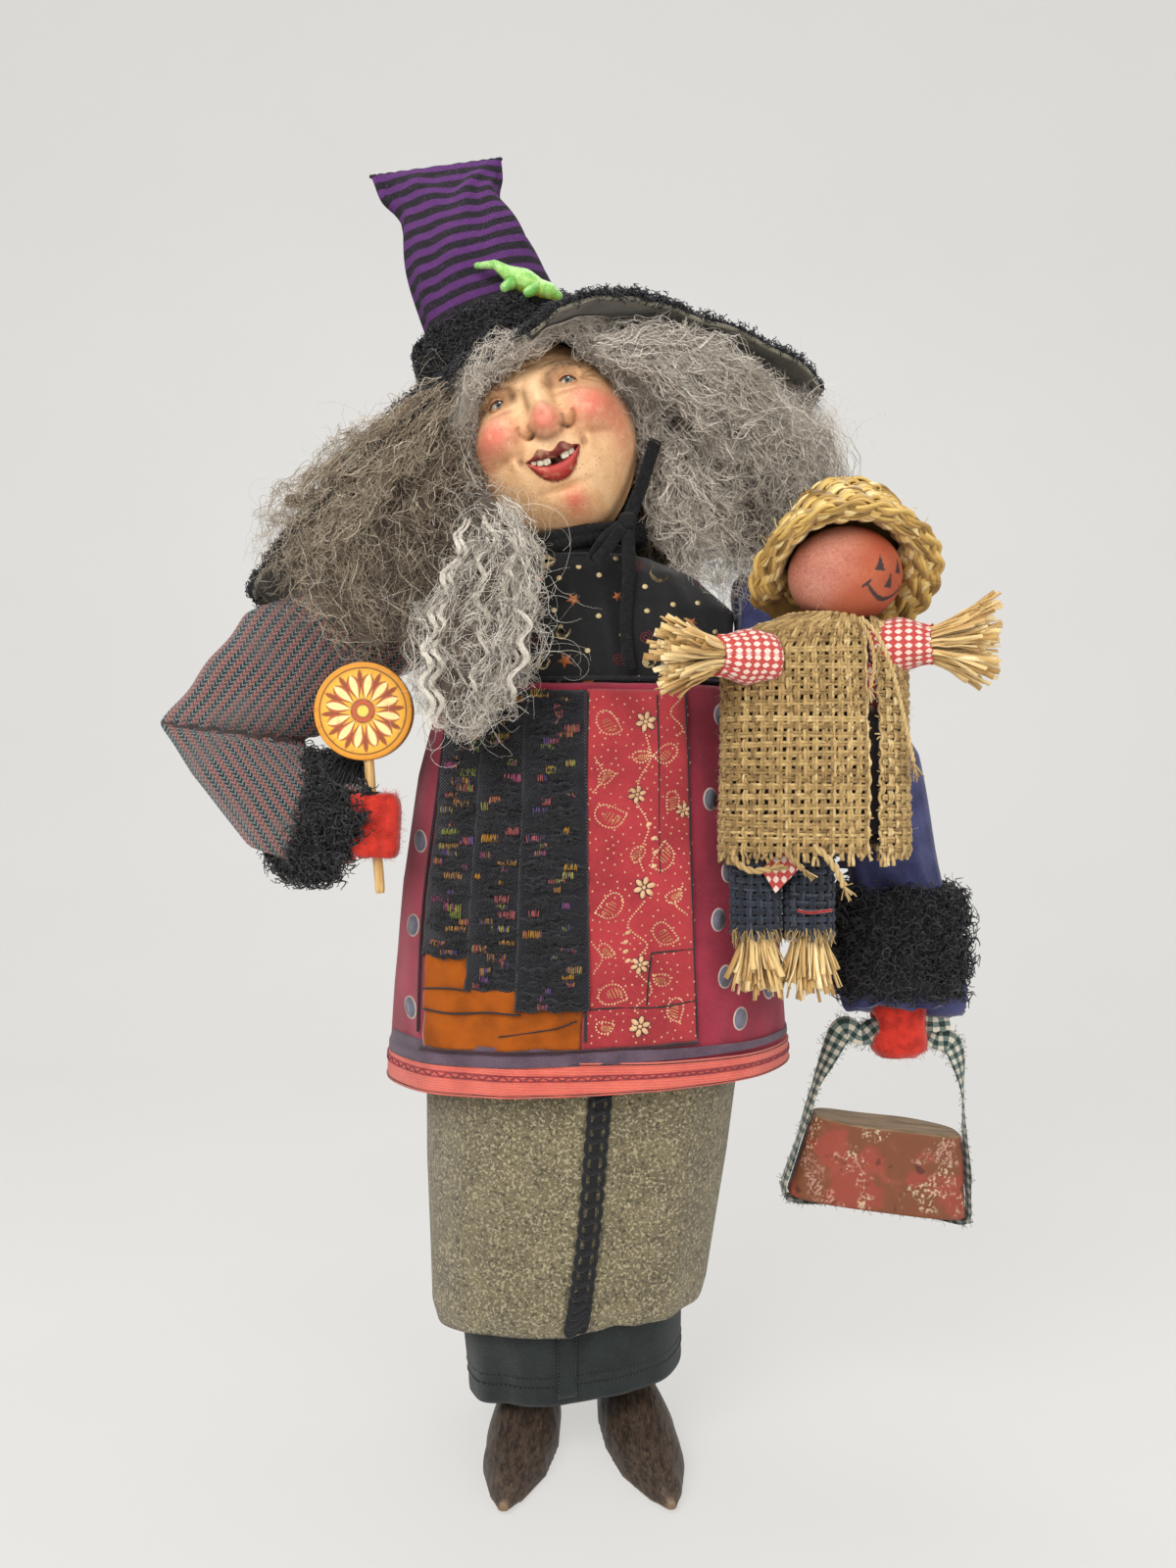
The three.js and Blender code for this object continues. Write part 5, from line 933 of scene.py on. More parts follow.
def add_bandana(cloth):
    printed = woven(
        "bandana_print", "#ad3238", "#c4525a", "#8c2229", pitch=0.42, depth=0.12, patch=26, fleck=0.45
    )
    low = lambda x: panel_foot(x) - 0.5
    high = lambda x: 348.5 + 0 * x
    swell = lambda x, z: 0.25 * np.sin(0.05 * z + 0.2 * x) + 0.15 * np.sin(0.5 * x)
    points, faces, lie = panel(cloth, (-2.6, -0.4), (47, 43), low, high, 1.5, 1.5, 80, 36, swell)
    panel_made = make("bandana_cloth", points, faces, printed, "figure", ["bandana_panel"], lie=lie)

    def lift(x, z):
        return 1.5 + swell(x, z) + 0.08

    cream, dark, rust = Pile(), Pile(), Pile()

    def dot(pile, x, z, radius, sides=7, squeeze=1.0, turn=0.0):
        if -1.5 < x < 43.5 + 3 * (345 - z) / 150 and panel_foot(x) < z < 347:
            pile.add(*on_front(cloth, disc(x, z, radius, sides, squeeze, turn), lift(x, z), 0.35))

    def dotted(line):
        radius, gap = 0.46, 1.35
        path = spline(line, 240)
        along = np.concatenate([[0], np.cumsum(np.linalg.norm(np.diff(path, axis=0), axis=1))])
        for s in np.arange(0, along[-1], gap):
            dot(cream, np.interp(s, along, path[:, 0]), np.interp(s, along, path[:, 1]), radius)

    def flower(x, z, size):
        for k in range(6):
            angle = TAU * k / 6 + 0.3
            right, up = size * math.cos(angle), size * math.sin(angle)
            dot(dark, x + 0.62 * right, z + 0.62 * up, 0.5 * size, 10, 0.72, angle)
            at = (x + 0.64 * right, z + 0.64 * up)
            if panel_foot(at[0]) < at[1] < 346:
                shape = disc(*at, 0.4 * size, 10, 0.6, angle)
                cream.add(*on_front(cloth, shape, lift(*at) + 0.1, 0.35))
        cream.add(*on_front(cloth, disc(x, z, 0.2 * size, 8), lift(x, z) + 0.14, 0.35))

    def paisley(x, z, size, turn, flip=1):
        angle = np.linspace(0, TAU, 34)
        bulge = size * (1 - 0.55 * np.abs(angle / TAU - 0.5) * 2) * 0.62
        lean = flip * 0.5 * size * (np.cos(angle / 2)) ** 6
        across = bulge * np.sin(angle) + lean
        up = -size * np.cos(angle) * 0.9 + 0.55 * size * np.cos(angle / 2) ** 8
        line = rotated(x, z, across, up, turn)
        dotted(line)
        inner = np.stack([x + 0.55 * (line[:, 0] - x), z + 0.55 * (line[:, 1] - z)], axis=1)
        for start, end in zip(inner[4:15:2], inner[-5:-16:-2]):
            bar = np.linspace(start, end, 5)
            if bar[:, 0].min() > -1 and bar[:, 0].max() < 44:
                rust.add(*tubes(cloth.front(bar[:, 0], bar[:, 1], lift(*bar.T))[None], 0.28, 4))

    layout = ((9, 331, 9, 0.4, 1), (33, 318, 8, -0.7, -1), (11, 291, 10, 1.0, 1), (34, 276, 9, 2.4, 1))
    layout += (
        (9, 252, 9.5, -0.5, -1), (33, 240, 8.5, 0.5, 1), (12, 218, 9, 2.0, -1), (36, 208, 7.5, -0.4, 1)
    )
    layout += (
        (24, 318, 5.5, 1.4, 1), (8, 311, 5.5, 2.6, -1), (37, 298, 6, 0.2, -1), (20, 276, 5.5, -1.0, 1)
    )
    layout += (
        (38, 258, 5.5, 1.8, 1), (8, 234, 5.5, 0.6, 1), (30, 222, 5.5, -1.4, -1), (8, 202, 5.5, 1.2, 1)
    )
    for spot in layout:
        paisley(*spot)
    for x, z, size in (
        (25, 334, 4.4), (21, 302, 3.8), (24, 262, 4.6), (22, 229, 3.8), (22, 203, 4.4), (41, 295, 3.2)
    ):
        flower(x, z, size)
    for line in (
        [(25, 328), (27, 318), (22, 309), (21, 304)],
        [(21, 298), (26, 288), (22, 276), (24, 268)],
        [(24, 256), (17, 246), (25, 238), (22, 233)],
        [(22, 225), (27, 218), (20, 211), (22, 208)],
        [(40, 344), (36, 338), (41, 331), (38, 327)],
        [(3, 318), (7, 310), (2, 303)],
        [(40, 262), (37, 255), (42, 250)],
        [(2, 238), (6, 232), (2, 226)],
    ):
        dotted(line)
    for x, z in ((26, 289), (28, 283), (28.6, 277), (28, 271), (17, 243), (16, 239), (16, 235), (17, 231)):
        cream.add(*on_front(cloth, disc(x, z, 1.35, 9, 0.62, 0.5), lift(x, z) + 0.1, 0.35))
    for x, z in apart(420, (-1, 196), (46, 346), 2.7, 18):
        dot(cream, x, z, 0.42)
    ink = {"pitch": 0.45, "depth": 0.08, "lie": "place"}
    cream.build(
        "bandana_cream_print", woven("cream_print", "#dcb489", "#efd3ad", "#b98a62", **ink),
        slot="bandana_print"
    )
    dark.build(
        "bandana_dark_print", woven("dark_print", "#4c1517", "#6a2422", "#300a0c", **ink),
        slot="bandana_print"
    )
    rust.build(
        "bandana_hatching", woven("rust_print", "#c98a5e", "#dfa77c", "#9b5c3c", **ink),
        slot="bandana_print"
    )

    seams = Pile()
    for line in (
        [(-1.6, 197), (-1.0, 250), (-0.6, 300), (0.3, 347)],
        [(46.5, 197), (44.8, 250), (43.6, 300), (42.6, 347)],
        [(30, 346), (30.5, 320), (30.2, 290), (30.6, 268)],
        [(-2, 210.5), (14, 211), (30, 211), (46, 213)],
        [(27, 234), (36, 234.6), (45, 235)],
        [(27, 234), (25.5, 222), (25, 212)],
    ):
        seams.add(*line_on(cloth, line, 0.4, 1.55))
    seams.build("bandana_seams", THREAD_DARK, slot="bandana_print")
    edges = Pile()
    for line in (
        [(-74.3, 197), (-72.6, 250), (-66.5, 305), (-62.4, 347)], [(-1.2, 197), (-0.6, 260), (-0.9, 347)]
    ):
        edges.add(*line_on(cloth, line, 0.75, 1.5))
    foot = np.linspace(-74, 47, 60)
    edges.add(*tubes(cloth.front(foot, panel_foot(foot) - 0.6, 1.3)[None], 0.8, 5))
    edges.build(
        "panel_piping", woven("dark_piping", "#3a1420", "#5a2632", "#220a12", pitch=0.5, lie="place"),
        slot="raspberry_cloth"
    )


def add_hem():
    mauve = woven("mauve_facing", "#64505f", "#806c7c", "#4a3947", pitch=0.5, depth=0.15)
    facing = wrap("hem_facing", 10, 320, slope=0.04)
    facing.push(0.3 * ripple((10, 320), ((14, 0.3, 1.0),), 6))
    mauve_ring = facing.build("hem_facing_ribbon", mauve, 0.9, replaces=["hem_facing"])
    coral = Finish("coral_ribbon", Sheen_Weight=0.25)
    across, along, _ = coral.parts(coral.vector("lie"))
    lines = coral.sine(along, 1.1)
    tone = coral.clouds("#e06958", "#cf584b", 0.35, 0.7, 14, 3)
    # Painted highlight on the raised ribs of the ribbon
    tone = coral.tint(tone, "#ef917d", 0.3, lines, 0.1, 0.9)
    coral.colour(tone).bump(lines, 0.18).bump(coral.sine(across, 0.9), 0.1)
    band = wrap("hem_band", 16, 320, slope=0.04)
    band.push(0.3 * ripple((16, 320), ((14, 0.3, 1.0),), 6) + 0.25)
    band_made = band.build("hem_band_ribbon", coral, 1.2, replaces=["hem_band"])
    dark, stitches = Pile(), Pile()
    rings = band.rings
    columns = rings.shape[1]
    for row, radius, pile in ((7, 0.34, dark), (9, 0.34, dark), (14, 0.2, stitches), (1, 0.2, stitches)):
        ring = rings[row] + 0.15 * band.out[row]
        pile.add(*tubes(np.concatenate([ring, ring[:1]])[None], radius, 4))

    def on_band(row, column):
        column %= columns
        return rings[row, column] + 0.2 * band.out[row, column]

    for k in range(0, columns, 4):
        zigzag = np.stack([on_band(7, k), on_band(9, k + 2), on_band(7, k + 4)])
        dark.add(*tubes(zigzag[None], 0.42, 4))
    dark.build(
        "hem_band_pattern",
        woven("ribbon_pattern", "#a52c3a", "#bd4a52", "#84202c", pitch=0.4, lie="place"),
        slot="coral_ribbon"
    )
    stitches.build("hem_band_stitching", THREAD_DARK, slot="coral_ribbon")


def add_skirts():
    tweed = Finish("tweed", Sheen_Weight=0.25)
    across, along, _ = tweed.parts(tweed.vector("lie"))
    rib = tweed.math("MULTIPLY", tweed.sine(across, 1.5), tweed.sine(along, 1.5))
    fine = tweed.noise(1.3, 2)
    tone = tweed.clouds("#766c50", "#655c44", 0.35, 0.7, 18, 4)
    tone = tweed.tint(tone, "#aea283", 0.85, fine, 0.5, 0.62)
    tone = tweed.specks(tone, "#3d382b", 0.8, 0.54, 0.64, 1.5, 2, seed=4)
    tone = tweed.specks(tone, "#8a7a3e", 0.4, 0.62, 0.75, 1.6, 2, seed=9)
    tweed.colour(tone).bump(rib, 0.25).bump(fine, 0.35).bump(tweed.noise(4, 3), 0.4)
    cloth = wrap("skirt", 80, 300, slope=0.07)
    share = np.linspace(0, 1, 80)[:, None]
    cloth.push(
        (1 - 0.6 * share) * ripple((80, 300), ((7, 0.3, 1.3), (16, 0.8, 0.5)), 21)
        + 0.3 * bell(share, 0.0, 0.03)
    )
    skirt = cloth.build("skirt_cloth", tweed, 1.5, replaces=["skirt"])

    # Scalloped braid: a cord that loops from side to side along a line
    braid = Pile()
    t = np.linspace(0, 1, 560)
    loops = 10.5
    line = spline([(6.5, 182), (3.5, 150), (0.5, 112), (-3.5, 78), (-5.5, 66)], 560)
    for phase, wide in ((0.0, 4.4), (0.5, 4.4)):
        angle = TAU * (loops * t + phase)
        x = line[:, 0] + wide * np.sin(angle)
        z = line[:, 1] + 1.8 * np.sin(2 * angle)
        rise = 0.9 + 0.5 * np.cos(angle + phase)
        points, faces = tubes(cloth.front(x, z, rise)[None], 1.15, 6)
        braid.add(points, faces, shade=np.full(len(points), 0.35))
    for offset in (-1.0, 0.0, 1.0):
        points, faces = tubes(cloth.front(line[:, 0] + offset * 1.1, line[:, 1], 1.2)[None], 0.7, 6)
        braid.add(points, faces, shade=np.full(len(points), 0.3))
    braid.build("skirt_scalloped_braid", BLACK_YARN, replaces=["skirt_braid"])

    green = woven("dark_green_cloth", "#1b2422", "#313c38", "#0e1413", pitch=0.5, depth=0.15)
    under = wrap("underskirt", 50, 260, slope=0.1)
    share = np.linspace(0, 1, 50)[:, None]
    under.push(
        (1 - share) * ripple((50, 260), ((6, 0.3, 1.2), (14, 0.6, 0.5)), 23) + 0.4 * bell(share, 0.02, 0.05)
    )
    made = under.build("underskirt_cloth", green, 1.2, replaces=["underskirt"])
    trim = Pile()
    for row, radius in ((6, 0.45), (9, 0.25)):
        ring = under.rings[row] + 0.1 * under.out[row]
        trim.add(*tubes(np.concatenate([ring, ring[:1]])[None], radius, 4))
    low = lambda x: 31.0 + 0.1 * (x + 9)
    high = lambda x: 66.0 + 0 * x
    points, faces, lie = panel(under, (-13.5, -13.5), (-5.0, -5.0), low, high, 1.1, 1.0, 24, 10)
    make("underskirt_tab_cloth", points, faces, green, "figure", ["underskirt_tab"], lie=lie)
    for x in (-13.2, -5.3):
        z = np.linspace(33, 64, 20)
        trim.add(*tubes(under.front(np.full(20, x), z, 1.2)[None], 0.3, 4))
    trim.build(
        "underskirt_seams", woven("green_seam", "#0f1514", "#26302d", "#070a09", lie="place"),
        slot="dark_green_cloth"
    )


FLOOR_GAP = 0.02


def add_shoes():
    leather = wood(
        "shoe_wood", "#4a3d34", "#75614f", "#2a221d", roughness=0.5, along=(1, 0.15, 1), wear="#8d745b",
        size=1.8
    )
    for side in ("right", "left"):
        shoe = softened(f"{side}_carved_shoe", [f"{side}_shoe"], 1.0, 9, leather, "figure", swell=0.25)
        points, out = points_of(shoe), normals_of(shoe)
        x, y, z = points.T
        chips = np.sin(0.4 * y + 1.7 * np.sin(0.22 * z)) * np.sin(0.33 * x + 0.2 * z)
        upper = ease(z, 2, 6)
        reshape(shoe, points + out * (0.22 * chips * upper)[:, None])
        points = points_of(shoe)
        points[:, 2] = np.maximum(points[:, 2], FLOOR_GAP)
        reshape(shoe, points)


add_blouse()
vest = add_vest()
add_boucle(vest)
add_ochre(vest)
add_bandana(vest)
add_hem()
add_skirts()
add_shoes()


# Head and hat, in a frame that leans with the head
HEAD_CENTRE = np.array([-14.0, -16.0, 466.0])
HEAD_TILT = math.radians(-18)
FACE_TURN = math.radians(-5)
FACE_SIDE = -2.4
HAT = np.array([-11.0, 11.0, 44.0])


def from_head(points):
    x, y, z = np.moveaxis(np.asarray(points, float), -1, 0)
    cos, sin = math.cos(HEAD_TILT), math.sin(HEAD_TILT)
    return np.stack([x * cos + z * sin, y, z * cos - x * sin], axis=-1) + HEAD_CENTRE


def from_face(points):
    x, y, z = np.moveaxis(np.asarray(points, float), -1, 0)
    cos, sin = math.cos(FACE_TURN), math.sin(FACE_TURN)
    return from_head(np.stack([x * cos - y * sin + FACE_SIDE, x * sin + y * cos, z], axis=-1))


EYE_MIDDLE, EYE_OUT, EYE_Z = -0.9, 16.1, 16.0
NOSE_X, NOSE_Z = 1.3, -1.6
MOUTH_X, MOUTH_HALF, MOUTH_UP = -0.3, 12.9, 1.3


def lip_lines(x):
    """Heights of the mouth: the upper lip's top, the opening's two edges, the lower lip's foot."""
    side = np.abs(x - MOUTH_X)
    share = np.clip(side / MOUTH_HALF, 0, 1)
    top = MOUTH_UP - 14.7 + 2.4 * bell(side, 5.2, 3.0)
    upper = MOUTH_UP - 16.7 + 2.1 * share**2
    lower = MOUTH_UP - 19.6 + 5.0 * share**2.2
    foot = MOUTH_UP - 26.8 + 12.2 * share**2.6
    return top, upper, lower, foot


def hump(x, z, wide, tall, sharp=1.0):
    return np.exp(-(((x / wide) ** 2 + (z / tall) ** 2) ** sharp))


def face_relief(x, z):
    """How far the clay stands out from the plain skull, seen from the front."""
    nose_x, nose_z = x - NOSE_X, z - NOSE_Z
    wing = np.abs(nose_x)
    side = np.abs(x)
    eye = np.abs(x - EYE_MIDDLE) - EYE_OUT
    eye_z = z - EYE_Z
    rise = 12.0 * hump(nose_x, nose_z - 0.4, 7.0, 7.0, 2.0)
    rise += 5.0 * bell(nose_x, 0, 4.6) * ease(z, -2, 6) * (1 - ease(z, 10, 26))
    rise += 2.6 * hump(wing - 8.9, nose_z - 0.6, 2.7, 2.7, 1.4)
    rise -= 1.2 * bell(np.hypot(wing - 8.6, nose_z - 0.4), 3.9, 0.8) * (nose_z < 2.5) * (wing > 7.4)
    rise -= 1.8 * hump(wing - 7.4, nose_z + 3.6, 2.2, 0.9)
    rise += 6.8 * hump(side - 20.5, z - 2.0, 9.6, 9.0, 1.7)
    rise -= 0.9 * hump(side - 13.0, z + 5.0, 2.4, 5.0)
    rise -= 1.3 * hump(side - 20, z + 9.0, 8.0, 1.6)
    rise -= 3.6 * hump(eye, eye_z - 0.2, 6.8, 4.4, 1.2)
    rise -= 2.4 * hump(eye + 7.4, eye_z - 0.4, 2.4, 3.6)
    arch = 5.4 + 1.6 * bell(eye, 1, 6)
    rise += 3.2 * bell(eye_z, arch, 2.5) * bell(eye, 0, 9.5)
    rise -= 1.0 * bell(eye_z, arch + 4.2, 1.3) * bell(eye, 0, 8)
    rise += 1.5 * bell(eye_z, -4.6, 1.5) * bell(eye, 0, 6)
    rise -= 1.1 * bell(eye_z, -6.6, 0.9) * bell(eye, -1, 6)
    rise += 2.2 * hump(x - MOUTH_X, z + 9.8, 10, 4)
    rise -= 1.0 * bell(x, MOUTH_X + 0.6, 1.7) * bell(z, -10, 3.0)
    rise += 5.0 * hump(x - 1, z + 35.5, 10.5, 7.0, 1.4)
    rise -= 2.0 * bell(z, -27.8, 1.5) * bell(x, MOUTH_X, 10)
    mouth_side = np.abs(x - MOUTH_X)
    rise -= 2.0 * hump(mouth_side - MOUTH_HALF - 1.8, z + 12.6, 1.4, 2.4)
    rise += 1.2 * hump(mouth_side - MOUTH_HALF - 4.6, z + 12.0, 2.2, 4.5)
    for height in (27.5, 31.5):
        rise -= 0.6 * bell(z, height + 0.006 * x**2, 0.8) * bell(x, 0, 15)
    for slope in (-0.45, 0.1, 0.6):
        rise -= 0.7 * bell(eye_z, slope * (eye - 6), 0.55) * ease(eye, 5.5, 7.5) * (1 - ease(eye, 12, 15))
    top, upper, lower, foot = lip_lines(x)
    within = 1 - ease(mouth_side, MOUTH_HALF - 1.2, MOUTH_HALF + 0.4)
    lip = ease(z, upper - 0.3, upper + 0.5) * (1 - ease(z, top - 0.5, top + 0.4))
    rise += 1.5 * lip * within
    middle, half = (lower + foot) / 2, np.maximum((lower - foot) / 2, 0.6)
    rise += 2.7 * np.clip(1 - ((z - middle) / half) ** 2, 0, 1) ** 0.6 * within
    rise -= 4.6 * ease(z, lower - 0.4, lower + 0.5) * (1 - ease(z, upper - 0.5, upper + 0.3)) * within
    return rise


def face_colours(x, z, front):
    """Paint on the clay: blushes, lips, brown painted shade in the hollows, creases, at the sides, under
    the brim and under the jaw, and painted highlights on the nose, cheeks and lower lip.
    """
    nose_x, nose_z = x - NOSE_X, z - NOSE_Z
    wing, side = np.abs(nose_x), np.abs(x)
    eye = np.abs(x - EYE_MIDDLE) - EYE_OUT
    eye_z = z - EYE_Z
    tone = np.tile(painted_rgb("#d8a97a"), (len(x), 1))

    def blend(code, share):
        nonlocal tone
        share = np.clip(share, 0, 1)[:, None]
        tone = tone * (1 - share) + painted_rgb(code) * share

    wild = np.random.default_rng(3)
    waves = wild.normal(size=(14, 3)) * 0.3
    mottle = sum(np.sin(x * a + z * b + 9 * c) for a, b, c in waves) / 14
    blend("#e4bd90", 0.5 + 1.2 * mottle)
    blend("#eccda3", 0.7 * hump(x, z + 9.0, 8, 4))
    # Painted shade: darker towards the hairline under the brim, at the sides of the face and under the jaw
    blend("#8a6544", 0.85 * ease(z, 20, 33))
    blend("#b0784f", 0.6 * ease(side, 30, 39) * ease(z, -6, 14))
    blend("#b07f50", 0.4 * ease(-z, 38, 46))
    # Painted shade in the eye sockets
    blend("#935f39", 0.75 * hump(eye + 0.4, eye_z - 1.2, 7.2, 4.6))
    blend("#6b4527", 0.8 * bell(eye_z, 4.8 + 1.4 * bell(eye, 1, 6), 1.2) * bell(eye, -1, 8))
    # Painted shade in the inner eye corners, in the crease under each eye and along the sides of the nose
    blend("#5d3b22", 0.8 * hump(eye + 7.4, eye_z - 0.6, 2.4, 3.0))
    blend("#80522f", 0.55 * bell(eye_z, -6.4, 1.0) * bell(eye, -1, 6))
    blend("#6b4527", 0.65 * bell(nose_x, -5.5, 1.6) * ease(z, 2, 8) * (1 - ease(z, 14, 20)))
    blend("#8a5a37", 0.5 * bell(nose_x, 6.0, 1.6) * ease(z, 2, 8) * (1 - ease(z, 14, 20)))
    blend("#d5685a", 0.85 * hump(side - 21.5, z - 1.0, 9.5, 8.5, 1.2))
    # Painted highlight on the upper part of each cheek
    blend("#e79f86", 0.5 * hump(side - 18.5, z - 5.5, 4.5, 3.0))
    blend("#cc6450", 0.6 * hump(x - 31, z + 5, 7.0, 15))
    blend("#cc6450", 0.45 * hump(x + 32, z + 5, 5.0, 13))
    blend("#d2695a", 0.85 * hump(nose_x, nose_z + 0.6, 7.2, 6.6, 1.5))
    # Painted highlight on the top of the nose
    blend("#eaa68d", 0.6 * hump(nose_x - 1.5, nose_z - 2.6, 3.0, 2.6))
    blend("#cd5d4c", 0.8 * hump(x - 3.0, z + 34.8, 6.5, 5.6))
    # Painted shade round the foot of the nose, round its wings, in the nostrils, in the smile lines and in
    # the crease under the lower lip
    blend("#7c4c2c", 0.6 * bell(np.hypot(nose_x, nose_z - 0.4), 7.6, 0.9) * (nose_z < 1.0))
    blend(
        "#8f5c36", 0.55 * bell(np.hypot(wing - 8.6, nose_z - 0.4), 3.9, 0.8) * (nose_z < 2.5) * (wing > 7.4)
    )
    blend("#3c2115", 0.95 * hump(wing - 7.6, nose_z + 3.4, 2.1, 0.75))
    blend("#93602f", 0.3 * hump(side - 13.2, z + 5.0, 1.8, 5.0))
    blend("#9a6438", 0.6 * bell(z, -28, 1.9) * bell(x, MOUTH_X, 11))
    mouth_side = np.abs(x - MOUTH_X)
    # Painted shade in the mouth corners, under the cheeks, in the forehead lines and in the crow's feet
    blend("#6a4022", 0.75 * hump(mouth_side - MOUTH_HALF - 1.6, z + 12.6, 1.5, 2.4))
    blend("#935f38", 0.55 * hump(side - 20, z + 9.4, 8.5, 1.5))
    for height in (27.5, 31.5):
        blend("#6d472a", 0.5 * bell(z, height + 0.006 * x**2, 0.6) * bell(x, 0, 15))
    for slope in (-0.45, 0.1, 0.6):
        blend(
            "#7d5030",
            0.6 * bell(eye_z, slope * (eye - 6), 0.45) * ease(eye, 5.5, 7.5) * (1 - ease(eye, 12, 15))
        )
    top, upper, lower, foot = lip_lines(x)
    within = 1 - ease(mouth_side, MOUTH_HALF - 0.5, MOUTH_HALF + 0.4)
    blend(
        "#6e2220", within * ease(z, upper - 0.5, upper - 0.1) * (1 - ease(z, top - 0.2, top + 0.25)) * front
    )
    blend("#2a0908", within * ease(z, lower - 0.2, lower + 0.2) * (1 - ease(z, upper - 0.3, upper)) * front)
    inside = within * (1 - ease(z, lower - 0.1, lower + 0.2)) * ease(z, foot - 0.25, foot + 0.2) * front
    blend("#9c2420", inside)
    # Painted shade at the foot of the lower lip and a painted highlight along its middle
    blend("#551513", 0.85 * inside * (1 - ease(z, foot, foot + 1.5)))
    blend("#b94a42", 0.6 * inside * bell(z, (lower + foot) / 2 + 1, 1.2))
    return tone


def faced(shape):
    points, faces = shape
    return from_face(points), faces


def add_face():
    ball = bmesh.new()
    bmesh.ops.create_icosphere(ball, subdivisions=7, radius=1.0)
    ball.verts.ensure_lookup_table()
    ways = np.array([v.co for v in ball.verts])
    faces = np.array([[v.index for v in face.verts] for face in ball.faces])
    ball.free()
    off = np.arccos(np.clip(-ways[:, 1], -1, 1))
    around = unit(ways * (1, 0, 1))
    drawn = math.pi * (off / math.pi) ** 1.35
    ways = around * np.sin(drawn)[:, None]
    ways[:, 1] = -np.cos(drawn)
    points = ways * (39.0, 41, 47)
    x, z = points[:, 0], points[:, 2]
    taper = 1 - 0.10 * ease(-z, 8, 44) - 0.06 * ease(z, 12, 44)
    front = ease(-points[:, 1], 4, 22)
    colours = face_colours(x, z, front)
    rise = face_relief(x, z) * front
    points = points * np.stack([taper, np.ones_like(taper), np.ones_like(taper)], axis=1)
    points[:, 1] -= rise
    bulge = hump(np.abs(x) - 27, z - 0.5, 9, 9) * front
    points[:, 0] += 1.8 * np.sign(x) * bulge
    clay = Finish("clay_skin", Roughness=0.55, Specular_IOR_Level=0.35, Subsurface_Weight=0.12)
    clay.set(Subsurface_Radius=(0.004, 0.0015, 0.0008), Subsurface_Scale=0.5)
    specks = clay.cells(1.9)
    grit = clay.math("MULTIPLY", clay.between(specks, 0.2, 0.1), clay.patches(0.42, 0.55, 8.0, 2))
    tone = clay.mix(clay.math("MULTIPLY", grit, 0.7), clay.vector("tint"), "#5c3a24")
    tone = clay.specks(tone, "#94623c", 0.34, 0.5, 0.75, 1.3, 4)
    tone = clay.specks(tone, "#ecc79d", 0.3, 0.5, 0.7, 4.5, 4, seed=4)
    clay.colour(tone).bump(clay.noise(0.9, 4), 0.2).bump(clay.noise(3.5, 3), 0.35)
    make("clay_head", from_face(points), faces, clay, "figure", ["head"], tint=colours)

    def skin_y(at_x, at_z):
        base = -41 * math.sqrt(max(0.05, 1 - (at_x / 38.2) ** 2 - (at_z / 47) ** 2))
        return base - float(face_relief(np.array([at_x]), np.array([at_z]))[0])

    whites, lids, lashes, irises, pupils, glints = Pile(), Pile(), Pile(), Pile(), Pile(), Pile()
    for side in (-1, 1):
        x = EYE_MIDDLE + side * EYE_OUT
        y = skin_y(x, EYE_Z)
        whites.add(*faced(blob((x, y + 2.4, EYE_Z), (4.3, 4.2, 3.4), 18, 28)))
        look = x + 0.5
        irises.add(*faced(blob((look, y - 1.05, EYE_Z + 0.1), (2.15, 0.85, 2.0), 12, 24)))
        pupils.add(*faced(blob((look, y - 1.66, EYE_Z + 0.1), (1.05, 0.4, 1.0), 10, 18)))
        # A small white glint on each eye, as a painted highlight
        glints.add(*faced(blob((look + 0.75, y - 1.85, EYE_Z + 0.8), (0.45, 0.28, 0.4), 8, 10)))
        t = np.linspace(-1, 1, 26)
        for way, pile, thick in ((1, lids, 0.95), (-1, lids, 0.85), (1, lashes, 0.42)):
            across = x + 4.3 * t
            up = (
                EYE_Z + way * 2.0 * (1 - t**2) ** 0.8 - (0.55 if thick < 0.5 else 0) + 0.25 * way
                - 0.5 * np.abs(t)
            )
            deep = y - 0.9 - 1.0 * (1 - t**2) + (0.2 if thick > 0.5 else -0.35) + 0.9 * np.abs(t) ** 3
            path = np.stack([across, deep, up], axis=1)
            size = thick * (0.35 + 0.65 * (1 - t**2) ** 0.5)
            points, faces = tubes(from_face(path)[None], size, 8)
            pile.add(points, faces)
    gloss = {"Roughness": 0.15, "Specular_IOR_Level": 0.5}
    white = two_tone("eye_white", "#9c9686", "#bdb7a8", 1.5, **gloss)
    whites.build("eye_whites", white, slot="clay")
    iris = two_tone("eye_grey", "#4d504c", "#85867c", 0.5, Roughness=0.15)
    irises.build("eye_irises", iris, slot="clay")
    black = two_tone("eye_black", "#0c0a0a", "#171313", 0.5, Roughness=0.1)
    pupils.build("eye_pupils", black, slot="clay")
    shine = two_tone("eye_glint", "#e9e9e6", "#ffffff", 0.5, Roughness=0.1)
    glints.build("eye_glints", shine, slot="clay")
    lid_clay = Finish("eyelid_clay", Roughness=0.6)
    lid_clay.colour(lid_clay.clouds("#c68f66", "#8f6341", 0.35, 0.7, 1.2, 3))
    lid_clay.bump(lid_clay.noise(0.8, 3), 0.1)
    lids.build("eyelids", lid_clay, slot="clay")
    lash = two_tone("lash_brown", "#2c1d14", "#503624", 0.6, 3, Roughness=0.7)
    lashes.build("eye_liner", lash, slot="clay")

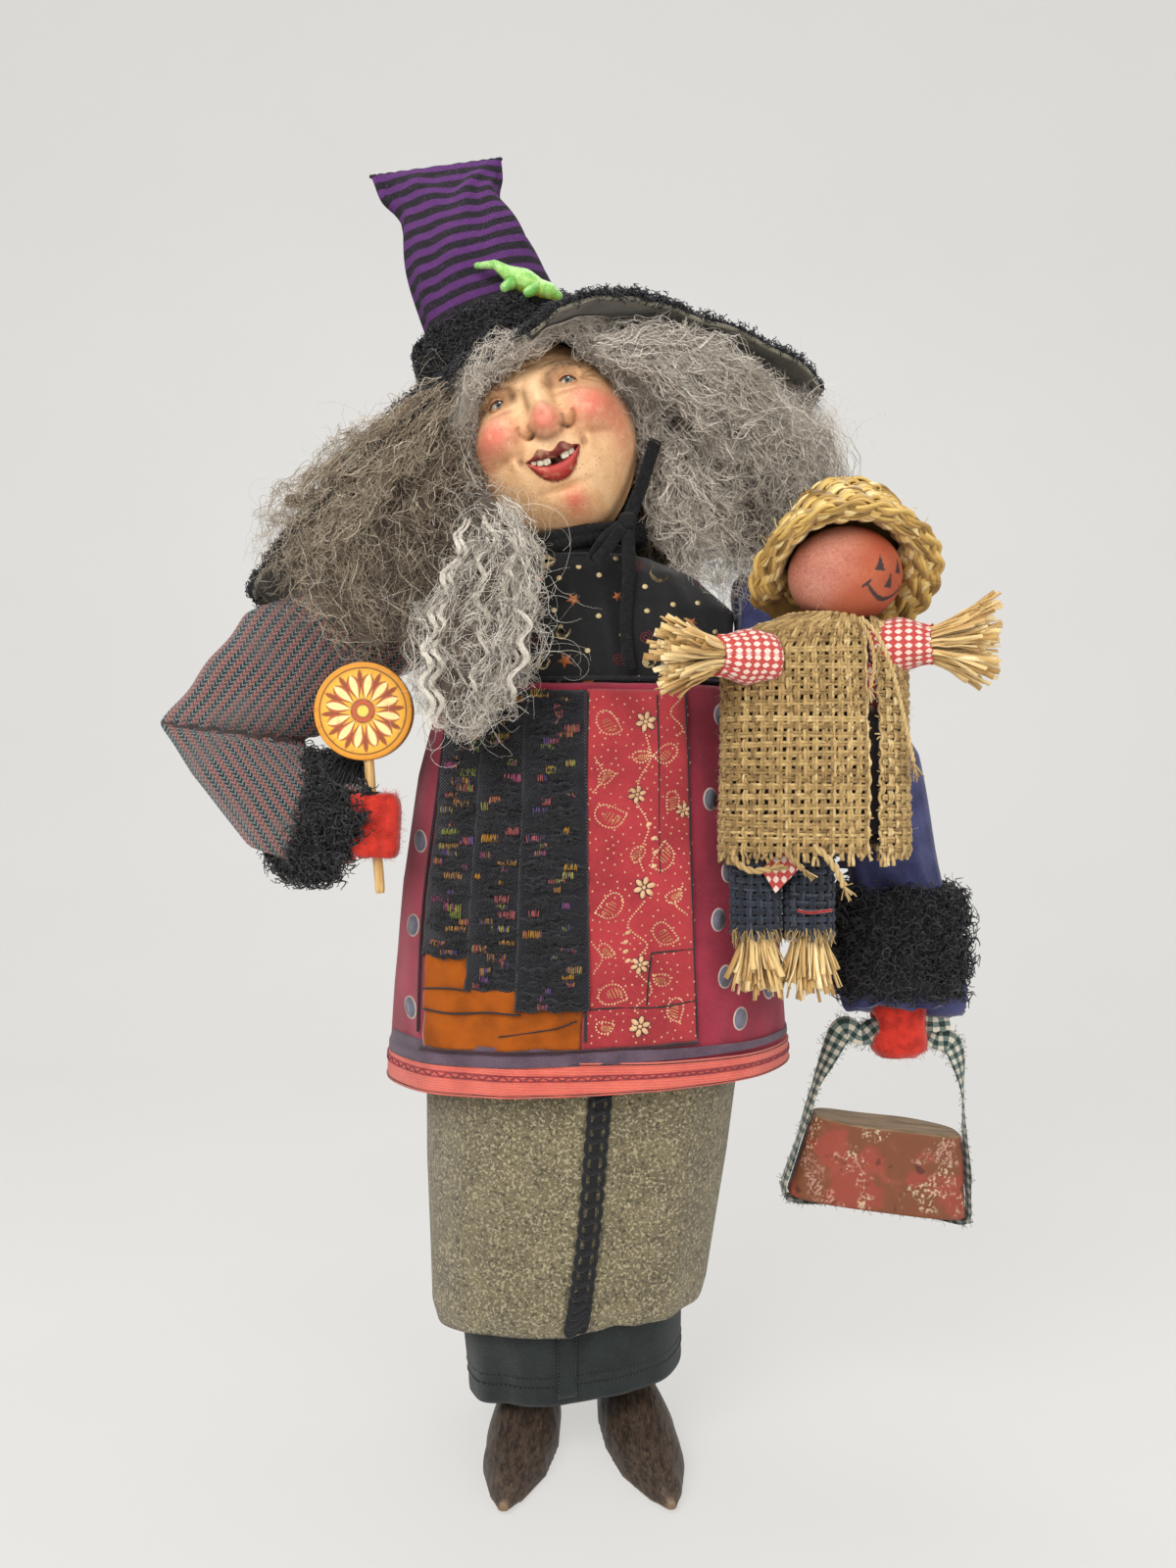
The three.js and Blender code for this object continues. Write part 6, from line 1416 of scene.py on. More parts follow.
    teeth = Pile()
    for x, wide, drop in (
        (-9.4, 1.3, 0.5), (-6.8, 1.5, 0.3), (-3.8, 1.7, 0.6), (4.6, 1.9, 0.5), (7.8, 1.5, 0.2)
    ):
        _, upper, lower, _ = lip_lines(np.array([x]))
        y = -41 * math.sqrt(1 - (x / 38.2) ** 2 - (17 / 47) ** 2) + 0.6
        tall = (upper[0] - lower[0]) / 2 + 0.5
        middle, sizes = np.array([x, y, (upper[0] + lower[0]) / 2 + drop]), np.array([wide, 1.0, tall])
        points, faces = blob(middle, sizes, 14, 22)
        round_off = (points - middle) / sizes
        points = middle + sizes * np.sign(round_off) * np.abs(round_off) ** 0.62
        teeth.add(*faced((points, faces)))
    ivory = Finish("teeth_ivory", Roughness=0.3)
    ivory.colour(ivory.clouds("#d3cbb8", "#a3967b", 0.4, 0.7, 1.2, 3))
    ivory.bump(ivory.noise(0.8, 2), 0.05)
    teeth.build("teeth", ivory, slot="clay")

    wild = np.random.default_rng(14)
    hairs = []
    for side in (-1, 1):
        for _ in range(130):
            share = wild.random()
            x = EYE_MIDDLE + side * (7.5 + 16 * share)
            z = EYE_Z + 4.6 + 2.2 * math.sin(math.pi * share) + wild.normal(0, 0.9)
            start = np.array([x, skin_y(x, z) + 0.2, z])
            way = np.array([side * wild.uniform(0.6, 1.2), -0.25, wild.uniform(-0.1, 0.7)])
            t = np.linspace(0, 1, 5)[:, None]
            hairs.append(
                start + t * way * wild.uniform(1.6, 3.2) + t**2 * np.array([side * 0.3, 0.7, -0.3])
            )
    paths = from_face(np.array(hairs))
    brow = fibre("brow_hair", (0.0, "#4a3322"), (1.0, "#8a6c4c"))
    taper = 0.07 * np.linspace(1, 0.4, 5)
    make_strands("eyebrow_hairs", paths, taper, wild.random(len(paths)), brow, "figure", "clay")


CROWN = np.array(
    [
        (36.0, -11.0, 33.0, 31.0, 2.0, 0.0),
        (63.0, -11.0, 33.0, 29.0, 2.0, 0.0),
        (97.0, -12.6, 31.0, 24.0, 2.2, 0.0),
        (123.6, -13.3, 24.5, 15.0, 2.3, -0.126),
        (135.8, -13.7, 28.4, 8.2, 2.3, -0.162),
        (146.0, -14.0, 31.0, 2.2, 2.6, -0.18),
    ]
)  # height, side shift, half width, half depth, squareness and slope of the crown's rounds


def crown_rings(rows, around):
    z, x, wide, deep, power, slope = spline(CROWN, rows).T[..., None]
    turn = TAU * np.arange(around) / around + TAU / 4
    cos, sin = np.cos(turn)[None], np.sin(turn)[None]
    across = np.sign(cos) * np.abs(cos) ** (2 / power) * wide
    back = np.sign(sin) * np.abs(sin) ** (2 / power) * np.maximum(deep, 0.5)
    return np.stack([x + across, HAT[1] + back, z + slope * across], axis=-1), z


def add_crown():
    rows, around = 120, 220
    rings, height = crown_rings(rows, around)
    share = np.linspace(0, 1, rows)[:, None]
    cloth = Cloth(rings, 36.0, 0.0, -11.0)
    soft = np.sin(math.pi * np.clip(share, 0.0, 1.0)) ** 0.8
    cloth.push(soft * ripple((rows, around), ((5, 2.2, 1.5), (11, 4.0, 0.6)), 40) - 0.2)
    lie = cloth.lie()
    lie[..., 1] = height
    knit = Finish("striped_knit", Roughness=0.95, Sheen_Weight=0.12)
    across, along, _ = knit.parts(knit.vector("lie"))
    column = knit.off_middle(across, 1.15)
    stitch = knit.sine(knit.math("MULTIPLY_ADD", column, 1.5, along), 0.95)
    rib = knit.math("SUBTRACT", 1.0, knit.math("MULTIPLY", column, 1.7))
    stripe = knit.sine(knit.math("ADD", along, knit.math("MULTIPLY", knit.noise(12, 2), 1.6)), 7.2, 0.6)
    tone = knit.mix(knit.between(stripe, -0.08, 0.17), "#17131b", "#6f3184")
    tone = knit.specks(tone, "#8c4d9d", 0.3, 0.5, 0.75, 1.4, 3)
    # Painted shade in the grooves between the knit columns
    tone = knit.tint(tone, "#0b060e", 0.55, column, 0.3, 0.5)
    knit.colour(tone).bump(rib, 0.45).bump(stitch, 0.25).bump(knit.noise(3, 3), 0.2)
    points = from_head(cloth.rings).reshape(-1, 3)
    top = np.arange(around)[None] + (rows - 1) * around
    foot = np.arange(around)[::-1][None]
    crown = make(
        "sock_crown", points, [grid_faces(rows, around, True), top, foot], knit, "figure", ["hat_crown"],
        lie=lie.reshape(-1, 3)
    )
    # A cord along the top seam, from end to end
    seam = Pile()
    last = cloth.rings[-1]
    order = np.argsort(last[:, 0])
    ridge = spline(last[order][::12], 60)
    ridge[:, 2] += 0.3
    ridge[:, 1] = HAT[1] + 0.4 * np.sin(np.arange(60) * 1.4)
    points, faces = tubes(from_head(ridge)[None], 0.9, 6)
    seam.add(points, faces, shade=np.full(len(points), 0.4))
    seam.build("crown_top_seam", BLACK_YARN, slot="striped_knit")


BRIM = (
    (138, 50), (133, 53), (124, 49), (118, 48), (124, 51), (136, 57),
    (148, 62), (96, 40), (58, 13), (52, 8), (78, 4), (92, 14),
)  # reach and droop every 30 degrees from the left hand's side, by the back
BRIM_HOLE = 33.4


def brim_grid(rows, around, height):
    """The brim's cloth from the crown out to its edge, in the head's frame."""
    compass = np.array(BRIM, float)
    ringed = np.concatenate([compass[-2:], compass, compass[:3]])
    step = around // len(compass)
    reach, droop = spline(ringed, (len(ringed) - 1) * step + 1)[2 * step : 2 * step + around].T
    turn = TAU * np.arange(around) / around
    share = np.linspace(0, 1, rows)[:, None]
    radius = BRIM_HOLE + share * (reach - BRIM_HOLE)
    z = HAT[2] - droop * share**1.6 + height
    wave = share**1.5 * ripple((rows, around), ((9, 0.3, 1.5), (21, 1.0, 0.6)), 51)
    return np.stack([HAT[0] + radius * np.cos(turn), HAT[1] + radius * np.sin(turn), z + wave], axis=-1)


def add_brim():
    rows, around = 36, 324
    top = brim_grid(rows, around, 0.0)
    boucle = Finish("brim_boucle", Roughness=0.95, Sheen_Weight=0.2)
    lumps = boucle.cells(2.6)
    tone = boucle.mix(boucle.between(lumps, 0.15, 0.55), "#1b1b1e", "#060607")
    boucle.colour(boucle.mix(boucle.math("MULTIPLY", boucle.noise(0.7, 3), 0.35), tone, "#303035"))
    boucle.bump(lumps, 1.1).bump(boucle.noise(1.0, 4), 0.5)
    out = unit(np.cross(np.gradient(top, axis=0), np.roll(top, -1, 1) - np.roll(top, 1, 1)))
    points, faces = shell(top, out, 2.2, True)
    turned = [np.concatenate([block[:, ::-1] for block in faces])]
    brim = make("brim_cloth", from_head(points), turned, boucle, "figure", ["hat_brim"])
    lining = woven(
        "olive_lining", "#5f5a4c", "#7d776a", "#46423a", pitch=0.55, depth=0.18, lie="place", patch=20
    )
    under = brim_grid(rows, around, -3.0)
    points, faces = shell(under, out, 0.8, True)
    turned = [np.concatenate([block[:, ::-1] for block in faces])]
    lined = make("brim_lining_cloth", from_head(points), turned, lining, "figure", ["brim_lining"])
    # Fuzzy loops on the upper face and round the edge
    wild = np.random.default_rng(61)
    count = 2900
    row = (rows - 1) * np.sqrt(wild.random(count)) * 0.999
    column = wild.integers(0, around, count)
    low = row.astype(int)
    near = (
        top[low, column]
        + (row - low)[:, None] * (top[np.minimum(low + 1, rows - 1), column] - top[low, column])
    )
    root = from_head(near + wild.normal(0, 0.4, (count, 3)))
    up = from_head(near + out[low, column]) - from_head(near)
    make_curls(
        "brim_loops", root, up, 2.6, 1.1, 0.36, BLACK_YARN, "figure", 62, slot="black_boucle", steps=8,
        lay=1.1
    )
    edge = top[-1]
    count = 2200
    share = wild.random(count) * around
    first = share.astype(int) % around
    spot = edge[first] + (share - share.astype(int))[:, None] * (edge[(first + 1) % around] - edge[first])
    away = unit(spot - HAT)
    spot = spot + wild.normal(0, 0.7, spot.shape) - (0, 0, 0.8)
    root = from_head(spot)
    make_curls(
        "brim_edge_loops", root, from_head(spot + away) - root, 3.4, 1.2, 0.38, BLACK_YARN, "figure", 63,
        slot="black_boucle", steps=8, lay=1.0
    )
    # The lining is turned over the edge, in a lighter copy of its cloth: painted light on the turned edge
    rim = from_head(brim_grid(rows, around, -2.7)[-1])
    welt = woven("lining_welt_painted_light", "#8b8573", "#a9a391", "#5c584b", pitch=0.5, lie="place")
    points, faces = tubes(np.concatenate([rim, rim[:1]])[None], 1.0, 8)
    make("brim_lining_edge", points, faces, welt, "figure", slot="olive_lining")


def add_band():
    base = softened("band_base", ["hat_band"], 1.6, 8, BLACK_YARN, "figure", swell=-0.8)
    add_channel(base.data, "shade", np.full(len(base.data.vertices), 0.15))

    def outside(points, out):
        return np.einsum("ij,ij->i", points - from_head(HAT), out) > 0

    root, out = scatter("hat_band", 2500, 64, outside)
    make_curls(
        "band_loops", root - 0.8 * out, out, 3.2, 1.35, 0.4, BLACK_YARN, "figure", 65, slot="black_boucle",
        steps=8, lay=1.0
    )


def add_lizard():
    rubber = Finish(
        "green_rubber", Roughness=0.25, Specular_IOR_Level=0.5, Transmission_Weight=0.1, IOR=1.4
    )
    rubber.set(Subsurface_Weight=0.3, Subsurface_Scale=0.3)
    tone = rubber.clouds("#76bd4c", "#b4e07f", 0.35, 0.7, 5, 2)
    rubber.colour(rubber.mix(rubber.between(rubber.cells(1.3), 0.3, 0.1), tone, "#58993a"))
    rubber.bump(rubber.cells(0.9), 0.25)
    lizard = softened("rubber_lizard", ["lizard"], 0.55, 5, rubber, "figure", swell=0.8)
    points, out = points_of(lizard), normals_of(lizard)
    middle = points.mean(0)
    belly = bell(np.linalg.norm(points - middle, axis=1), 0, 9)
    points = points + out * (1.7 * belly)[:, None]
    reshape(lizard, points)
    eyes = Pile()
    nose = points[np.argmax(points[:, 0] - 0.6 * points[:, 2])]
    for side in (-1.4, 1.6):
        eyes.add(*blob(nose + np.array([-3.2, side - 0.8, 2.3]), (0.7, 0.7, 0.7), 8, 10))
    jet = two_tone("lizard_eye", "#0b0b0b", "#1c1a14", 0.4, Roughness=0.1)
    eyes.build("lizard_eyes", jet, slot="green_rubber")


def add_collar():
    centre, wide, deep, rise = np.array([-4.0, -8.0, 419.4]), 29.0, 25.0, 5.2
    t = np.linspace(0, TAU, 420)
    loops = 21
    strands = []
    for phase in (0, TAU / 3, 2 * TAU / 3):
        weave = loops * t + phase
        out = 1 + 1.5 * np.sin(2 * weave) / 27
        ring = [wide * out * np.cos(t), deep * out * np.sin(t), rise * np.cos(t) + 2.9 * np.sin(weave)]
        strands.append(np.stack(ring, axis=1) + centre)
    points, faces = tubes(np.array(strands), 2.1, 8)
    braid = Finish("collar_braid", Roughness=0.8, Sheen_Weight=0.05)
    lines = braid.sine(braid.math("ADD", braid.parts()[0], braid.parts()[2]), 0.9)
    braid.colour(braid.clouds("#060607", "#1a1a1d", 0.4, 0.7, 0.8, 3))
    braid.bump(lines, 0.25).bump(braid.noise(0.6, 3), 0.2)
    make("collar_braid", points, faces, braid, "figure", ["collar"])
    under = [wide * 0.95 * np.cos(t), deep * 0.95 * np.sin(t), rise * np.cos(t)]
    core = tubes(np.stack(under, axis=1)[None] + centre, 2.6, 8)
    make("collar_core", *core, braid, "figure", slot="black_braid")

    knot = np.array([17.8, -34.2, 425.6])
    grosgrain = Finish("black_ribbon", Roughness=0.6, Sheen_Weight=0.05)
    ribs = grosgrain.sine(grosgrain.parts()[2], 0.8)
    grosgrain.colour(grosgrain.clouds("#09090a", "#1b1b1e", 0.4, 0.7, 3, 3))
    grosgrain.bump(ribs, 0.15).bump(grosgrain.noise(2.5, 3), 0.3)
    tie = Pile()
    strips = (
        ([(0, -1, 0), (0.6, -3.4, -20), (-0.4, -5.2, -36), (-1, -9, -50), (0.5, -15, -68)], 3.5),
        (
            [
                (0, -1, 0), (-6, -4.6, -5), (-11, -6.4, -10), (-15.5, -8, -17), (-16, -9.2, -20),
                (-12, -8.8, -17), (-2, -3, -3)
            ],
            2.9
        ),
        ([(0, 0, 0), (3.5, 0.2, 9), (7, 0.6, 18), (10, 1.6, 28), (13, 3.2, 38)], 3.5),
    )
    for stations, half in strips:
        line = spline(stations, 60) + knot
        twist = np.sin(np.linspace(0, 2.4, 60))[:, None]
        up = unit(np.array([0.25, -1.0, 0.1]) + twist * np.array([0.5, 0.0, 0.0]))
        tie.add(*tubes(line[None], half, 10, 0.11, up[None]))
    tie.add(*blob(knot + (0, -1.2, 0.3), (4.4, 3.0, 4.2), 16, 22))
    tie.build("ribbon_bow", grosgrain, replaces=["ribbon_tie"])


# Hair. A station of a lock is x, y, z, half its width and half its depth, from the root to the tip
HAIR_RIGHT = (
    (-48, -20, 494, 12, 14), (-76, -32, 462, 34, 20), (-96, -36, 428, 42, 16),
    (-92, -36, 392, 36, 8), (-84, -38, 366, 16, 5),
)
HAIR_LEFT = (
    (20, -4, 500, 12, 14), (52, -2, 484, 26, 18), (86, 4, 455, 38, 19),
    (84, 4, 425, 32, 19), (80, 4, 408, 14, 10),
)
HAIR_BACK = (
    (-16, 34, 490, 34, 12), (-14, 40, 450, 52, 16), (-8, 44, 415, 58, 16),
    (-4, 50, 380, 46, 12), (-2, 56, 356, 18, 4),
)
HAIR_NAPE = (
    (20, 20, 494, 12, 8), (28, 24, 468, 17, 9), (32, 27, 444, 20, 9),
    (34, 30, 420, 20, 9), (34, 34, 398, 15, 7), (30, 38, 376, 8, 4),
)
FRONT_LOCK = (
    (-52, -42, 436, 10, 8), (-38, -55, 421, 11, 6), (-38, -64, 400, 18, 8),
    (-46, -72, 370, 26, 9), (-52, -76, 345, 22, 7), (-54, -78, 328, 8, 3),
)
OVER_BRIM = (
    (-58, -62, 478, 6, 3), (-82, -60, 456, 12, 4), (-108, -52, 436, 15, 5),
    (-130, -44, 416, 16, 5), (-146, -34, 398, 10, 4),
)
# Locks with the count of their strands before their stations
CRIMPED = (
    (200, (-46, -50, 428, 3.5, 3), (-40, -62, 414, 5, 3.5), (-44, -70, 392, 5.5, 4),
        (-41, -78, 366, 6, 4), (-49, -82, 340, 5, 4)),
    (200, (-40, -50, 430, 3, 3), (-30, -60, 416, 4.5, 3.5), (-32, -69, 394, 5, 4),
        (-26, -77, 368, 5.5, 4), (-33, -82, 342, 4, 3)),
    (160, (-52, -48, 424, 3.5, 3), (-54, -62, 404, 5, 4), (-60, -72, 376, 7, 4),
        (-62, -80, 350, 8, 4), (-60, -82, 330, 5, 3)),
)
# Fringe and temples, laid out in the head's frame
TEMPLES = (
    ("temple_left", 330, (10, -38, 41, 3, 2), (22, -38, 34, 5, 3), (33, -31, 20, 6, 4),
        (40, -21, 4, 7, 5), (43, -13, -16, 7, 5)),
    ("temple_right", 330, (-16, -40, 38, 3, 2), (-28, -38, 31, 4, 2.5), (-38, -30, 18, 4, 3),
        (-43, -22, 2, 5, 4), (-43, -18, -18, 8, 5)),
    ("fringe", 210, (24, -36, 40, 4, 2), (6, -42, 37, 5, 2), (-8, -43, 34, 4.5, 2),
        (-20, -41, 30, 4.5, 2), (-31, -36, 24, 4, 2)),
)
# Hair swept to the left hand's side below the brim, and the lock behind the jaw
SWEPT = (
    ("swept_left", 800, (2, -58, 496, 4, 3), (24, -54, 497, 9, 4), (50, -42, 489, 16, 6),
        (76, -24, 470, 22, 8), (90, -12, 446, 22, 9), (90, -4, 426, 12, 7)),
    ("behind_jaw", 520, (24, -16, 486, 10, 8), (38, -18, 460, 14, 9), (48, -16, 434, 16, 10),
        (61, -15, 411, 17, 8), (67, -17, 390, 13, 5)),
)


def under_brim(paths, room=5.2):
    """Holds hair below the brim's lining."""
    around = 324
    edge = brim_grid(2, around, 0.0)[1]
    moved = paths - HEAD_CENTRE
    cos, sin = math.cos(HEAD_TILT), math.sin(HEAD_TILT)
    x = moved[..., 0] * cos - moved[..., 2] * sin
    z = moved[..., 0] * sin + moved[..., 2] * cos
    off_x, off_y = x - HAT[0], moved[..., 1] - HAT[1]
    column = ((np.arctan2(off_y, off_x) / TAU) % 1 * around).astype(int) % around
    reach = np.hypot(edge[column, 0] - HAT[0], edge[column, 1] - HAT[1])
    droop = HAT[2] - edge[column, 2]
    share = (np.hypot(off_x, off_y) - BRIM_HOLE) / (reach - BRIM_HOLE)
    lid = HAT[2] - droop * np.clip(share, 0, 1) ** 1.6 - room
    over = np.maximum(z - lid, 0) * (share < 1.0)
    held = np.stack([x, moved[..., 1], z - 0.97 * over], axis=-1)
    return from_head(held)


def lock_paths(
    stations, count, steps, seed, frizz=1.0, wave=1.0, start=(0.0, 0.15), length=(0.5, 1.0), spread=1.0,
    fill=0.4, per_wisp=9
):
    """Strands that run down a lock in wisps, each with its own waves and frizz."""
    wild = np.random.default_rng(seed)
    line = spline(stations, 160)
    centre, wide, deep = line[:, :3], line[:, 3], line[:, 4]
    way = unit(np.gradient(centre, axis=0) * (1, 0, 1))
    side = np.stack([-way[:, 2], 0 * way[:, 1], way[:, 0]], axis=1)
    along = np.concatenate([[0], np.cumsum(np.linalg.norm(np.diff(centre, axis=0), axis=1))])
    wisps = max(1, count // per_wisp)
    wisp = wild.integers(0, wisps, count)
    radius, angle = wild.random(wisps) ** fill * spread, wild.random(wisps) * TAU
    first = wild.uniform(*start, count)
    last = np.minimum(1, first + wild.uniform(*length, count))
    t = first[:, None] + (last - first)[:, None] * np.linspace(0, 1, steps)
    place = t * 159
    low = np.minimum(place.astype(int), 158)
    share = (place - low)[..., None]

    def along_line(values):
        values = values if values.ndim == 2 else values[:, None]
        return values[low] * (1 - share) + values[low + 1] * share

    a = (radius * np.cos(angle))[wisp][:, None] + wild.normal(0, 0.06, (count, 1))
    b = (radius * np.sin(angle))[wisp][:, None] + wild.normal(0, 0.06, (count, 1))
    paths = along_line(centre) + (a * along_line(wide)[..., 0])[..., None] * along_line(side)
    paths[..., 1] += b * along_line(deep)[..., 0]
    s = along_line(along)[..., 0]
    grow = np.clip((t - first[:, None]) / 0.12, 0, 1)
    tiers = (
        (4.0 * wave, 26, 46, True),
        (3.1 * wave, 11, 18, True),
        (1.5 * frizz, 6, 10, False),
        (0.7 * frizz, 4.2, 6.0, False),
    )
    for size, low_wave, high_wave, shared in tiers:
        many = wisps if shared else count
        pick = wisp if shared else np.arange(count)
        for axis in range(3):
            period = wild.uniform(low_wave, high_wave, many)[pick][:, None]
            phase = wild.random(many)[pick][:, None]
            height = size * wild.uniform(0.3, 1.0, many)[pick][:, None] * (0.45 if axis == 1 else 1.0)
            paths[..., axis] += grow * height * np.sin(TAU * (s / period + phase))
    return paths


def add_strands(name, paths, thick, finish, seed, slot, shade=(0.0, 1.0)):
    """Strands as meshes of a limited size each."""
    wild = np.random.default_rng(seed)
    steps = paths.shape[1]
    taper = 1 - 0.55 * np.linspace(0, 1, steps) ** 2
    for index, first in enumerate(range(0, len(paths), STRANDS_PER_MESH)):
        part = paths[first : first + STRANDS_PER_MESH]
        radius = wild.uniform(*thick, (len(part), 1)) * taper
        tone = wild.uniform(*shade, len(part))
        make_strands(f"{name}_{index + 1}", part, radius, tone, finish, "figure", slot)


def flyaways(roots, ways, count, seed, length=(18, 48), steps=19, curl=0.09):
    """Loose hairs that wander away from the mass."""
    wild = np.random.default_rng(seed)
    pick = wild.integers(0, len(roots), count)
    at = roots[pick].astype(float)
    heading = unit(ways[pick] + 0.5 * wild.normal(size=(count, 3)) * (1, 0.5, 1))
    spin = wild.normal(0, curl, (count, 3))
    long = wild.uniform(*length, (count, 1)) / steps
    paths = [at]
    for _ in range(steps - 1):
        spin = 0.9 * spin + wild.normal(0, 0.05, (count, 3))
        heading = unit(heading + np.cross(spin * 2.2, heading))
        at = at + long * heading
        paths.append(at)
    return np.stack(paths, axis=1)


def add_hair():
    brown = fibre(
        "brown_wool", (0.0, "#40352b"), (0.4, "#877660"), (0.75, "#b9a78e"), (1.0, "#e4d7c1"), rough=0.5
    )
    grey = fibre(
        "grey_wool", (0.0, "#51483f"), (0.35, "#a1968a"), (0.75, "#d0c5b5"), (1.0, "#f6efe2"), rough=0.5
    )
    white = fibre(
        "white_wool", (0.0, "#70675b"), (0.3, "#b7ad9e"), (0.7, "#dfd6c6"), (1.0, "#f6f2e9"), rough=0.5
    )
    core = napped("wool_core", "#5a4f45", "#7d7267", "#3a322b", patch=4, fibre=0.4, depth=0.8, sheen=0.2)
    for node, swell in (
        ("hair_right_side", -5.0), ("hair_left_side", -5.5), ("hair_back", -4.0), ("front_lock", -3.6)
    ):
        body = softened(f"{node}_core", [node], 2.6, 14, core, "figure", swell=swell)
    steps = 36
    right = lock_paths(HAIR_RIGHT, 1150, steps, 71, 1.7, 1.0, length=(0.35, 0.9), spread=0.98)
    add_strands("wool_right", under_brim(right), (0.11, 0.2), brown, 72, "grey_wool")
    left = lock_paths(HAIR_LEFT, 1100, steps, 73, 1.2, 1.4, length=(0.4, 0.95), spread=1.0)
    add_strands("wool_left", under_brim(left), (0.11, 0.2), grey, 74, "grey_wool")
    back = lock_paths(HAIR_BACK, 640, 28, 75, 1.0, 1.0, length=(0.5, 1.0))
    add_strands("wool_back", under_brim(back), (0.16, 0.28), brown, 76, "grey_wool")
    nape = lock_paths(HAIR_NAPE, 620, 28, 131, 1.0, 1.0, length=(0.5, 1.0))
    add_strands("wool_nape", under_brim(nape), (0.16, 0.28), brown, 132, "grey_wool")
    front = lock_paths(
        FRONT_LOCK, 560, steps, 77, 1.6, 1.1, start=(0.1, 0.5), length=(0.35, 0.8), spread=1.0
    )
    add_strands("wool_front", front, (0.09, 0.17), white, 78, "white_wool")
    # Crimped pale locks that fall from the jaw
    for index, (count, *stations) in enumerate(CRIMPED):
        crimped = lock_paths(
            stations, count, 42, 311 + index, 0.5, 0.0, start=(0, 0.1), length=(0.6, 1.0), fill=0.7,
            per_wisp=60
        )
        down = crimped[..., 2]
        crimped[..., 0] += (
            2.3 * np.sin(TAU * down / 17 + index + 0.9 * np.sin(down / 19)) * ease(428 - down, 0, 14)
        )
        crimped[..., 1] += 1.2 * np.cos(TAU * down / 17 + index)
        add_strands(
            f"crimped_lock_{index + 1}", crimped, (0.12, 0.2), white, 321 + index, "white_wool",
            shade=(0.35, 1.0)
        )
    for name, count, *stations in TEMPLES:
        stations = np.array(stations, float)
        moved = np.concatenate([from_head(stations[:, :3]), stations[:, 3:]], axis=1)
        paths = lock_paths(
            moved, count, 32, 79 + len(name), 1.5, 0.9, (0, 0.55), (0.25, 0.6), 1.25, per_wisp=5
        )
        add_strands(
            f"wool_{name}", under_brim(paths), (0.07, 0.12), grey, 81, "grey_wool", shade=(0.2, 1.0)
        )
    for name, count, *stations in SWEPT:
        paths = lock_paths(
            stations, count, 34, 85 + len(name), 1.5, 1.4, (0, 0.5), (0.25, 0.7), 1.1, per_wisp=7
        )
        add_strands(
            f"wool_{name}", under_brim(paths, 3.6), (0.09, 0.17), grey, 82, "grey_wool", shade=(0.25, 1.0)
        )
    # Waves laid over the brim's edge on the right hand's side
    paths = lock_paths(OVER_BRIM, 340, 32, 88, 1.6, 1.2, start=(0, 0.5), length=(0.3, 0.6), spread=1.1)
    add_strands(
        "wool_over_brim", keep_inside(paths), (0.07, 0.14), brown, 89, "grey_wool", shade=(0.2, 1.0)
    )
    for name, node, finish, count, seed in (
        ("right", "hair_right_side", brown, 470, 91),
        ("left", "hair_left_side", grey, 470, 92),
        ("front", "front_lock", white, 300, 93),
    ):
        roots, ways = scatter(node, 600, seed)
        paths = off_lollipop(flyaways(roots - 1.5 * ways, ways, count, seed))
        add_strands(
            f"flyaway_{name}", keep_inside(paths), (0.05, 0.09), finish, seed, "grey_wool", shade=(0.4, 1.0)
        )
    # Thin clouds of loose hair beyond the brim
    wild = np.random.default_rng(97)
    roots = np.stack(
        [wild.uniform(92, 116, 260), wild.uniform(-12, 10, 260), wild.uniform(432, 492, 260)], axis=1
    )
    ways = unit(
        np.stack([np.full(260, 1.0), wild.normal(0, 0.3, 260), wild.normal(0.25, 0.4, 260)], axis=1)
    )
    paths = flyaways(roots, ways, 440, 96, length=(16, 48), steps=25, curl=0.24)
    add_strands(
        "flyaway_cloud_left", keep_inside(paths), (0.05, 0.09), grey, 95, "grey_wool", shade=(0.45, 1.0)
    )
    roots = np.stack([wild.uniform(-150, -62, 260), wild.uniform(10, 34, 260), np.zeros(260)], axis=1)
    roots[:, 2] = 406 + (roots[:, 0] + 150) * 1.02 + wild.normal(0, 8, 260)
    ways = unit(np.stack([np.full(260, -0.5), wild.normal(0, 0.4, 260), np.full(260, 0.8)], axis=1))
    paths = flyaways(roots, ways, 340, 98, length=(16, 46), steps=23, curl=0.2)
    add_strands("flyaway_cloud", keep_inside(paths), (0.05, 0.08), brown, 99, "grey_wool", shade=(0.5, 1.0))


def off_lollipop(paths):
    """Leaves out loose hairs that the lollipop's disc would meet as the arm swings or the stick slides."""
    met = np.zeros(len(paths), bool)
    for lean in np.linspace(0, SHOULDER_SWING, 4):
        x, y, z = np.moveaxis(paths - RIGHT_SHOULDER, -1, 0)
        y, z = y * math.cos(lean) + z * math.sin(lean), z * math.cos(lean) - y * math.sin(lean)
        for slide in np.linspace(-LOLLIPOP_DOWN, LOLLIPOP_UP, 6):
            centre = RIGHT_HAND + (DISC_OFF + slide) * LOLLIPOP_WAY - RIGHT_SHOULDER
            level = np.abs(y - centre[1]) < DISC_HALF + DISC_ROOM
            met |= (level & (np.hypot(x - centre[0], z - centre[2]) < DISC_RADIUS + DISC_ROOM)).any(axis=1)
    return paths[~met]


def keep_inside(paths):
    """Holds loose hairs within the doll's own reach."""
    low = np.array(CAD_BOX[0]) / MM - ORIGIN - 6
    high = np.array(CAD_BOX[1]) / MM - ORIGIN + 6
    return np.clip(paths, low, high)


add_face()
add_crown()
add_brim()
add_band()
add_lizard()
add_collar()
add_hair()


# Arms


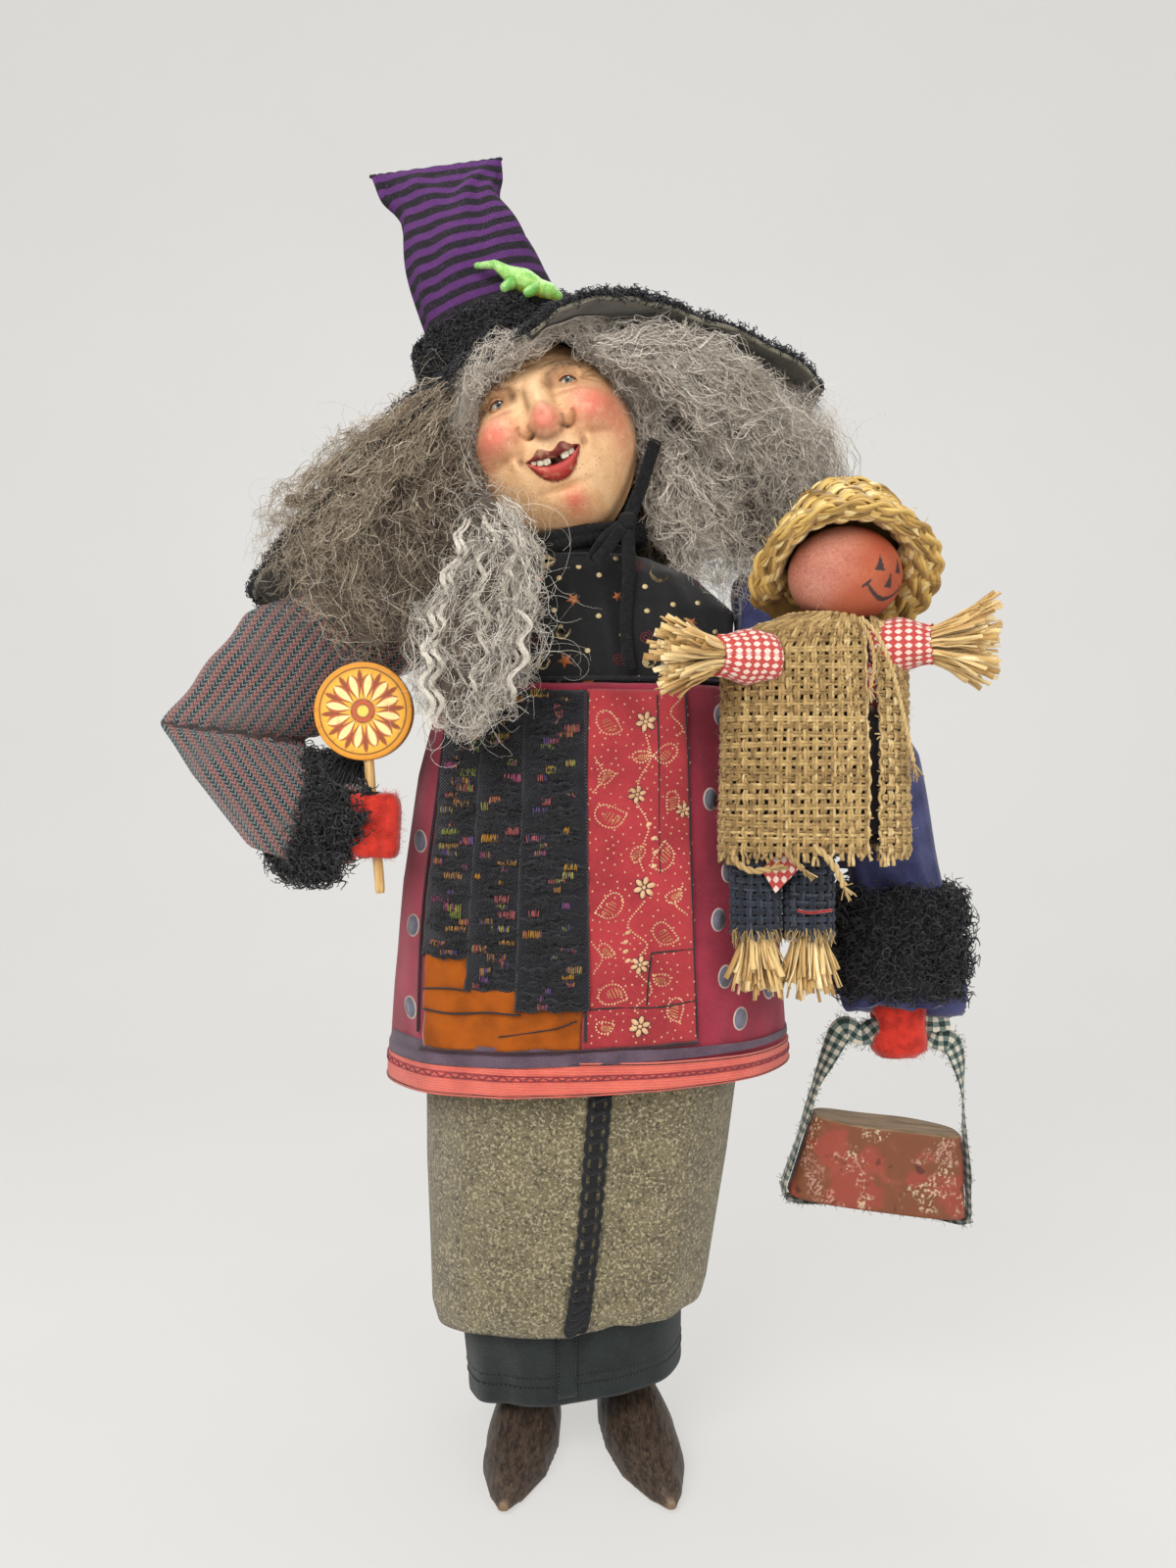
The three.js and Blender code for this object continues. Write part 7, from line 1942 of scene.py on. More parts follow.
def striped_wool():
    """Knitted wool in broken stripes that run along the arm."""
    made = Finish("striped_wool", Roughness=0.95, Sheen_Weight=0.3)
    across, along, _ = made.parts(made.vector("lie"))
    drift = made.math("MULTIPLY", made.noise(14, 2), 1.4)
    wander = made.math("ADD", across, drift)
    stripe = made.sine(wander, 5.0)
    zigzag = made.off_middle(wander, 2.5)
    slant = made.math("MULTIPLY_ADD", zigzag, 3.4, along)
    dash = made.sine(slant, 2.3)
    fuzz = made.noise(0.6, 3)
    dark = made.mix(made.between(made.math("ADD", dash, fuzz), 0.75, 1.25), "#12171a", "#667b7b")
    pink = made.mix(made.between(made.math("SUBTRACT", fuzz, dash), 0.5, 1.2), "#915f58", "#493b39")
    tone = made.mix(made.between(stripe, -0.35, 0.1), dark, pink)
    worn = made.math("MULTIPLY", made.patches(0.45, 0.7, 16, 3), 0.4)
    tone = made.mix(worn, tone, made.mix(fuzz, "#3f3b39", "#75706c"))
    made.colour(tone)
    made.bump(dash, 0.22).bump(stripe, 0.12).bump(fuzz, 0.2).bump(made.noise(9, 3), 0.5)
    return made


def add_right_sleeve():
    wool = striped_wool()
    sleeve = softened("striped_sleeve", ["right_upper_sleeve", "right_forearm_sleeve"], 1.5, 9, wool, None)
    points, out = points_of(sleeve), normals_of(sleeve)
    x, y, z = points.T
    # The sharp fold at the elbow and the creases that fan out from it
    fold = ELBOW[2] - 0.12 * (x - ELBOW[0])
    upper = z > fold
    crease = bell(z, fold - 0.4, 2.2) * (1 - ease(-x, 196, 202))
    amount = -3.4 * crease
    swell = bell(z, fold + 10, 8) * ease(x, -195, -150)
    amount += 1.6 * swell
    turn = np.arctan2(z - ELBOW[2], x - (ELBOW[0] - 36))
    reach = np.hypot(x - (ELBOW[0] - 36), z - ELBOW[2])
    amount += 0.9 * np.sin(turn * 9 + 0.6) * ease(reach, 12, 40) * (1 - ease(reach, 70, 110))
    amount += 0.6 * np.sin(x / 9 + z / 6 + 2 * np.sin(y / 9))
    reshape(sleeve, points + out * amount[:, None])
    down = np.where(upper, 0.80 * x - 0.60 * z, 0.84 * x + 0.54 * z)
    along = np.where(upper, -0.60 * x - 0.80 * z, 0.54 * x - 0.84 * z)
    add_channel(sleeve.data, "lie", np.stack([down + 0.35 * y, along, 0 * x], axis=1))
    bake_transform(sleeve)


def clear_of_disc(points):
    """Parts the fur where the lollipop's disc slides down to its lowest place."""
    points = np.array(points, float)
    for slide in np.linspace(0, -LOLLIPOP_DOWN, 7):
        centre = RIGHT_HAND + (DISC_OFF + slide) * LOLLIPOP_WAY
        away = (points - centre) * (1, 0, 1)
        reach = np.linalg.norm(away, axis=-1, keepdims=True)
        beside = np.abs(points[..., 1:2] - centre[1]) < DISC_HALF + DISC_ROOM
        short = np.maximum(DISC_RADIUS + DISC_ROOM - reach, 0) * beside
        points = points + short * away / np.maximum(reach, 0.1)
    return points


def add_fur(side, body, node, count, seed, hold=None):
    base = softened(f"{side}_cuff_base", [node], 1.6, 8, BLACK_YARN, body, swell=-3.2)
    add_channel(base.data, "shade", np.full(len(base.data.vertices), 0.05))
    if hold is not None:
        reshape(base, hold(points_of(base)))
    root, out = scatter(node, count, seed)
    inner = root - 3.2 * out
    fur = fibre("black_fur", (0.0, "#050506"), (0.7, "#131315"), (1.0, "#2b2b30"), rough=0.38)
    make_curls(
        f"{side}_cuff_curls", inner, out, 7.6, 2.3, 0.46, fur, body, seed + 1, slot="black_boucle",
        steps=12, lay=1.0, hold=hold
    )
    wild = np.random.default_rng(seed + 2)
    pick = wild.integers(0, len(root), 240)
    paths = flyaways(inner[pick], out[pick], 240, seed + 3, length=(9, 20), steps=14, curl=0.25)
    paths = paths if hold is None else hold(paths)
    make_strands(f"{side}_cuff_strays", paths, 0.09, wild.random(240), fur, body, "black_boucle")


def fuzz(name, node, finish, body, count, seed, slot):
    """Fine loose fibres on felt."""
    wild = np.random.default_rng(seed)
    root, out = scatter(node, count, seed)
    way = unit(out + 1.2 * wild.normal(size=root.shape))
    bend = 0.6 * wild.normal(size=root.shape)
    t = np.linspace(0, 1, 5)[None, :, None]
    long = 1.4 * wild.uniform(0.5, 1.5, (len(root), 1, 1))
    paths = root[:, None] - 0.35 * out[:, None] + long * (t * way[:, None] + t**2 * bend[:, None])
    make_strands(name, paths, 0.05, wild.random(len(root)), finish, body, slot)


def add_mitts():
    felt = napped("red_felt", "#bf2f22", "#d94e3c", "#962017", patch=6, fibre=0.45, depth=0.35, sheen=0.7)
    hairs = fibre("red_fuzz", (0.0, "#a32119"), (1.0, "#e2604f"))
    for side, body in (("right", "right_forearm"), ("left", "left_arm")):
        mitt = softened(f"{side}_felt_mitt", [f"{side}_mitt"], 0.9, 8, felt, body)
        points, out = points_of(mitt), normals_of(mitt)
        middle = points.mean(0)
        lump = (
            np.sin(points[:, 2] / 3.6 + 1.3 * np.sin(points[:, 0] / 5))
            + np.sin(points[:, 0] / 4.4 + points[:, 1] / 5)
        )
        reshape(mitt, points + out * (0.35 * lump)[:, None])
        fuzz(f"{side}_mitt_fuzz", f"{side}_mitt", hairs, body, 1400, 120 + len(side), slot="red_felt")
        # The felt is rolled: its end shows a spiral
        turn = np.linspace(0.6, 2.6 * TAU, 90)
        end = middle[2] - (13.6 if side == "right" else 15.2)
        reach = np.linspace(0.25, 0.86, 90)
        coil = np.stack(
            [reach * 11 * np.cos(turn), reach * 8.6 * np.sin(turn), 0.3 * np.sin(3 * turn)], axis=1
        )
        points, faces = tubes(coil[None] + (middle[0], middle[1], end), 0.7, 6)
        make(f"{side}_mitt_roll", points, faces, felt, body, slot="red_felt")


def add_lollipop():
    centre = RIGHT_HAND + DISC_OFF * LOLLIPOP_WAY
    rings, around = 52, 240
    turn = TAU * np.arange(around) / around
    edge = 0.7
    inner = np.linspace(0.3, DISC_RADIUS - edge, rings - 8)
    bend = np.linspace(0, TAU / 4, 9)[1:]
    radius = np.concatenate([inner, DISC_RADIUS - edge + edge * np.sin(bend)])
    front = np.concatenate([np.full(len(inner), -DISC_HALF), -DISC_HALF + edge * (1 - np.cos(bend))])
    radius = np.concatenate([radius, radius[::-1]])
    depth = np.concatenate([front, -front[::-1]])
    grid = np.stack(
        [
            radius[:, None] * np.cos(turn),
            np.repeat(depth[:, None], around, 1),
            radius[:, None] * np.sin(turn),
        ],
        axis=-1,
    )
    r, a = np.broadcast_arrays(radius[:, None], turn[None])
    rough = 0.35 * np.sin(5 * a + 1) + 0.25 * np.sin(11 * a)
    tone = np.tile(painted_rgb("#e2a138"), (*r.shape, 1))

    def paint(code, share):
        nonlocal tone
        share = np.clip(share, 0, 1)[..., None]
        tone = tone * (1 - share) + painted_rgb(code) * share

    paint("#eeb445", 0.8 * bell(r, 12, 6))
    paint("#c9812a", 0.8 * ease(r, 16, 21))
    petals = 12
    spread = np.abs(((a * petals / TAU) % 1) - 0.5) * 2
    second = np.abs((((a * petals / TAU) + 0.5) % 1) - 0.5) * 2
    leaf = np.sin(np.clip((r - 5.4) / 11.0, 0, 1) * math.pi) ** 0.7
    paint("#b4583a", ease(leaf * 0.92 - spread, -0.02, 0.06) * (r < 16.6))
    paint("#f3d692", ease(leaf * 0.55 - spread, -0.02, 0.08) * (r < 16.6))
    paint("#2c2522", bell(leaf * 0.92, spread, 0.055) * (r > 5.6) * (r < 16.4))
    small = np.sin(np.clip((r - 10.5) / 8.0, 0, 1) * math.pi) ** 0.8
    paint("#8f4a2c", ease(small * 0.34 - second, 0, 0.08) * (r < 18.6))
    paint("#b4583a", 1 - ease(r, 4.8, 5.1))
    paint("#f0c35a", 1 - ease(r, 2.6, 2.9))
    paint("#2c2522", bell(r, 5.2 + 0.1 * rough, 0.28))
    paint("#2c2522", bell(r, 2.8, 0.22))
    paint("#3a2d22", bell(r, 18.9 + 0.15 * rough, 0.3))
    back = (depth[:, None] > -DISC_HALF + edge * 0.8) & (r > 0)
    wood_tone = painted_rgb("#a87a45")
    tone[back] = wood_tone
    disc_paint = painted("lollipop_paint", roughness=0.4, depth=0.05, grain=2.6)
    points = (
        centre
        + grid.reshape(-1, 3) @ np.array([[LOLLIPOP_WAY[2], 0, -LOLLIPOP_WAY[0]], [0, 1, 0], LOLLIPOP_WAY])
    )
    rows = len(radius)
    caps = [np.arange(around)[None], (np.arange(around)[::-1] + (rows - 1) * around)[None]]
    faces = [grid_faces(rows, around, True)[:, ::-1], *caps]
    make(
        "sun_wheel_disc", points, faces, disc_paint, "lollipop", ["lollipop_disc"], tint=tone.reshape(-1, 3)
    )

    stick = wood("pale_stick_wood", "#d9b57c", "#ecd3a3", "#b48a52", along=(1, 1, 0.08), size=1.6)
    foot, head = RIGHT_HAND - 30 * LOLLIPOP_WAY, centre - 9.5 * LOLLIPOP_WAY
    line = foot + np.linspace(0, 1, 40)[:, None] * (head - foot)
    line[:, 0] += 0.15 * np.sin(np.linspace(0, 9, 40))
    points, faces = tubes(line[None], 2.15 * np.concatenate([[0.85, 0.97], np.ones(38)]), 20)
    make("turned_stick", points, faces, stick, "lollipop", ["lollipop_stick"])


def add_left_sleeve():
    velvet = napped(
        "navy_velvet", "#43466c", "#676a92", "#2e3052", patch=13, fibre=0.35, depth=0.12, sheen=0.35
    )
    sleeve = softened("velvet_sleeve", ["left_sleeve"], 1.5, 9, velvet, "left_arm")
    points, out = points_of(sleeve), normals_of(sleeve)
    line = LEFT_WRIST - LEFT_SHOULDER
    share = ((points - LEFT_SHOULDER) @ line) / (line @ line)
    off = points - LEFT_SHOULDER - share[:, None] * line
    turn = np.arctan2(off[:, 1], off[:, 0])
    gather = ease(share, 0.25, 0.72)
    pleat = 1 - 2 * np.abs(np.sin(2.5 * turn + 1.6 * np.sin(3 * share) + 0.5)) ** 0.7
    amount = gather * (3.0 * pleat + 1.0 * np.sin(9 * turn + 5 * share))
    amount += (1 - gather) * 1.1 * np.sin(2 * turn + 9 * share) + 0.8 * np.sin(15 * share + 2 * turn)
    amount -= 1.0 * gather
    mouth = ease(share, 0.95, 1.0)
    amount += mouth * (0.8 + 1.6 * np.cos(2 * turn))
    reshape(sleeve, points + out * amount[:, None])


PAIL_TILT = math.radians(7.5)
PAIL_SEAT = np.array([-8.5, 0.0, -64.0])
PAIL_HEIGHT, PAIL_FOOT, PAIL_TOP, PAIL_HALF_DEPTH = 38.0, 41.0, 34.0, 13.5


def from_pail(points):
    x, y, z = np.moveaxis(np.asarray(points, float), -1, 0)
    cos, sin = math.cos(PAIL_TILT), math.sin(PAIL_TILT)
    return np.stack([x * cos + z * sin, y, z * cos - x * sin], axis=-1) + PAIL_SEAT + GRIP


def pail_half(share):
    return PAIL_FOOT + (PAIL_TOP - PAIL_FOOT) * (share + 0.5)


def add_pail():
    rows, around = 46, 220
    turn = TAU * np.arange(around) / around
    bend = np.linspace(0, TAU / 4, 7)
    soft = 1.3
    low = np.stack([-PAIL_HEIGHT / 2 + soft * (1 - np.cos(bend)), -soft * (1 - np.sin(bend))], axis=1)
    high = np.stack([PAIL_HEIGHT / 2 - soft * (1 - np.sin(bend)), -soft * (1 - np.cos(bend))], axis=1)
    middle = np.linspace(low[-1, 0], high[0, 0], rows)[1:-1]
    inward = np.array(
        [[PAIL_HEIGHT / 2, -2.5], [PAIL_HEIGHT / 2 - 0.1, -6.0], [PAIL_HEIGHT / 2 - 0.2, -10.0]]
    )
    profile = np.concatenate([low, np.stack([middle, 0 * middle], axis=1), high, inward])
    z, inset = profile.T
    half = pail_half(z / PAIL_HEIGHT)[:, None] + inset[:, None]
    deep = PAIL_HALF_DEPTH + inset[:, None]
    power = 2 / 3.2
    across = np.sign(np.cos(turn)) * np.abs(np.cos(turn)) ** power * half
    back = np.sign(np.sin(turn)) * np.abs(np.sin(turn)) ** power * deep
    grid = np.stack([across, back, np.broadcast_to(z[:, None], across.shape)], axis=-1)
    grid[..., 2] += 0.25 * np.sin(across / 7) * (z[:, None] > 15)
    paint = Finish("pail_paint", Roughness=0.55)
    up = paint.field("up")
    red = paint.patches(0.47, 0.56, 17, 3, seed=2)
    tone = paint.mix(red, "#6f412a", "#883f30")
    tone = paint.specks(tone, "#98503f", 0.45, 0.55, 0.72, 9, 3, seed=5)
    flaking = paint.math(
        "MULTIPLY", paint.patches(0.52, 0.6, 13, 3, seed=9), paint.patches(0.5, 0.58, 1.5, 4, seed=1)
    )
    tone = paint.mix(paint.math("MULTIPLY", flaking, 0.8), tone, "#c2a98a")
    crackle = paint.math(
        "MULTIPLY", paint.patches(0.54, 0.62, 15, 3, seed=14), paint.patches(0.47, 0.55, 1.1, 4, seed=7)
    )
    tone = paint.mix(paint.math("MULTIPLY", crackle, 0.85), tone, "#b28674")
    bare = paint.math("MULTIPLY", paint.patches(0.62, 0.68, 10, 4, seed=21), 0.85)
    tone = paint.mix(bare, tone, "#4e2a20")
    low_edge = paint.between(up, 3.0, 0.0)
    tone = paint.mix(paint.math("MULTIPLY", low_edge, 0.5), tone, "#6d3d26")
    grain = paint.noise(3.0, 4, stretch=(0.12, 1, 1))
    plank = paint.mix(paint.between(grain, 0.35, 0.65), "#8b7458", "#6c5840")
    tone = paint.mix(paint.between(up, PAIL_HEIGHT - 0.9, PAIL_HEIGHT - 0.5), tone, plank)
    paint.colour(tone)
    paint.bump(flaking, 0.18).bump(crackle, 0.15).bump(paint.noise(4, 4), 0.25).bump(grain, 0.1)
    points = from_pail(grid).reshape(-1, 3)
    count = len(z)
    caps = [np.arange(around)[::-1][None], (np.arange(around) + (count - 1) * around)[None]]
    up_values = np.repeat(z + PAIL_HEIGHT / 2, around)
    make(
        "distressed_pail", points, [grid_faces(count, around, True), *caps], paint, "pail", ["pail"],
        up=up_values
    )


def add_strap():
    def in_pail(x, z):
        return from_pail(np.array([x, 0.0, z])) - GRIP

    def side(way, share, shift=(0, 0, 0)):
        return (
            in_pail(way * (pail_half(min(share, 0.5)) + 2.6 - 6 * max(0, share - 0.5)), PAIL_HEIGHT * share)
            + shift
        )

    right = [
        (0, 0, 0), (9, 0, -1.5), (17, 0, -8), side(1, 1.55, (-4, 0, 0)), side(1, 1.0, (-0.5, 0, 0)),
        side(1, 0.5), side(1, 0.0)
    ]
    under = [
        side(1, -0.42), in_pail(40, -21.3), in_pail(22, -21.0), in_pail(0, -20.8), in_pail(-22, -21.0),
        in_pail(-40, -21.3)
    ]
    left = [
        side(-1, -0.42), side(-1, 0.0), side(-1, 0.5), side(-1, 1.0, (1, 0, 0)), side(-1, 1.5, (5, 0, 0)),
        (-17, 0, -5), (-9, 0, -1), (0, 0, 0)
    ]
    steps = 420
    line = spline(np.array(right + under + left, float), steps)
    way = unit(np.gradient(line, axis=0))
    normal = np.stack([-way[:, 2], 0 * way[:, 1], way[:, 0]], axis=1)
    share = np.linspace(0, 1, steps)
    near_hand = 1 - ease(np.minimum(share, 1 - share), 0.015, 0.05)
    free = bell(share, 0.12, 0.075) + bell(share, 0.885, 0.075)
    facing = np.clip(free, 0, 1)[:, None]
    wobble = 0.35 * np.sin(share * 60)[:, None]
    up = unit(normal * (1 - 0.8 * facing) + np.array([0.0, -1.0, 0.0]) * (facing + 0.2 * wobble))
    half = 5.2 + 0.6 * np.sin(share * 47) + 0.4 * np.sin(share * 111) - 1.4 * near_hand
    sides = 14
    crumple = line + normal * (0.5 * np.sin(share * 75) * facing[:, 0])[:, None]
    points, faces = tubes((crumple + GRIP)[None], half, sides, 0.13, up[None])
    length = np.concatenate([[0], np.cumsum(np.linalg.norm(np.diff(line, axis=0), axis=1))])
    turn = TAU * (np.arange(sides) + 0.5) / sides
    lie = np.stack(
        [half[:, None] * np.cos(turn), np.repeat(length[:, None], sides, 1), 0 * half[:, None] * turn],
        axis=-1
    )
    gingham = Finish("gingham", Roughness=0.9, Sheen_Weight=0.2)
    across, along, _ = gingham.parts(gingham.vector("lie"))
    wide = gingham.between(gingham.sine(across, 4.6), -0.1, 0.1)
    long = gingham.between(gingham.sine(along, 4.6), -0.1, 0.1)
    share_dark = gingham.math("MULTIPLY", gingham.math("ADD", wide, long), 0.5)
    tone = gingham.ramp(share_dark, (0.0, "#c6bcaa"), (0.5, "#66726a"), (1.0, "#1c302d"))
    thread = gingham.noise(0.5, 3)
    gingham.colour(gingham.tint(tone, "#4c524d", 0.5, thread, 0.45, 0.75))
    gingham.bump(thread, 0.2).bump(gingham.noise(2.5, 3), 0.4)
    strap = make("gingham_strap", points, faces, gingham, "pail", ["pail_strap"], lie=lie.reshape(-1, 3))
    # Tail beyond the hand, and loose threads along the torn edges
    tail = Pile()
    tail_line = spline([(4, -2, 1.5), (9, -3.4, 2.2), (15, -4, 1.6), (22, -4.4, 2.4)], 40) + GRIP
    tail_up = np.broadcast_to((0.1, -0.9, 0.3), (40, 3))
    tail_points, tail_faces = tubes(
        tail_line[None], 4.4 + 0.3 * np.sin(np.arange(40)), sides, 0.15, tail_up[None]
    )
    tail_lie = np.stack(
        [
            4.4 * np.cos(turn)[None] + np.zeros((40, 1)),
            np.repeat(np.linspace(0, 18, 40)[:, None], sides, 1), np.zeros((40, sides))
        ],
        axis=-1
    )
    tail.add(tail_points, tail_faces, lie=tail_lie.reshape(-1, 3))
    end = tail.build("gingham_tail", gingham, "pail", slot="gingham")
    wild = np.random.default_rng(141)
    count = 900
    spot = wild.integers(4, steps - 4, count)
    edge = wild.choice([-1.0, 1.0], count)
    across_way = unit(np.cross(way, up))[spot] * edge[:, None]
    root = (crumple + GRIP)[spot] + across_way * (half[spot] * 0.93)[:, None]
    t = np.linspace(0, 1, 6)[None, :, None]
    bend = wild.normal(size=(count, 1, 3)) * 0.9
    long_out = wild.uniform(0.8, 2.6, (count, 1, 1))
    paths = (
        root[:, None]
        + t * long_out * (across_way + 0.6 * way[spot] * wild.normal(size=(count, 1)))[:, None]
        + t**2 * bend
    )
    frayed = fibre("gingham_thread", (0.0, "#1a2c29"), (0.55, "#4f5c55"), (1.0, "#c9bfae"))
    make_strands("strap_fraying", paths, 0.11, wild.random(count), frayed, "pail", "gingham")


add_right_sleeve()
add_fur("right", "right_forearm", "right_fur_cuff", 1900, 101, clear_of_disc)
add_left_sleeve()
add_fur("left", "left_arm", "left_fur_cuff", 1900, 111)
add_mitts()
add_lollipop()
add_pail()
add_strap()


# Scarecrow, in a frame at the middle of its hem
SCARECROW = np.array([97.2, -60.0, 284.0])
BALL = SCARECROW + (13, -1, 112.5)
BALL_SIZE = np.array([24.2, 23.3, 21.0])
BURLAP = np.array(
    [
        (-6.0, 0.0, 40.0, 20.0, 2.6),
        (40.0, 0.0, 39.0, 20.0, 2.6),
        (80.0, 0.0, 39.0, 18.0, 2.4),
        (89.0, 4.0, 32.0, 16.0, 2.4),
        (95.0, 6.0, 16.8, 12.0, 2.0),
    ]
)  # height, side shift, half width, half depth and squareness of the vest's rounds
SLIT_LEFT, SLIT_RIGHT = 14.8, 22.2
RAFFIA = fibre(
    "raffia", (0.0, "#7f602f"), (0.35, "#b8944e"), (0.75, "#d8b96c"), (1.0, "#ead59c"), rough=0.45
)
STRAW = fibre("straw", (0.0, "#a8814a"), (0.4, "#cfab6d"), (0.8, "#e3c88f"), (1.0, "#f0dcae"), rough=0.5)
JUTE = fibre(
    "jute_yarn", (0.0, "#6f5733"), (0.45, "#9d8050"), (0.8, "#b69a66"), (1.0, "#cbb484"), rough=0.8
)
NAVY_JUTE = fibre(
    "navy_jute", (0.0, "#15181f"), (0.5, "#272c38"), (0.85, "#40454f"), (1.0, "#8a8378"), rough=0.85
)


def red_check():
    """Red and white check on the bias, whose third lie channel darkens it with painted shade."""
    made = Finish("red_check", Roughness=0.85, Sheen_Weight=0.2)
    u, v, inside_shade = made.parts(made.vector("lie"))
    a = made.sine(made.math("MULTIPLY_ADD", v, 0.8, u), 6.6)
    b = made.sine(made.math("MULTIPLY_ADD", v, -0.8, u), 6.6)
    both = made.math("MULTIPLY", a, b)
    thread = made.noise(0.5, 3)
    tone = made.mix(made.between(both, 0.05, 0.3), "#b03a36", "#e6d2c4")
    tone = made.tint(tone, "#c4716a", 0.55, thread, 0.42, 0.72)
    tone = made.mix(inside_shade, tone, "#1c1310")
    made.colour(tone).bump(thread, 0.15).bump(made.noise(3.0, 3), 0.4)
    return made


RED_CHECK = red_check()


def add_ball():
    rows, around = 130, 240
    lift = np.linspace(-TAU / 4 + 0.02, TAU / 4 - 0.02, rows)[:, None]
    turn = (TAU * np.arange(around) / around)[None]
    way = np.stack(
        np.broadcast_arrays(np.cos(lift) * np.sin(turn), -np.cos(lift) * np.cos(turn), np.sin(lift)),
        axis=-1
    )
    points = BALL + way * BALL_SIZE
    tone = np.tile(painted_rgb("#9c4a33"), (rows, around, 1))

    def paint(code, share):
        nonlocal tone
        share = np.clip(share, 0, 1)[..., None]
        tone = tone * (1 - share) + painted_rgb(code) * share

    wild = np.random.default_rng(5)
    waves = wild.normal(size=(16, 4)) * (5, 5, 5, 9)
    mottle = (
        sum(np.sin(way[..., 0] * a + way[..., 1] * b + way[..., 2] * c + d) for a, b, c, d in waves) / 16
    )
    paint("#ad5f40", 0.4 + 1.2 * mottle)
    # Painted shade on the underside
    paint("#74351f", 0.7 * ease(-way[..., 2], 0.5, 1.0))
    # Whitish dust, with painted light on the upper front, on the side towards the right hand
    dust_and_painted_light = ease(-way[..., 0] + 0.35 * way[..., 2] - 0.25 * way[..., 1], -0.05, 0.8)
    speck = wild.random((rows, around))
    paint("#d2a797", 0.5 * dust_and_painted_light * (0.35 + 0.65 * speck) + 0.25 * dust_and_painted_light * mottle)
    # Painted face, turned towards the left hand
    middle = math.radians(39)
    a = np.degrees((turn - middle + math.pi) % TAU - math.pi) * np.ones_like(lift) / 1.06
    e = np.degrees(lift) * np.ones_like(turn) / 1.1 - 1.0
    ink = np.zeros_like(a)
    for eye in (-13.5, 13.0):
        tall = (e + 4.5) / 16
        ink = np.maximum(ink, (np.abs(a - eye - 1.0 * tall) < 5.6 * (1 - tall)) * (tall > 0) * (tall < 1))
    tall = (e + 21) / 16
    ink = np.maximum(ink, (np.abs(a - 0.5) < 5.4 * (1 - tall)) * (tall > 0) * (tall < 1))
    smile = -18.5 - 15 * (1 - (a / 26) ** 2)
    ink = np.maximum(ink, (np.abs(e - smile) < 1.9 + 0.8 * (1 - (a / 26) ** 2)) * (np.abs(a) < 26))
    for end, slope in ((-26, 1.0), (26, -1.0)):
        ink = np.maximum(
            ink, (np.abs((e + 18.5) - slope * (a - end) * 0.9) < 1.7) * (np.abs(a - end) < 4.6)
        )
    paint("#2b2d2f", 0.94 * ink)
    clay = painted("terracotta", roughness=0.75, depth=0.08, grain=1.4)
    faces = [
        grid_faces(rows, around, True), np.arange(around)[::-1][None],
        (np.arange(around) + (rows - 1) * around)[None]
    ]
    make(
        "painted_ball", points.reshape(-1, 3), faces, clay, "scarecrow_head", ["scarecrow_head"],
        tint=tone.reshape(-1, 3)
    )


HAT_LEAN = math.radians(-40)


def from_straw_hat(points):
    x, y, z = np.moveaxis(np.asarray(points, float), -1, 0)
    cos, sin = math.cos(HAT_LEAN), math.sin(HAT_LEAN)
    return np.stack([x, y * cos - z * sin, y * sin + z * cos], axis=-1) + BALL


HAT_OUTSIDE = (
    (36.6, 1.8), (33.8, 8.2), (30.4, 15.0), (25.6, 22.0), (18.4, 28.0), (9.0, 31.0),
)  # radius and height of each braid row
HAT_INSIDE = ((35.8, -1.2), (30.8, 1.2), (27.4, 6.0))
BRAID_HALF, STRIP_HALF, CROWN_RISE = 3.3, 1.9, 7.0
# The brim's back edge rises where it passes over the shoulder as the head turns
SHOULDER_LIFT, SHOULDER_TURN, SHOULDER_REACH = 8.0, math.radians(120), math.radians(48)


def braid_rows(name, rows, facing, plait, seed):
    """Flat three-strand braid, sewn round and round."""
    wild = np.random.default_rng(seed)
    braid = Pile()
    for index, (radius, height) in enumerate(rows):
        before = rows[max(index - 1, 0)]
        after = rows[min(index + 1, len(rows) - 1)]
        slope = unit(np.array([after[0] - before[0], after[1] - before[1]], float))
        out = facing * np.array([slope[1], -slope[0]])
        plaits = max(3, round(TAU * radius / plait))
        steps = plaits * 42
        t = np.linspace(0, TAU, steps)
        for phase in (0, TAU / 3, 2 * TAU / 3):
            weave = plaits * t + phase + 0.9 * index
            up = (BRAID_HALF - 0.4 * (facing < 0)) * np.sin(weave)
            over = 1.1 * np.sin(2 * weave) + 0.3 * np.sin(7 * t + index)
            r = radius + slope[0] * up + out[0] * over
            z = height + slope[1] * up + out[1] * over
            path = np.stack([r * np.cos(t), r * np.sin(t), z], axis=1)
            normal = np.stack([out[0] * np.cos(t), out[0] * np.sin(t), np.full(steps, out[1])], axis=1)
            along = np.stack([slope[0] * np.cos(t), slope[0] * np.sin(t), np.full(steps, slope[1])], axis=1)
            for fold in (-0.75, 0.0, 0.75):
                moved = path + 1.3 * STRIP_HALF * fold * along + 0.3 * (1 - abs(fold)) * normal
                lifted = from_straw_hat(normal) - BALL
                moved = from_straw_hat(moved)
                moved[:, 2] += CROWN_RISE * ease(moved[:, 2] - BALL[2], 20, 38) * (facing > 0)
                passing = 1 - ease(np.abs(t - SHOULDER_TURN), 0.25 * SHOULDER_REACH, SHOULDER_REACH)
                moved[:, 2] += SHOULDER_LIFT * passing * (1 - ease(z, 5, 16))
                points, faces = tubes(moved[None], STRIP_HALF, 4, 0.4, lifted[None])
                # Each strand's straw varies at random, and is painted lighter at the upper edge of its row
                # and darker at the lower edge, as light and shade
                tone = np.repeat(0.5 + 0.3 * np.sin(weave) + wild.uniform(-0.3, 0.35), 4)
                braid.add(points, faces, shade=tone)
    braid.build(name, RAFFIA, "scarecrow_head", slot="straw")


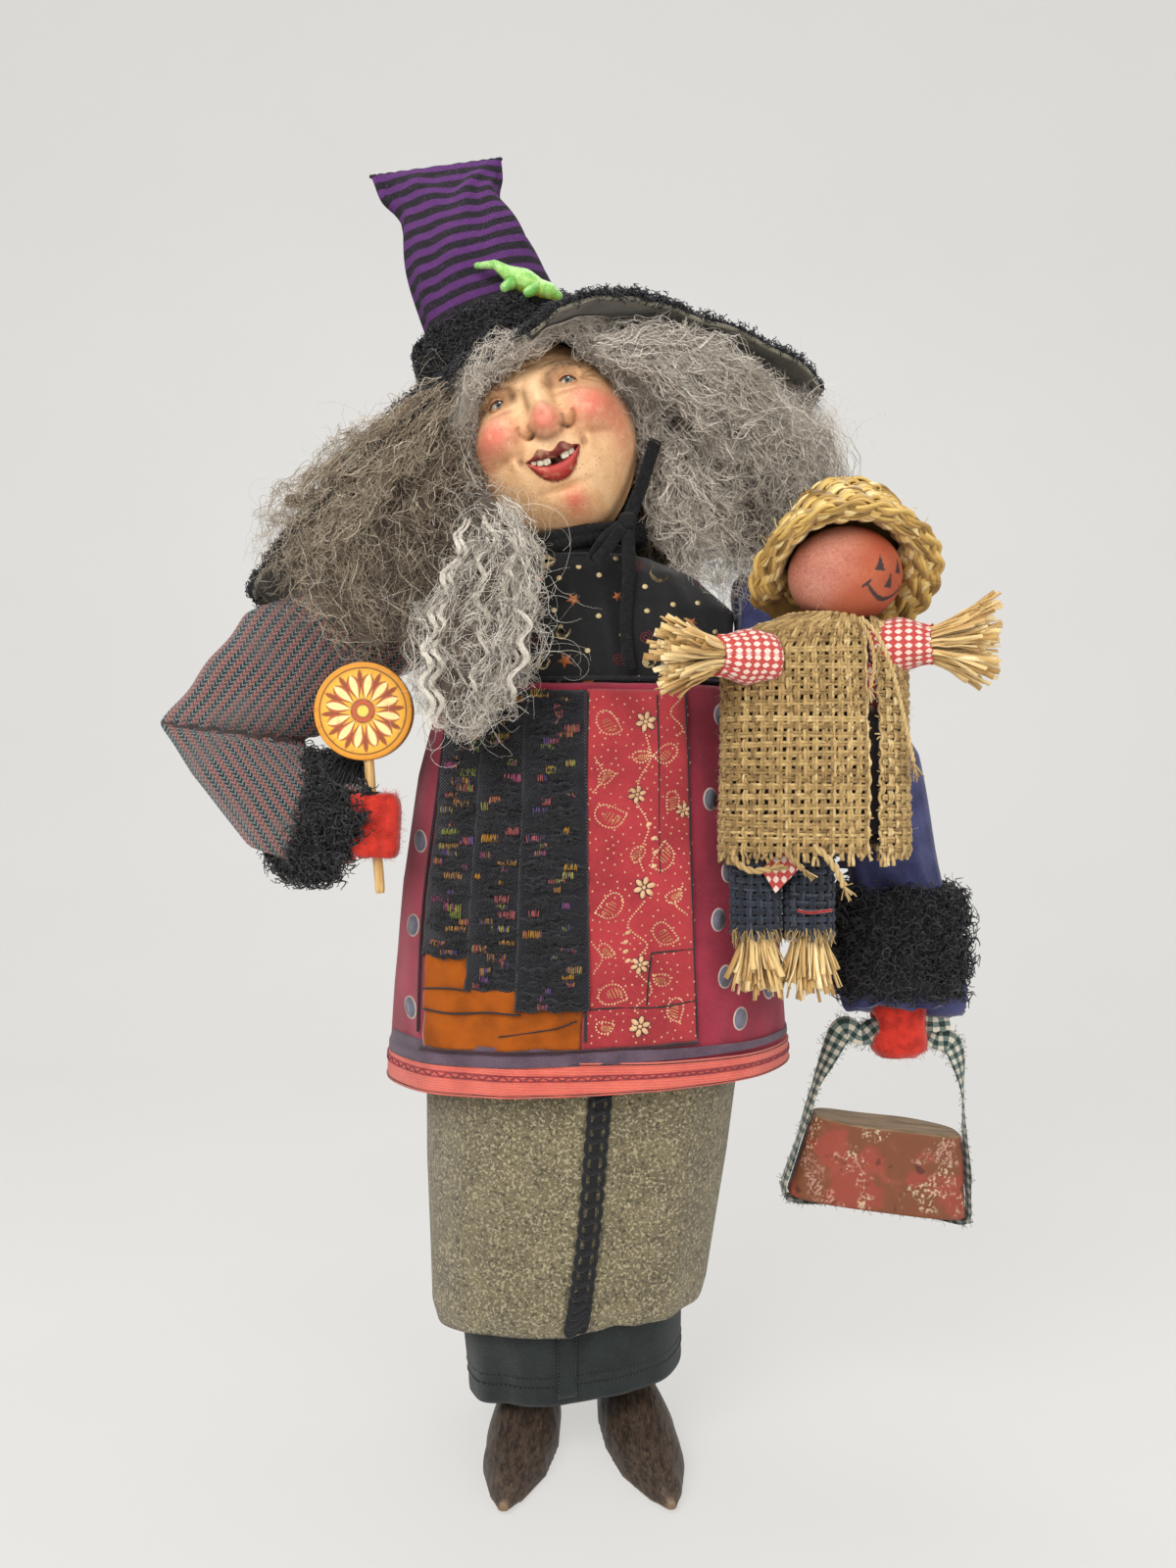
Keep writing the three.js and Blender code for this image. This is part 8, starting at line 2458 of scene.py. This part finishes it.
def add_straw_hat():
    core = softened(
        "straw_hat_core", ["scarecrow_straw_hat"], 1.3, 10, RAFFIA, "scarecrow_head", swell=-1.4
    )
    # The core takes the darkest straw, as painted shade in the gaps between the braids
    add_channel(core.data, "shade", np.full(len(core.data.vertices), 0.05))
    braid_rows("raffia_braid", HAT_OUTSIDE, 1, 34, 151)
    braid_rows("raffia_braid_inside", HAT_INSIDE, -1, 34, 153)
    wild = np.random.default_rng(152)
    count = 90
    rows = np.array(HAT_OUTSIDE)
    ring = wild.integers(0, 4, count)
    angle = wild.random(count) * TAU
    base = rows[ring]
    root = np.stack([base[:, 0] * np.cos(angle), base[:, 0] * np.sin(angle), base[:, 1]], axis=1)
    way = np.stack(
        [
            np.cos(angle) - 0.8 * np.sin(angle), np.sin(angle) + 0.8 * np.cos(angle),
            wild.normal(0, 0.5, count)
        ],
        axis=1
    )
    t = np.linspace(0, 1, 6)[None, :, None]
    long = wild.uniform(3, 8, (count, 1, 1))
    paths = root[:, None] + t * long * unit(way)[:, None] + t**2 * wild.normal(size=(count, 1, 3)) * 1.5
    paths, shade = from_straw_hat(paths), wild.uniform(0.3, 1, count)
    make_strands("raffia_ends", paths, 0.3, shade, RAFFIA, "scarecrow_head", "straw", flat=0.5)


def burlap_at(share_round, height):
    """Points on the vest and their outward ways, round from one edge of the slit to the other."""
    shift, wide, deep, power = (np.interp(height, BURLAP[:, 0], BURLAP[:, k]) for k in range(1, 5))
    begin = np.arcsin(np.clip((SLIT_RIGHT - shift) / wide, -1, 1))
    finish = TAU + np.arcsin(np.clip((SLIT_LEFT - shift) / wide, -1, 1))
    turn = begin + (finish - begin) * share_round
    sin, cos = np.sin(turn), np.cos(turn)
    x = shift + wide * np.sign(sin) * np.abs(sin) ** (2 / power)
    y = -deep * np.sign(cos) * np.abs(cos) ** (2 / power)
    out = unit(np.stack([sin / wide, -cos / deep, 0 * turn], axis=-1))
    return SCARECROW + np.stack([x, y, height + 0 * turn], axis=-1), out


def even_rounds(height, count):
    """Shares round the vest that are the same distance apart."""
    fine = np.linspace(0, 1, 600)
    points, _ = burlap_at(fine, np.full(600, height))
    run = np.concatenate([[0], np.cumsum(np.linalg.norm(np.diff(points, axis=0), axis=1))])
    return np.interp(np.linspace(0, run[-1], count), run, fine)


YARN_PITCH, YARN_TWIN, YARN_HEAVE = 3.5, 0.62, 0.85


def add_burlap():
    wild = np.random.default_rng(161)
    low, high = -4.5, 94.0
    rows = round((high - low) / YARN_PITCH)
    columns = 54
    heights = np.linspace(low, high, rows) + wild.normal(0, 0.25, rows)
    detail = 4
    weft = []
    for row, height in enumerate(heights):
        count = columns * detail
        share = even_rounds(height, count)
        wavy = (
            height + 0.4 * np.sin(np.linspace(0, 9, count) + row) + 0.02 * wild.normal(size=count).cumsum()
        )
        points, out = burlap_at(share, wavy)
        over = np.cos(math.pi * (np.arange(count) / detail + row))
        for twin in (-YARN_TWIN, YARN_TWIN):
            line = points + out * (YARN_HEAVE * over)[:, None]
            line[:, 2] += twin
            weft.append(line)
    warp = []
    shares = np.stack(
        [even_rounds(height, columns) for height in np.linspace(low - 5, high, rows * detail)]
    )
    for column in range(columns):
        z = np.linspace(low - wild.uniform(2.5, 7.0), high + 1, rows * detail)
        points, out = burlap_at(shares[:, column], z)
        over = -np.cos(math.pi * ((z - low) / (high - low) * (rows - 1) + column))
        side = unit(np.cross(out, (0, 0, 1)))
        wander = 0.35 * np.sin(z / 9 + column * 1.7)
        loose = ease(low - z, 0.5, 5)
        for twin in (-YARN_TWIN, YARN_TWIN):
            offset = twin + wander + loose * wild.normal(0, 1.5)
            line = (
                points + out * (YARN_HEAVE * over * (1 - loose))[:, None]
                + side * np.asarray(offset)[:, None]
            )
            line = line - out * (loose * wild.uniform(-1.0, 0.6))[:, None]
            warp.append(line)
    for name, paths in (("weft", weft), ("warp", warp)):
        paths = np.array(paths)
        thick = 0.8 * (1 + 0.15 * wild.normal(size=paths.shape[:2]))
        points, faces = tubes(paths, np.clip(thick, 0.5, 1.1), 5)
        shade = np.repeat(wild.uniform(0.15, 0.85, len(paths)), paths.shape[1] * 5)
        shade = shade + np.repeat(wild.normal(0, 0.12, paths.shape[:2]).ravel(), 5)
        make(f"burlap_{name}", points, faces, JUTE, "left_arm", slot="burlap", shade=shade)
    # A dark sheet behind the open weave, as painted shade seen through its gaps
    steps = 160
    grid = []
    for height in np.linspace(low + 1, high - 1, 40):
        points, out = burlap_at(even_rounds(height, steps), np.full(steps, height))
        grid.append(points - 2.0 * out)
    grid = np.array(grid)
    out = unit(grid - SCARECROW - (0, 0, 40)) * (1, 1, 0)
    points, faces = shell(grid, out, 0.5, False)
    shadow = woven("burlap_shadow", "#2b2014", "#43331f", "#150f09", pitch=1.2, lie="place")
    ground = make("burlap_shade_sheet", points, faces, shadow, "left_arm", ["scarecrow_vest"])
    # Fine fibres that stand off the yarn, and frayed ends at the slit
    count = 1300
    picked = np.array(weft)[wild.integers(0, len(weft), count), wild.integers(0, columns * detail, count)]
    way = unit(unit(picked - SCARECROW - (0, 0, 40)) * (1, 1, 0.1) + 0.7 * wild.normal(size=(count, 3)))
    t = np.linspace(0, 1, 6)[None, :, None]
    long = wild.uniform(1.0, 3.6, (count, 1, 1))
    paths = picked[:, None] + t * long * way[:, None] + t**2 * wild.normal(size=(count, 1, 3)) * 0.8
    make_strands("burlap_fuzz", paths, 0.07, wild.uniform(0.5, 1, count), JUTE, "left_arm", "burlap")
    ends = []
    for line in weft:
        for tip, before in ((line[0], line[2]), (line[-1], line[-3])):
            way = unit(tip - before)
            reach = wild.uniform(0.4, 2.2)
            bend = wild.normal(size=3) * (0.4, 0.5, 0.8)
            ends.append(tip + t[0] * reach * way + t[0] ** 2 * bend)
    ends = np.array(ends)
    taper, shade = 0.5 * np.linspace(1, 0.6, 6), wild.uniform(0.4, 1, len(ends))
    make_strands("burlap_slit_ends", ends, taper, shade, JUTE, "left_arm", "burlap", 5)


def straw_bunch(name, root, way, count, length, spread, thick, body, seed, node, room=math.inf):
    """Flat strips that fan out from a tied end, pressed flat behind the plane y = room."""
    wild = np.random.default_rng(seed)
    way = unit(np.asarray(way, float))
    side = unit(np.cross(way, (0.3, 0.8, 0.5)))
    other = np.cross(way, side)
    angle, reach = wild.random(count) * TAU, np.sqrt(wild.random(count))
    ring = np.cos(angle)[:, None] * side + np.sin(angle)[:, None] * other
    start = root + ring * (reach * thick * 0.75)[:, None]
    long = length * wild.uniform(0.7, 1.08, (count, 1, 1))
    t = np.linspace(0, 1, 9)[None, :, None]
    fan = ring * (reach * thick * (spread - 1))[:, None]
    paths = start[:, None] - 5 * way + t * (long + 5) * way + (t**1.4) * fan[:, None]
    bend = wild.normal(size=(count, 1, 3)) * 2.2
    paths = (
        paths + t**2 * bend
        + 0.55 * np.sin(t * wild.uniform(6, 14, (count, 1, 1)) + angle[:, None, None]) * other
    )
    paths[..., 1] -= 0.9 * np.maximum(paths[..., 1] - room, 0)
    up = unit(ring + 0.8 * wild.normal(size=(count, 3)))[:, None]
    width = wild.uniform(0.8, 1.8, (count, 1)) * np.linspace(0.8, 1.1, 9)
    points, faces = tubes(paths, width, 4, 0.22, np.broadcast_to(up, paths.shape))
    make(name, points, faces, STRAW, body, [node], shade=per_strand(wild.random(count), paths, 4))


def add_arms():
    for side, root, way, body_seed, spread in (
        ("right", (-20, -12, 76), (-1, -0.38, 0), 171, 2.1),
        ("left", (23, -4, 82), (1, -0.3, 0), 172, 2.6),
    ):
        node = f"scarecrow_{side}_sleeve"
        sleeve = softened(f"{side}_check_sleeve", [node], 0.9, 8, RED_CHECK, "left_arm")
        points, out = points_of(sleeve), normals_of(sleeve)
        axis = unit(np.array(way, float))
        start = SCARECROW + np.array(root, float)
        along = (points - start) @ axis
        off = points - start - along[:, None] * axis
        turn = np.arctan2(off[:, 2], off @ np.cross(axis, (0, 0, 1)))
        gather = bell(along, 25, 4)
        amount = -1.6 * gather + 0.5 * gather * np.sin(11 * turn) + 0.5 * np.sin(along / 2.6 + 2 * turn)
        reshape(sleeve, points + out * amount[:, None])
        add_channel(sleeve.data, "lie", np.stack([11.5 * turn, along, 0 * along], axis=1))
        straw_bunch(
            f"{side}_straw_strips", start + 25 * axis, axis, 150, 25, spread, 8.6, "left_arm", body_seed,
            f"scarecrow_{side}_straw_hand"
        )


def leg_weave(side, centre, body, seed):
    """Dyed burlap round one leg, whose cut edge is frayed."""
    wild = np.random.default_rng(seed)
    columns, rows, detail = 16, 11, 6
    wide, deep = 10.2, 9.2
    heights = np.linspace(-28.5, 5.4, rows)
    paths = []
    for row, height in enumerate(heights):
        t = np.linspace(0, TAU, columns * detail + 1)
        over = 1 + 0.075 * np.cos(math.pi * (np.arange(len(t)) / detail + row))
        for twin in (-0.52, 0.52):
            z = np.full(len(t), height + twin) + 0.3 * np.sin(2 * t + row)
            paths.append(centre + np.stack([wide * over * np.sin(t), -deep * over * np.cos(t), z], axis=1))
    weft = np.array(paths)
    paths = []
    for column in range(columns):
        turn = TAU * column / columns
        steps = rows * detail
        z = np.linspace(-31.5 - wild.uniform(0, 3), 6.0, steps)
        crossed = (z - heights[0]) / (heights[-1] - heights[0]) * (rows - 1)
        over = 1 - 0.075 * np.cos(math.pi * (crossed + column))
        loose = ease(-28.5 - z, 0, 4)
        for twin in (-0.054, 0.054):
            angle = turn + twin + 0.03 * np.sin(z / 5 + column) + loose * wild.normal(0, 0.06)
            paths.append(
                centre + np.stack([wide * over * np.sin(angle), -deep * over * np.cos(angle), z], axis=1)
            )
    warp = np.array(paths)
    weave = Pile()
    for group in (weft, warp):
        points, faces = tubes(group, 0.7, 5)
        shade = np.repeat(wild.uniform(0.1, 0.75, len(group)), group.shape[1] * 5)
        worn = 0.45 * ease(-(points[:, 2] - centre[2]), 28, 34)
        weave.add(points, faces, shade=shade + worn)
    weave.build(f"{side}_leg_weave", NAVY_JUTE, body, slot="navy_burlap")
    count = 90
    turn = wild.random(count) * TAU
    root = (
        centre
        + np.stack([wide * np.sin(turn), -deep * np.cos(turn), wild.uniform(-30, -27, count)], axis=1)
    )
    way = unit(
        np.stack([0.35 * np.sin(turn), -0.35 * np.cos(turn), np.full(count, -1.0)], axis=1)
        + 0.25 * wild.normal(size=(count, 3))
    )
    t = np.linspace(0, 1, 6)[None, :, None]
    frayed = (
        root[:, None] + t * wild.uniform(4, 8, (count, 1, 1)) * way[:, None]
        + t**2 * wild.normal(size=(count, 1, 3))
    )
    frayed[..., 0] = np.clip(frayed[..., 0], centre[0] - wide, centre[0] + wide)
    frayed[..., 1] = np.minimum(frayed[..., 1], centre[1] + deep - 5.0)
    shade = wild.uniform(0.2, 0.9, count)
    make_strands(f"{side}_leg_fraying", frayed, 0.28, shade, JUTE, body, "straw")


def add_legs():
    core = woven("navy_burlap_core", "#171b25", "#2a3040", "#0d1017", pitch=1.0, lie="place")
    for side, x, seed in (("right", -24.8, 181), ("left", -2.4, 183)):
        body = f"scarecrow_{side}_leg"
        centre = SCARECROW + (x, 0, -9.5)
        trouser = softened(
            f"{side}_trouser_core", [f"scarecrow_{side}_trouser"], 1.0, 6, core, body, swell=-0.9
        )
        leg_weave(side, centre, body, seed)
        straw_bunch(
            f"{side}_foot_strips", centre + (0, 0, -30), (0.04, -0.03, -1), 170, 24, 1.75, 7.8, body,
            seed + 1, f"scarecrow_{side}_straw_foot", centre[1] + 4.5
        )


def twisted(name, stations, radius, seed, frayed):
    """Two jute yarns twisted together, with a loose end."""
    wild = np.random.default_rng(seed)
    steps = 70
    line = spline(stations, steps)
    way = unit(np.gradient(line, axis=0))
    side = unit(np.cross(way, (0.2, 1.0, 0.1)))
    other = np.cross(way, side)
    length = np.concatenate([[0], np.cumsum(np.linalg.norm(np.diff(line, axis=0), axis=1))])
    pile = Pile()
    for phase in (0, math.pi):
        turn = TAU * length / (radius * 7) + phase
        path = line + radius * 0.6 * (np.cos(turn)[:, None] * side + np.sin(turn)[:, None] * other)
        points, faces = tubes(path[None], radius * 0.75, 6)
        pile.add(points, faces, shade=np.full(len(points), wild.uniform(0.4, 0.9)))
    t = np.linspace(0, 1, 8)[None, :, None]
    count = 16
    spread = wild.normal(size=(count, 1, 3)) * 1.6
    tip = line[-1] + t * frayed * wild.uniform(0.5, 1.1, (count, 1, 1)) * way[-1] + t * spread
    points, faces = tubes(tip, 0.28, 3)
    pile.add(points, faces, shade=per_strand(wild.uniform(0.4, 1.0, count), tip))
    pile.build(name, JUTE, "left_arm", slot="burlap")


def add_scarecrow_trim():
    front = SCARECROW + np.array([0.0, -21.0, 0.0])
    # Name, half of the thickness, seed, length of the loose end and the line of each tie
    long_tie = [(16, 1.5, 92), (22, -1.5, 84), (28, -1.5, 70), (33, 0.5, 52), (38.5, 4.5, 32)]
    for name, radius, seed, frayed, stations in (
        ("neck_tie_long", 0.8, 191, 6, long_tie),
        ("neck_tie_short", 0.7, 192, 4, [(15, 1.5, 92), (19, -2, 82), (20.5, -2, 72), (19, -1.6, 62)]),
        ("hip_tail_right", 1.15, 193, 6, [(-37, 6, -5), (-35, 3, -10), (-29, 1.5, -13), (-22, 0.5, -12)]),
        ("hip_tail_left", 1.2, 194, 6, [(-4, 1, -3), (0, -1.5, -6), (4.5, -2.5, -12), (8, -2.5, -19)]),
        ("hip_tail_middle", 1.0, 195, 5, [(-16, 1, -4), (-13, -1.5, -8), (-9, -2.5, -12)]),
    ):
        twisted(name, front + np.array(stations), radius, seed, frayed)
    # Checked patch at the hip and a red running stitch on one leg
    hip = SCARECROW + np.array([-16.5, -11.6, -13.0])
    side = np.linspace(-1, 1, 21)
    u, v = np.meshgrid(side, side)
    x = 5.4 * (u + v) * 0.72 + 0.18 * 5.4 * (v - u)
    z = 6.9 * (v - u) * 0.72
    grid = hip + np.stack([x, -0.5 + 0.015 * x**2 + 0.25 * np.sin(u * 5), z], axis=-1)
    out = np.broadcast_to((0.0, -1.0, 0.0), grid.shape)
    points, faces = shell(grid, out, 0.7, False)
    lie = np.stack([x, z, 0 * x], axis=-1).reshape(-1, 3)
    make(
        "hip_patch", points, faces, RED_CHECK, "scarecrow_right_leg", slot="red_check",
        lie=np.concatenate([lie, lie])
    )
    stitch = [(-8.5, -8.9, -30.5), (-5, -10.6, -31.2), (-1, -11, -31), (3, -10.2, -30.6), (6, -8.4, -30.4)]
    points, faces = tubes(spline(SCARECROW + np.array(stitch), 40)[None], 0.7, 6)
    red = napped("red_stitch_yarn", "#a8322f", "#c9574f", "#7d201f", patch=2, fibre=0.3, depth=0.1)
    make("leg_stitch", points, faces, red, "scarecrow_left_leg", slot="red_check")


def dress(node, finish):
    """A CAD solid that stays as it is, in a material of its own."""
    mesh = frame["nodes"][node].data
    mesh.materials.clear()
    mesh.materials.append(finish.material)


def add_inner_parts():
    inner = softened("checked_body", ["scarecrow_body"], 1.2, 6, RED_CHECK, "left_arm", swell=-1.4)
    points = points_of(inner)
    # Painted shade: the body is darker low down, inside the vest
    inside_shade = 1 - ease(points[:, 2] - SCARECROW[2], 52, 66)
    add_channel(inner.data, "lie", np.stack([points[:, 0] + 0.7 * points[:, 1], points[:, 2], inside_shade], axis=1))
    dowel = wood("dowel_wood", "#c9a56e", "#dfc292", "#a07c49")
    for node in ("neck_post", "right_leg_dowel", "left_leg_dowel", "scarecrow_neck_peg"):
        dress(node, dowel)
    steel = two_tone("steel_wire", "#8b8d90", "#b4b6b8", 3, 3, Metallic=1.0, Roughness=0.35)
    steel.bump(steel.noise(1.5, 2), 0.02)
    for node in ("right_upper_arm_wire", "right_forearm_wire", "left_arm_wire"):
        dress(node, steel)


add_ball()
add_straw_hat()
add_burlap()
add_arms()
add_legs()
add_scarecrow_trim()
add_inner_parts()


# Camera, floor and light
PAPER, PAPER_GLOW = "#e3e2df", 0.72
ROOM_TINT, ROOM_LIGHT = (1.0, 0.99, 0.97, 1.0), 0.44
CAMERA, LENS, LIT_MIDDLE = (0, -570, 307), 27.2, (0, 0, 320)
FLOOR_BEND_AT, FLOOR_BEND = 700, 500


def seen_rays(nodes, links):
    """1 for the rays that show the background: the camera's own, and those by way of gloss or glass."""
    ray = nodes.new("ShaderNodeLightPath")
    total = ray.outputs["Is Camera Ray"]
    for kind in ("Is Glossy Ray", "Is Transmission Ray"):
        both = nodes.new("ShaderNodeMath")
        both.operation = "MAXIMUM"
        links.new(total, both.inputs[0])
        links.new(ray.outputs[kind], both.inputs[1])
        total = both.outputs[0]
    return total


def add_stage():
    floor = Finish("floor", Roughness=0.8)
    floor.colour(floor.clouds("#e6e4e1", "#e2e0dd", 0.3, 0.7, 180.0, 2))
    floor.bump(floor.noise(0.8, 2), 0.02)
    # The camera sees the paper as an even light grey, with the shadows on it
    nodes, links = floor.material.node_tree.nodes, floor.material.node_tree.links
    output = next(node for node in nodes if node.type == "OUTPUT_MATERIAL")
    shaded = output.inputs["Surface"].links[0].from_socket
    even = nodes.new("ShaderNodeEmission")
    even.inputs["Color"].default_value = rgb(PAPER)
    share = nodes.new("ShaderNodeMath")
    share.operation = "MULTIPLY"
    share.inputs[1].default_value = PAPER_GLOW
    links.new(seen_rays(nodes, links), share.inputs[0])
    both = nodes.new("ShaderNodeMixShader")
    links.new(share.outputs[0], both.inputs[0])
    links.new(shaded, both.inputs[1])
    links.new(even.outputs[0], both.inputs[2])
    links.new(both.outputs[0], output.inputs["Surface"])
    depth = np.linspace(-900, FLOOR_BEND_AT, 30)
    bend = np.linspace(0.05, TAU / 4, 24)
    way = np.concatenate([depth, FLOOR_BEND_AT + FLOOR_BEND * np.sin(bend), np.full(12, 1200.0)])
    rise = np.concatenate([0 * depth, FLOOR_BEND - FLOOR_BEND * np.cos(bend), np.linspace(560, 2600, 12)])
    across = np.linspace(-2400, 2400, 24)
    grid = np.stack(np.broadcast_arrays(across[None], way[:, None], rise[:, None]), axis=-1)
    sweep = make("floor_sweep", grid.reshape(-1, 3), grid_faces(*grid.shape[:2]), floor, body=None)
    scene = bpy.context.scene
    camera = bpy.data.objects.new("camera", bpy.data.cameras.new("camera"))
    camera.data.sensor_width = 36
    camera.data.lens = LENS
    camera.data.clip_start = 0.01
    camera.location = to_metres(CAMERA)
    camera.rotation_euler = (math.pi / 2, 0, 0)
    scene.collection.objects.link(camera)
    scene.camera = camera
    for name, at, size, power in (
        ("key", (-520, -950, 950), 800, 14.2),
        ("fill", (720, -900, 460), 900, 6.6),
        ("top", (60, 260, 1350), 900, 6.0),
    ):
        light = bpy.data.objects.new(name, bpy.data.lights.new(name, "AREA"))
        light.data.size = size * MM
        light.data.energy = power
        light.location = to_metres(at)
        toward = Vector(to_metres(LIT_MIDDLE)) - light.location
        light.rotation_euler = toward.to_track_quat("-Z", "Y").to_euler()
        scene.collection.objects.link(light)
    world = scene.world or bpy.data.worlds.new("room")
    scene.world = world
    world.use_nodes = True
    nodes, links = world.node_tree.nodes, world.node_tree.links
    room = nodes["Background"]
    room.inputs["Color"].default_value = ROOM_TINT
    room.inputs["Strength"].default_value = ROOM_LIGHT
    # Beyond the paper's edges the same light grey is seen
    beyond = nodes.new("ShaderNodeBackground")
    beyond.inputs["Color"].default_value = rgb(PAPER)
    both = nodes.new("ShaderNodeMixShader")
    links.new(seen_rays(nodes, links), both.inputs[0])
    links.new(room.outputs[0], both.inputs[1])
    links.new(beyond.outputs[0], both.inputs[2])
    links.new(both.outputs[0], nodes["World Output"].inputs["Surface"])
    scene.view_settings.view_transform = "Standard"


add_stage()
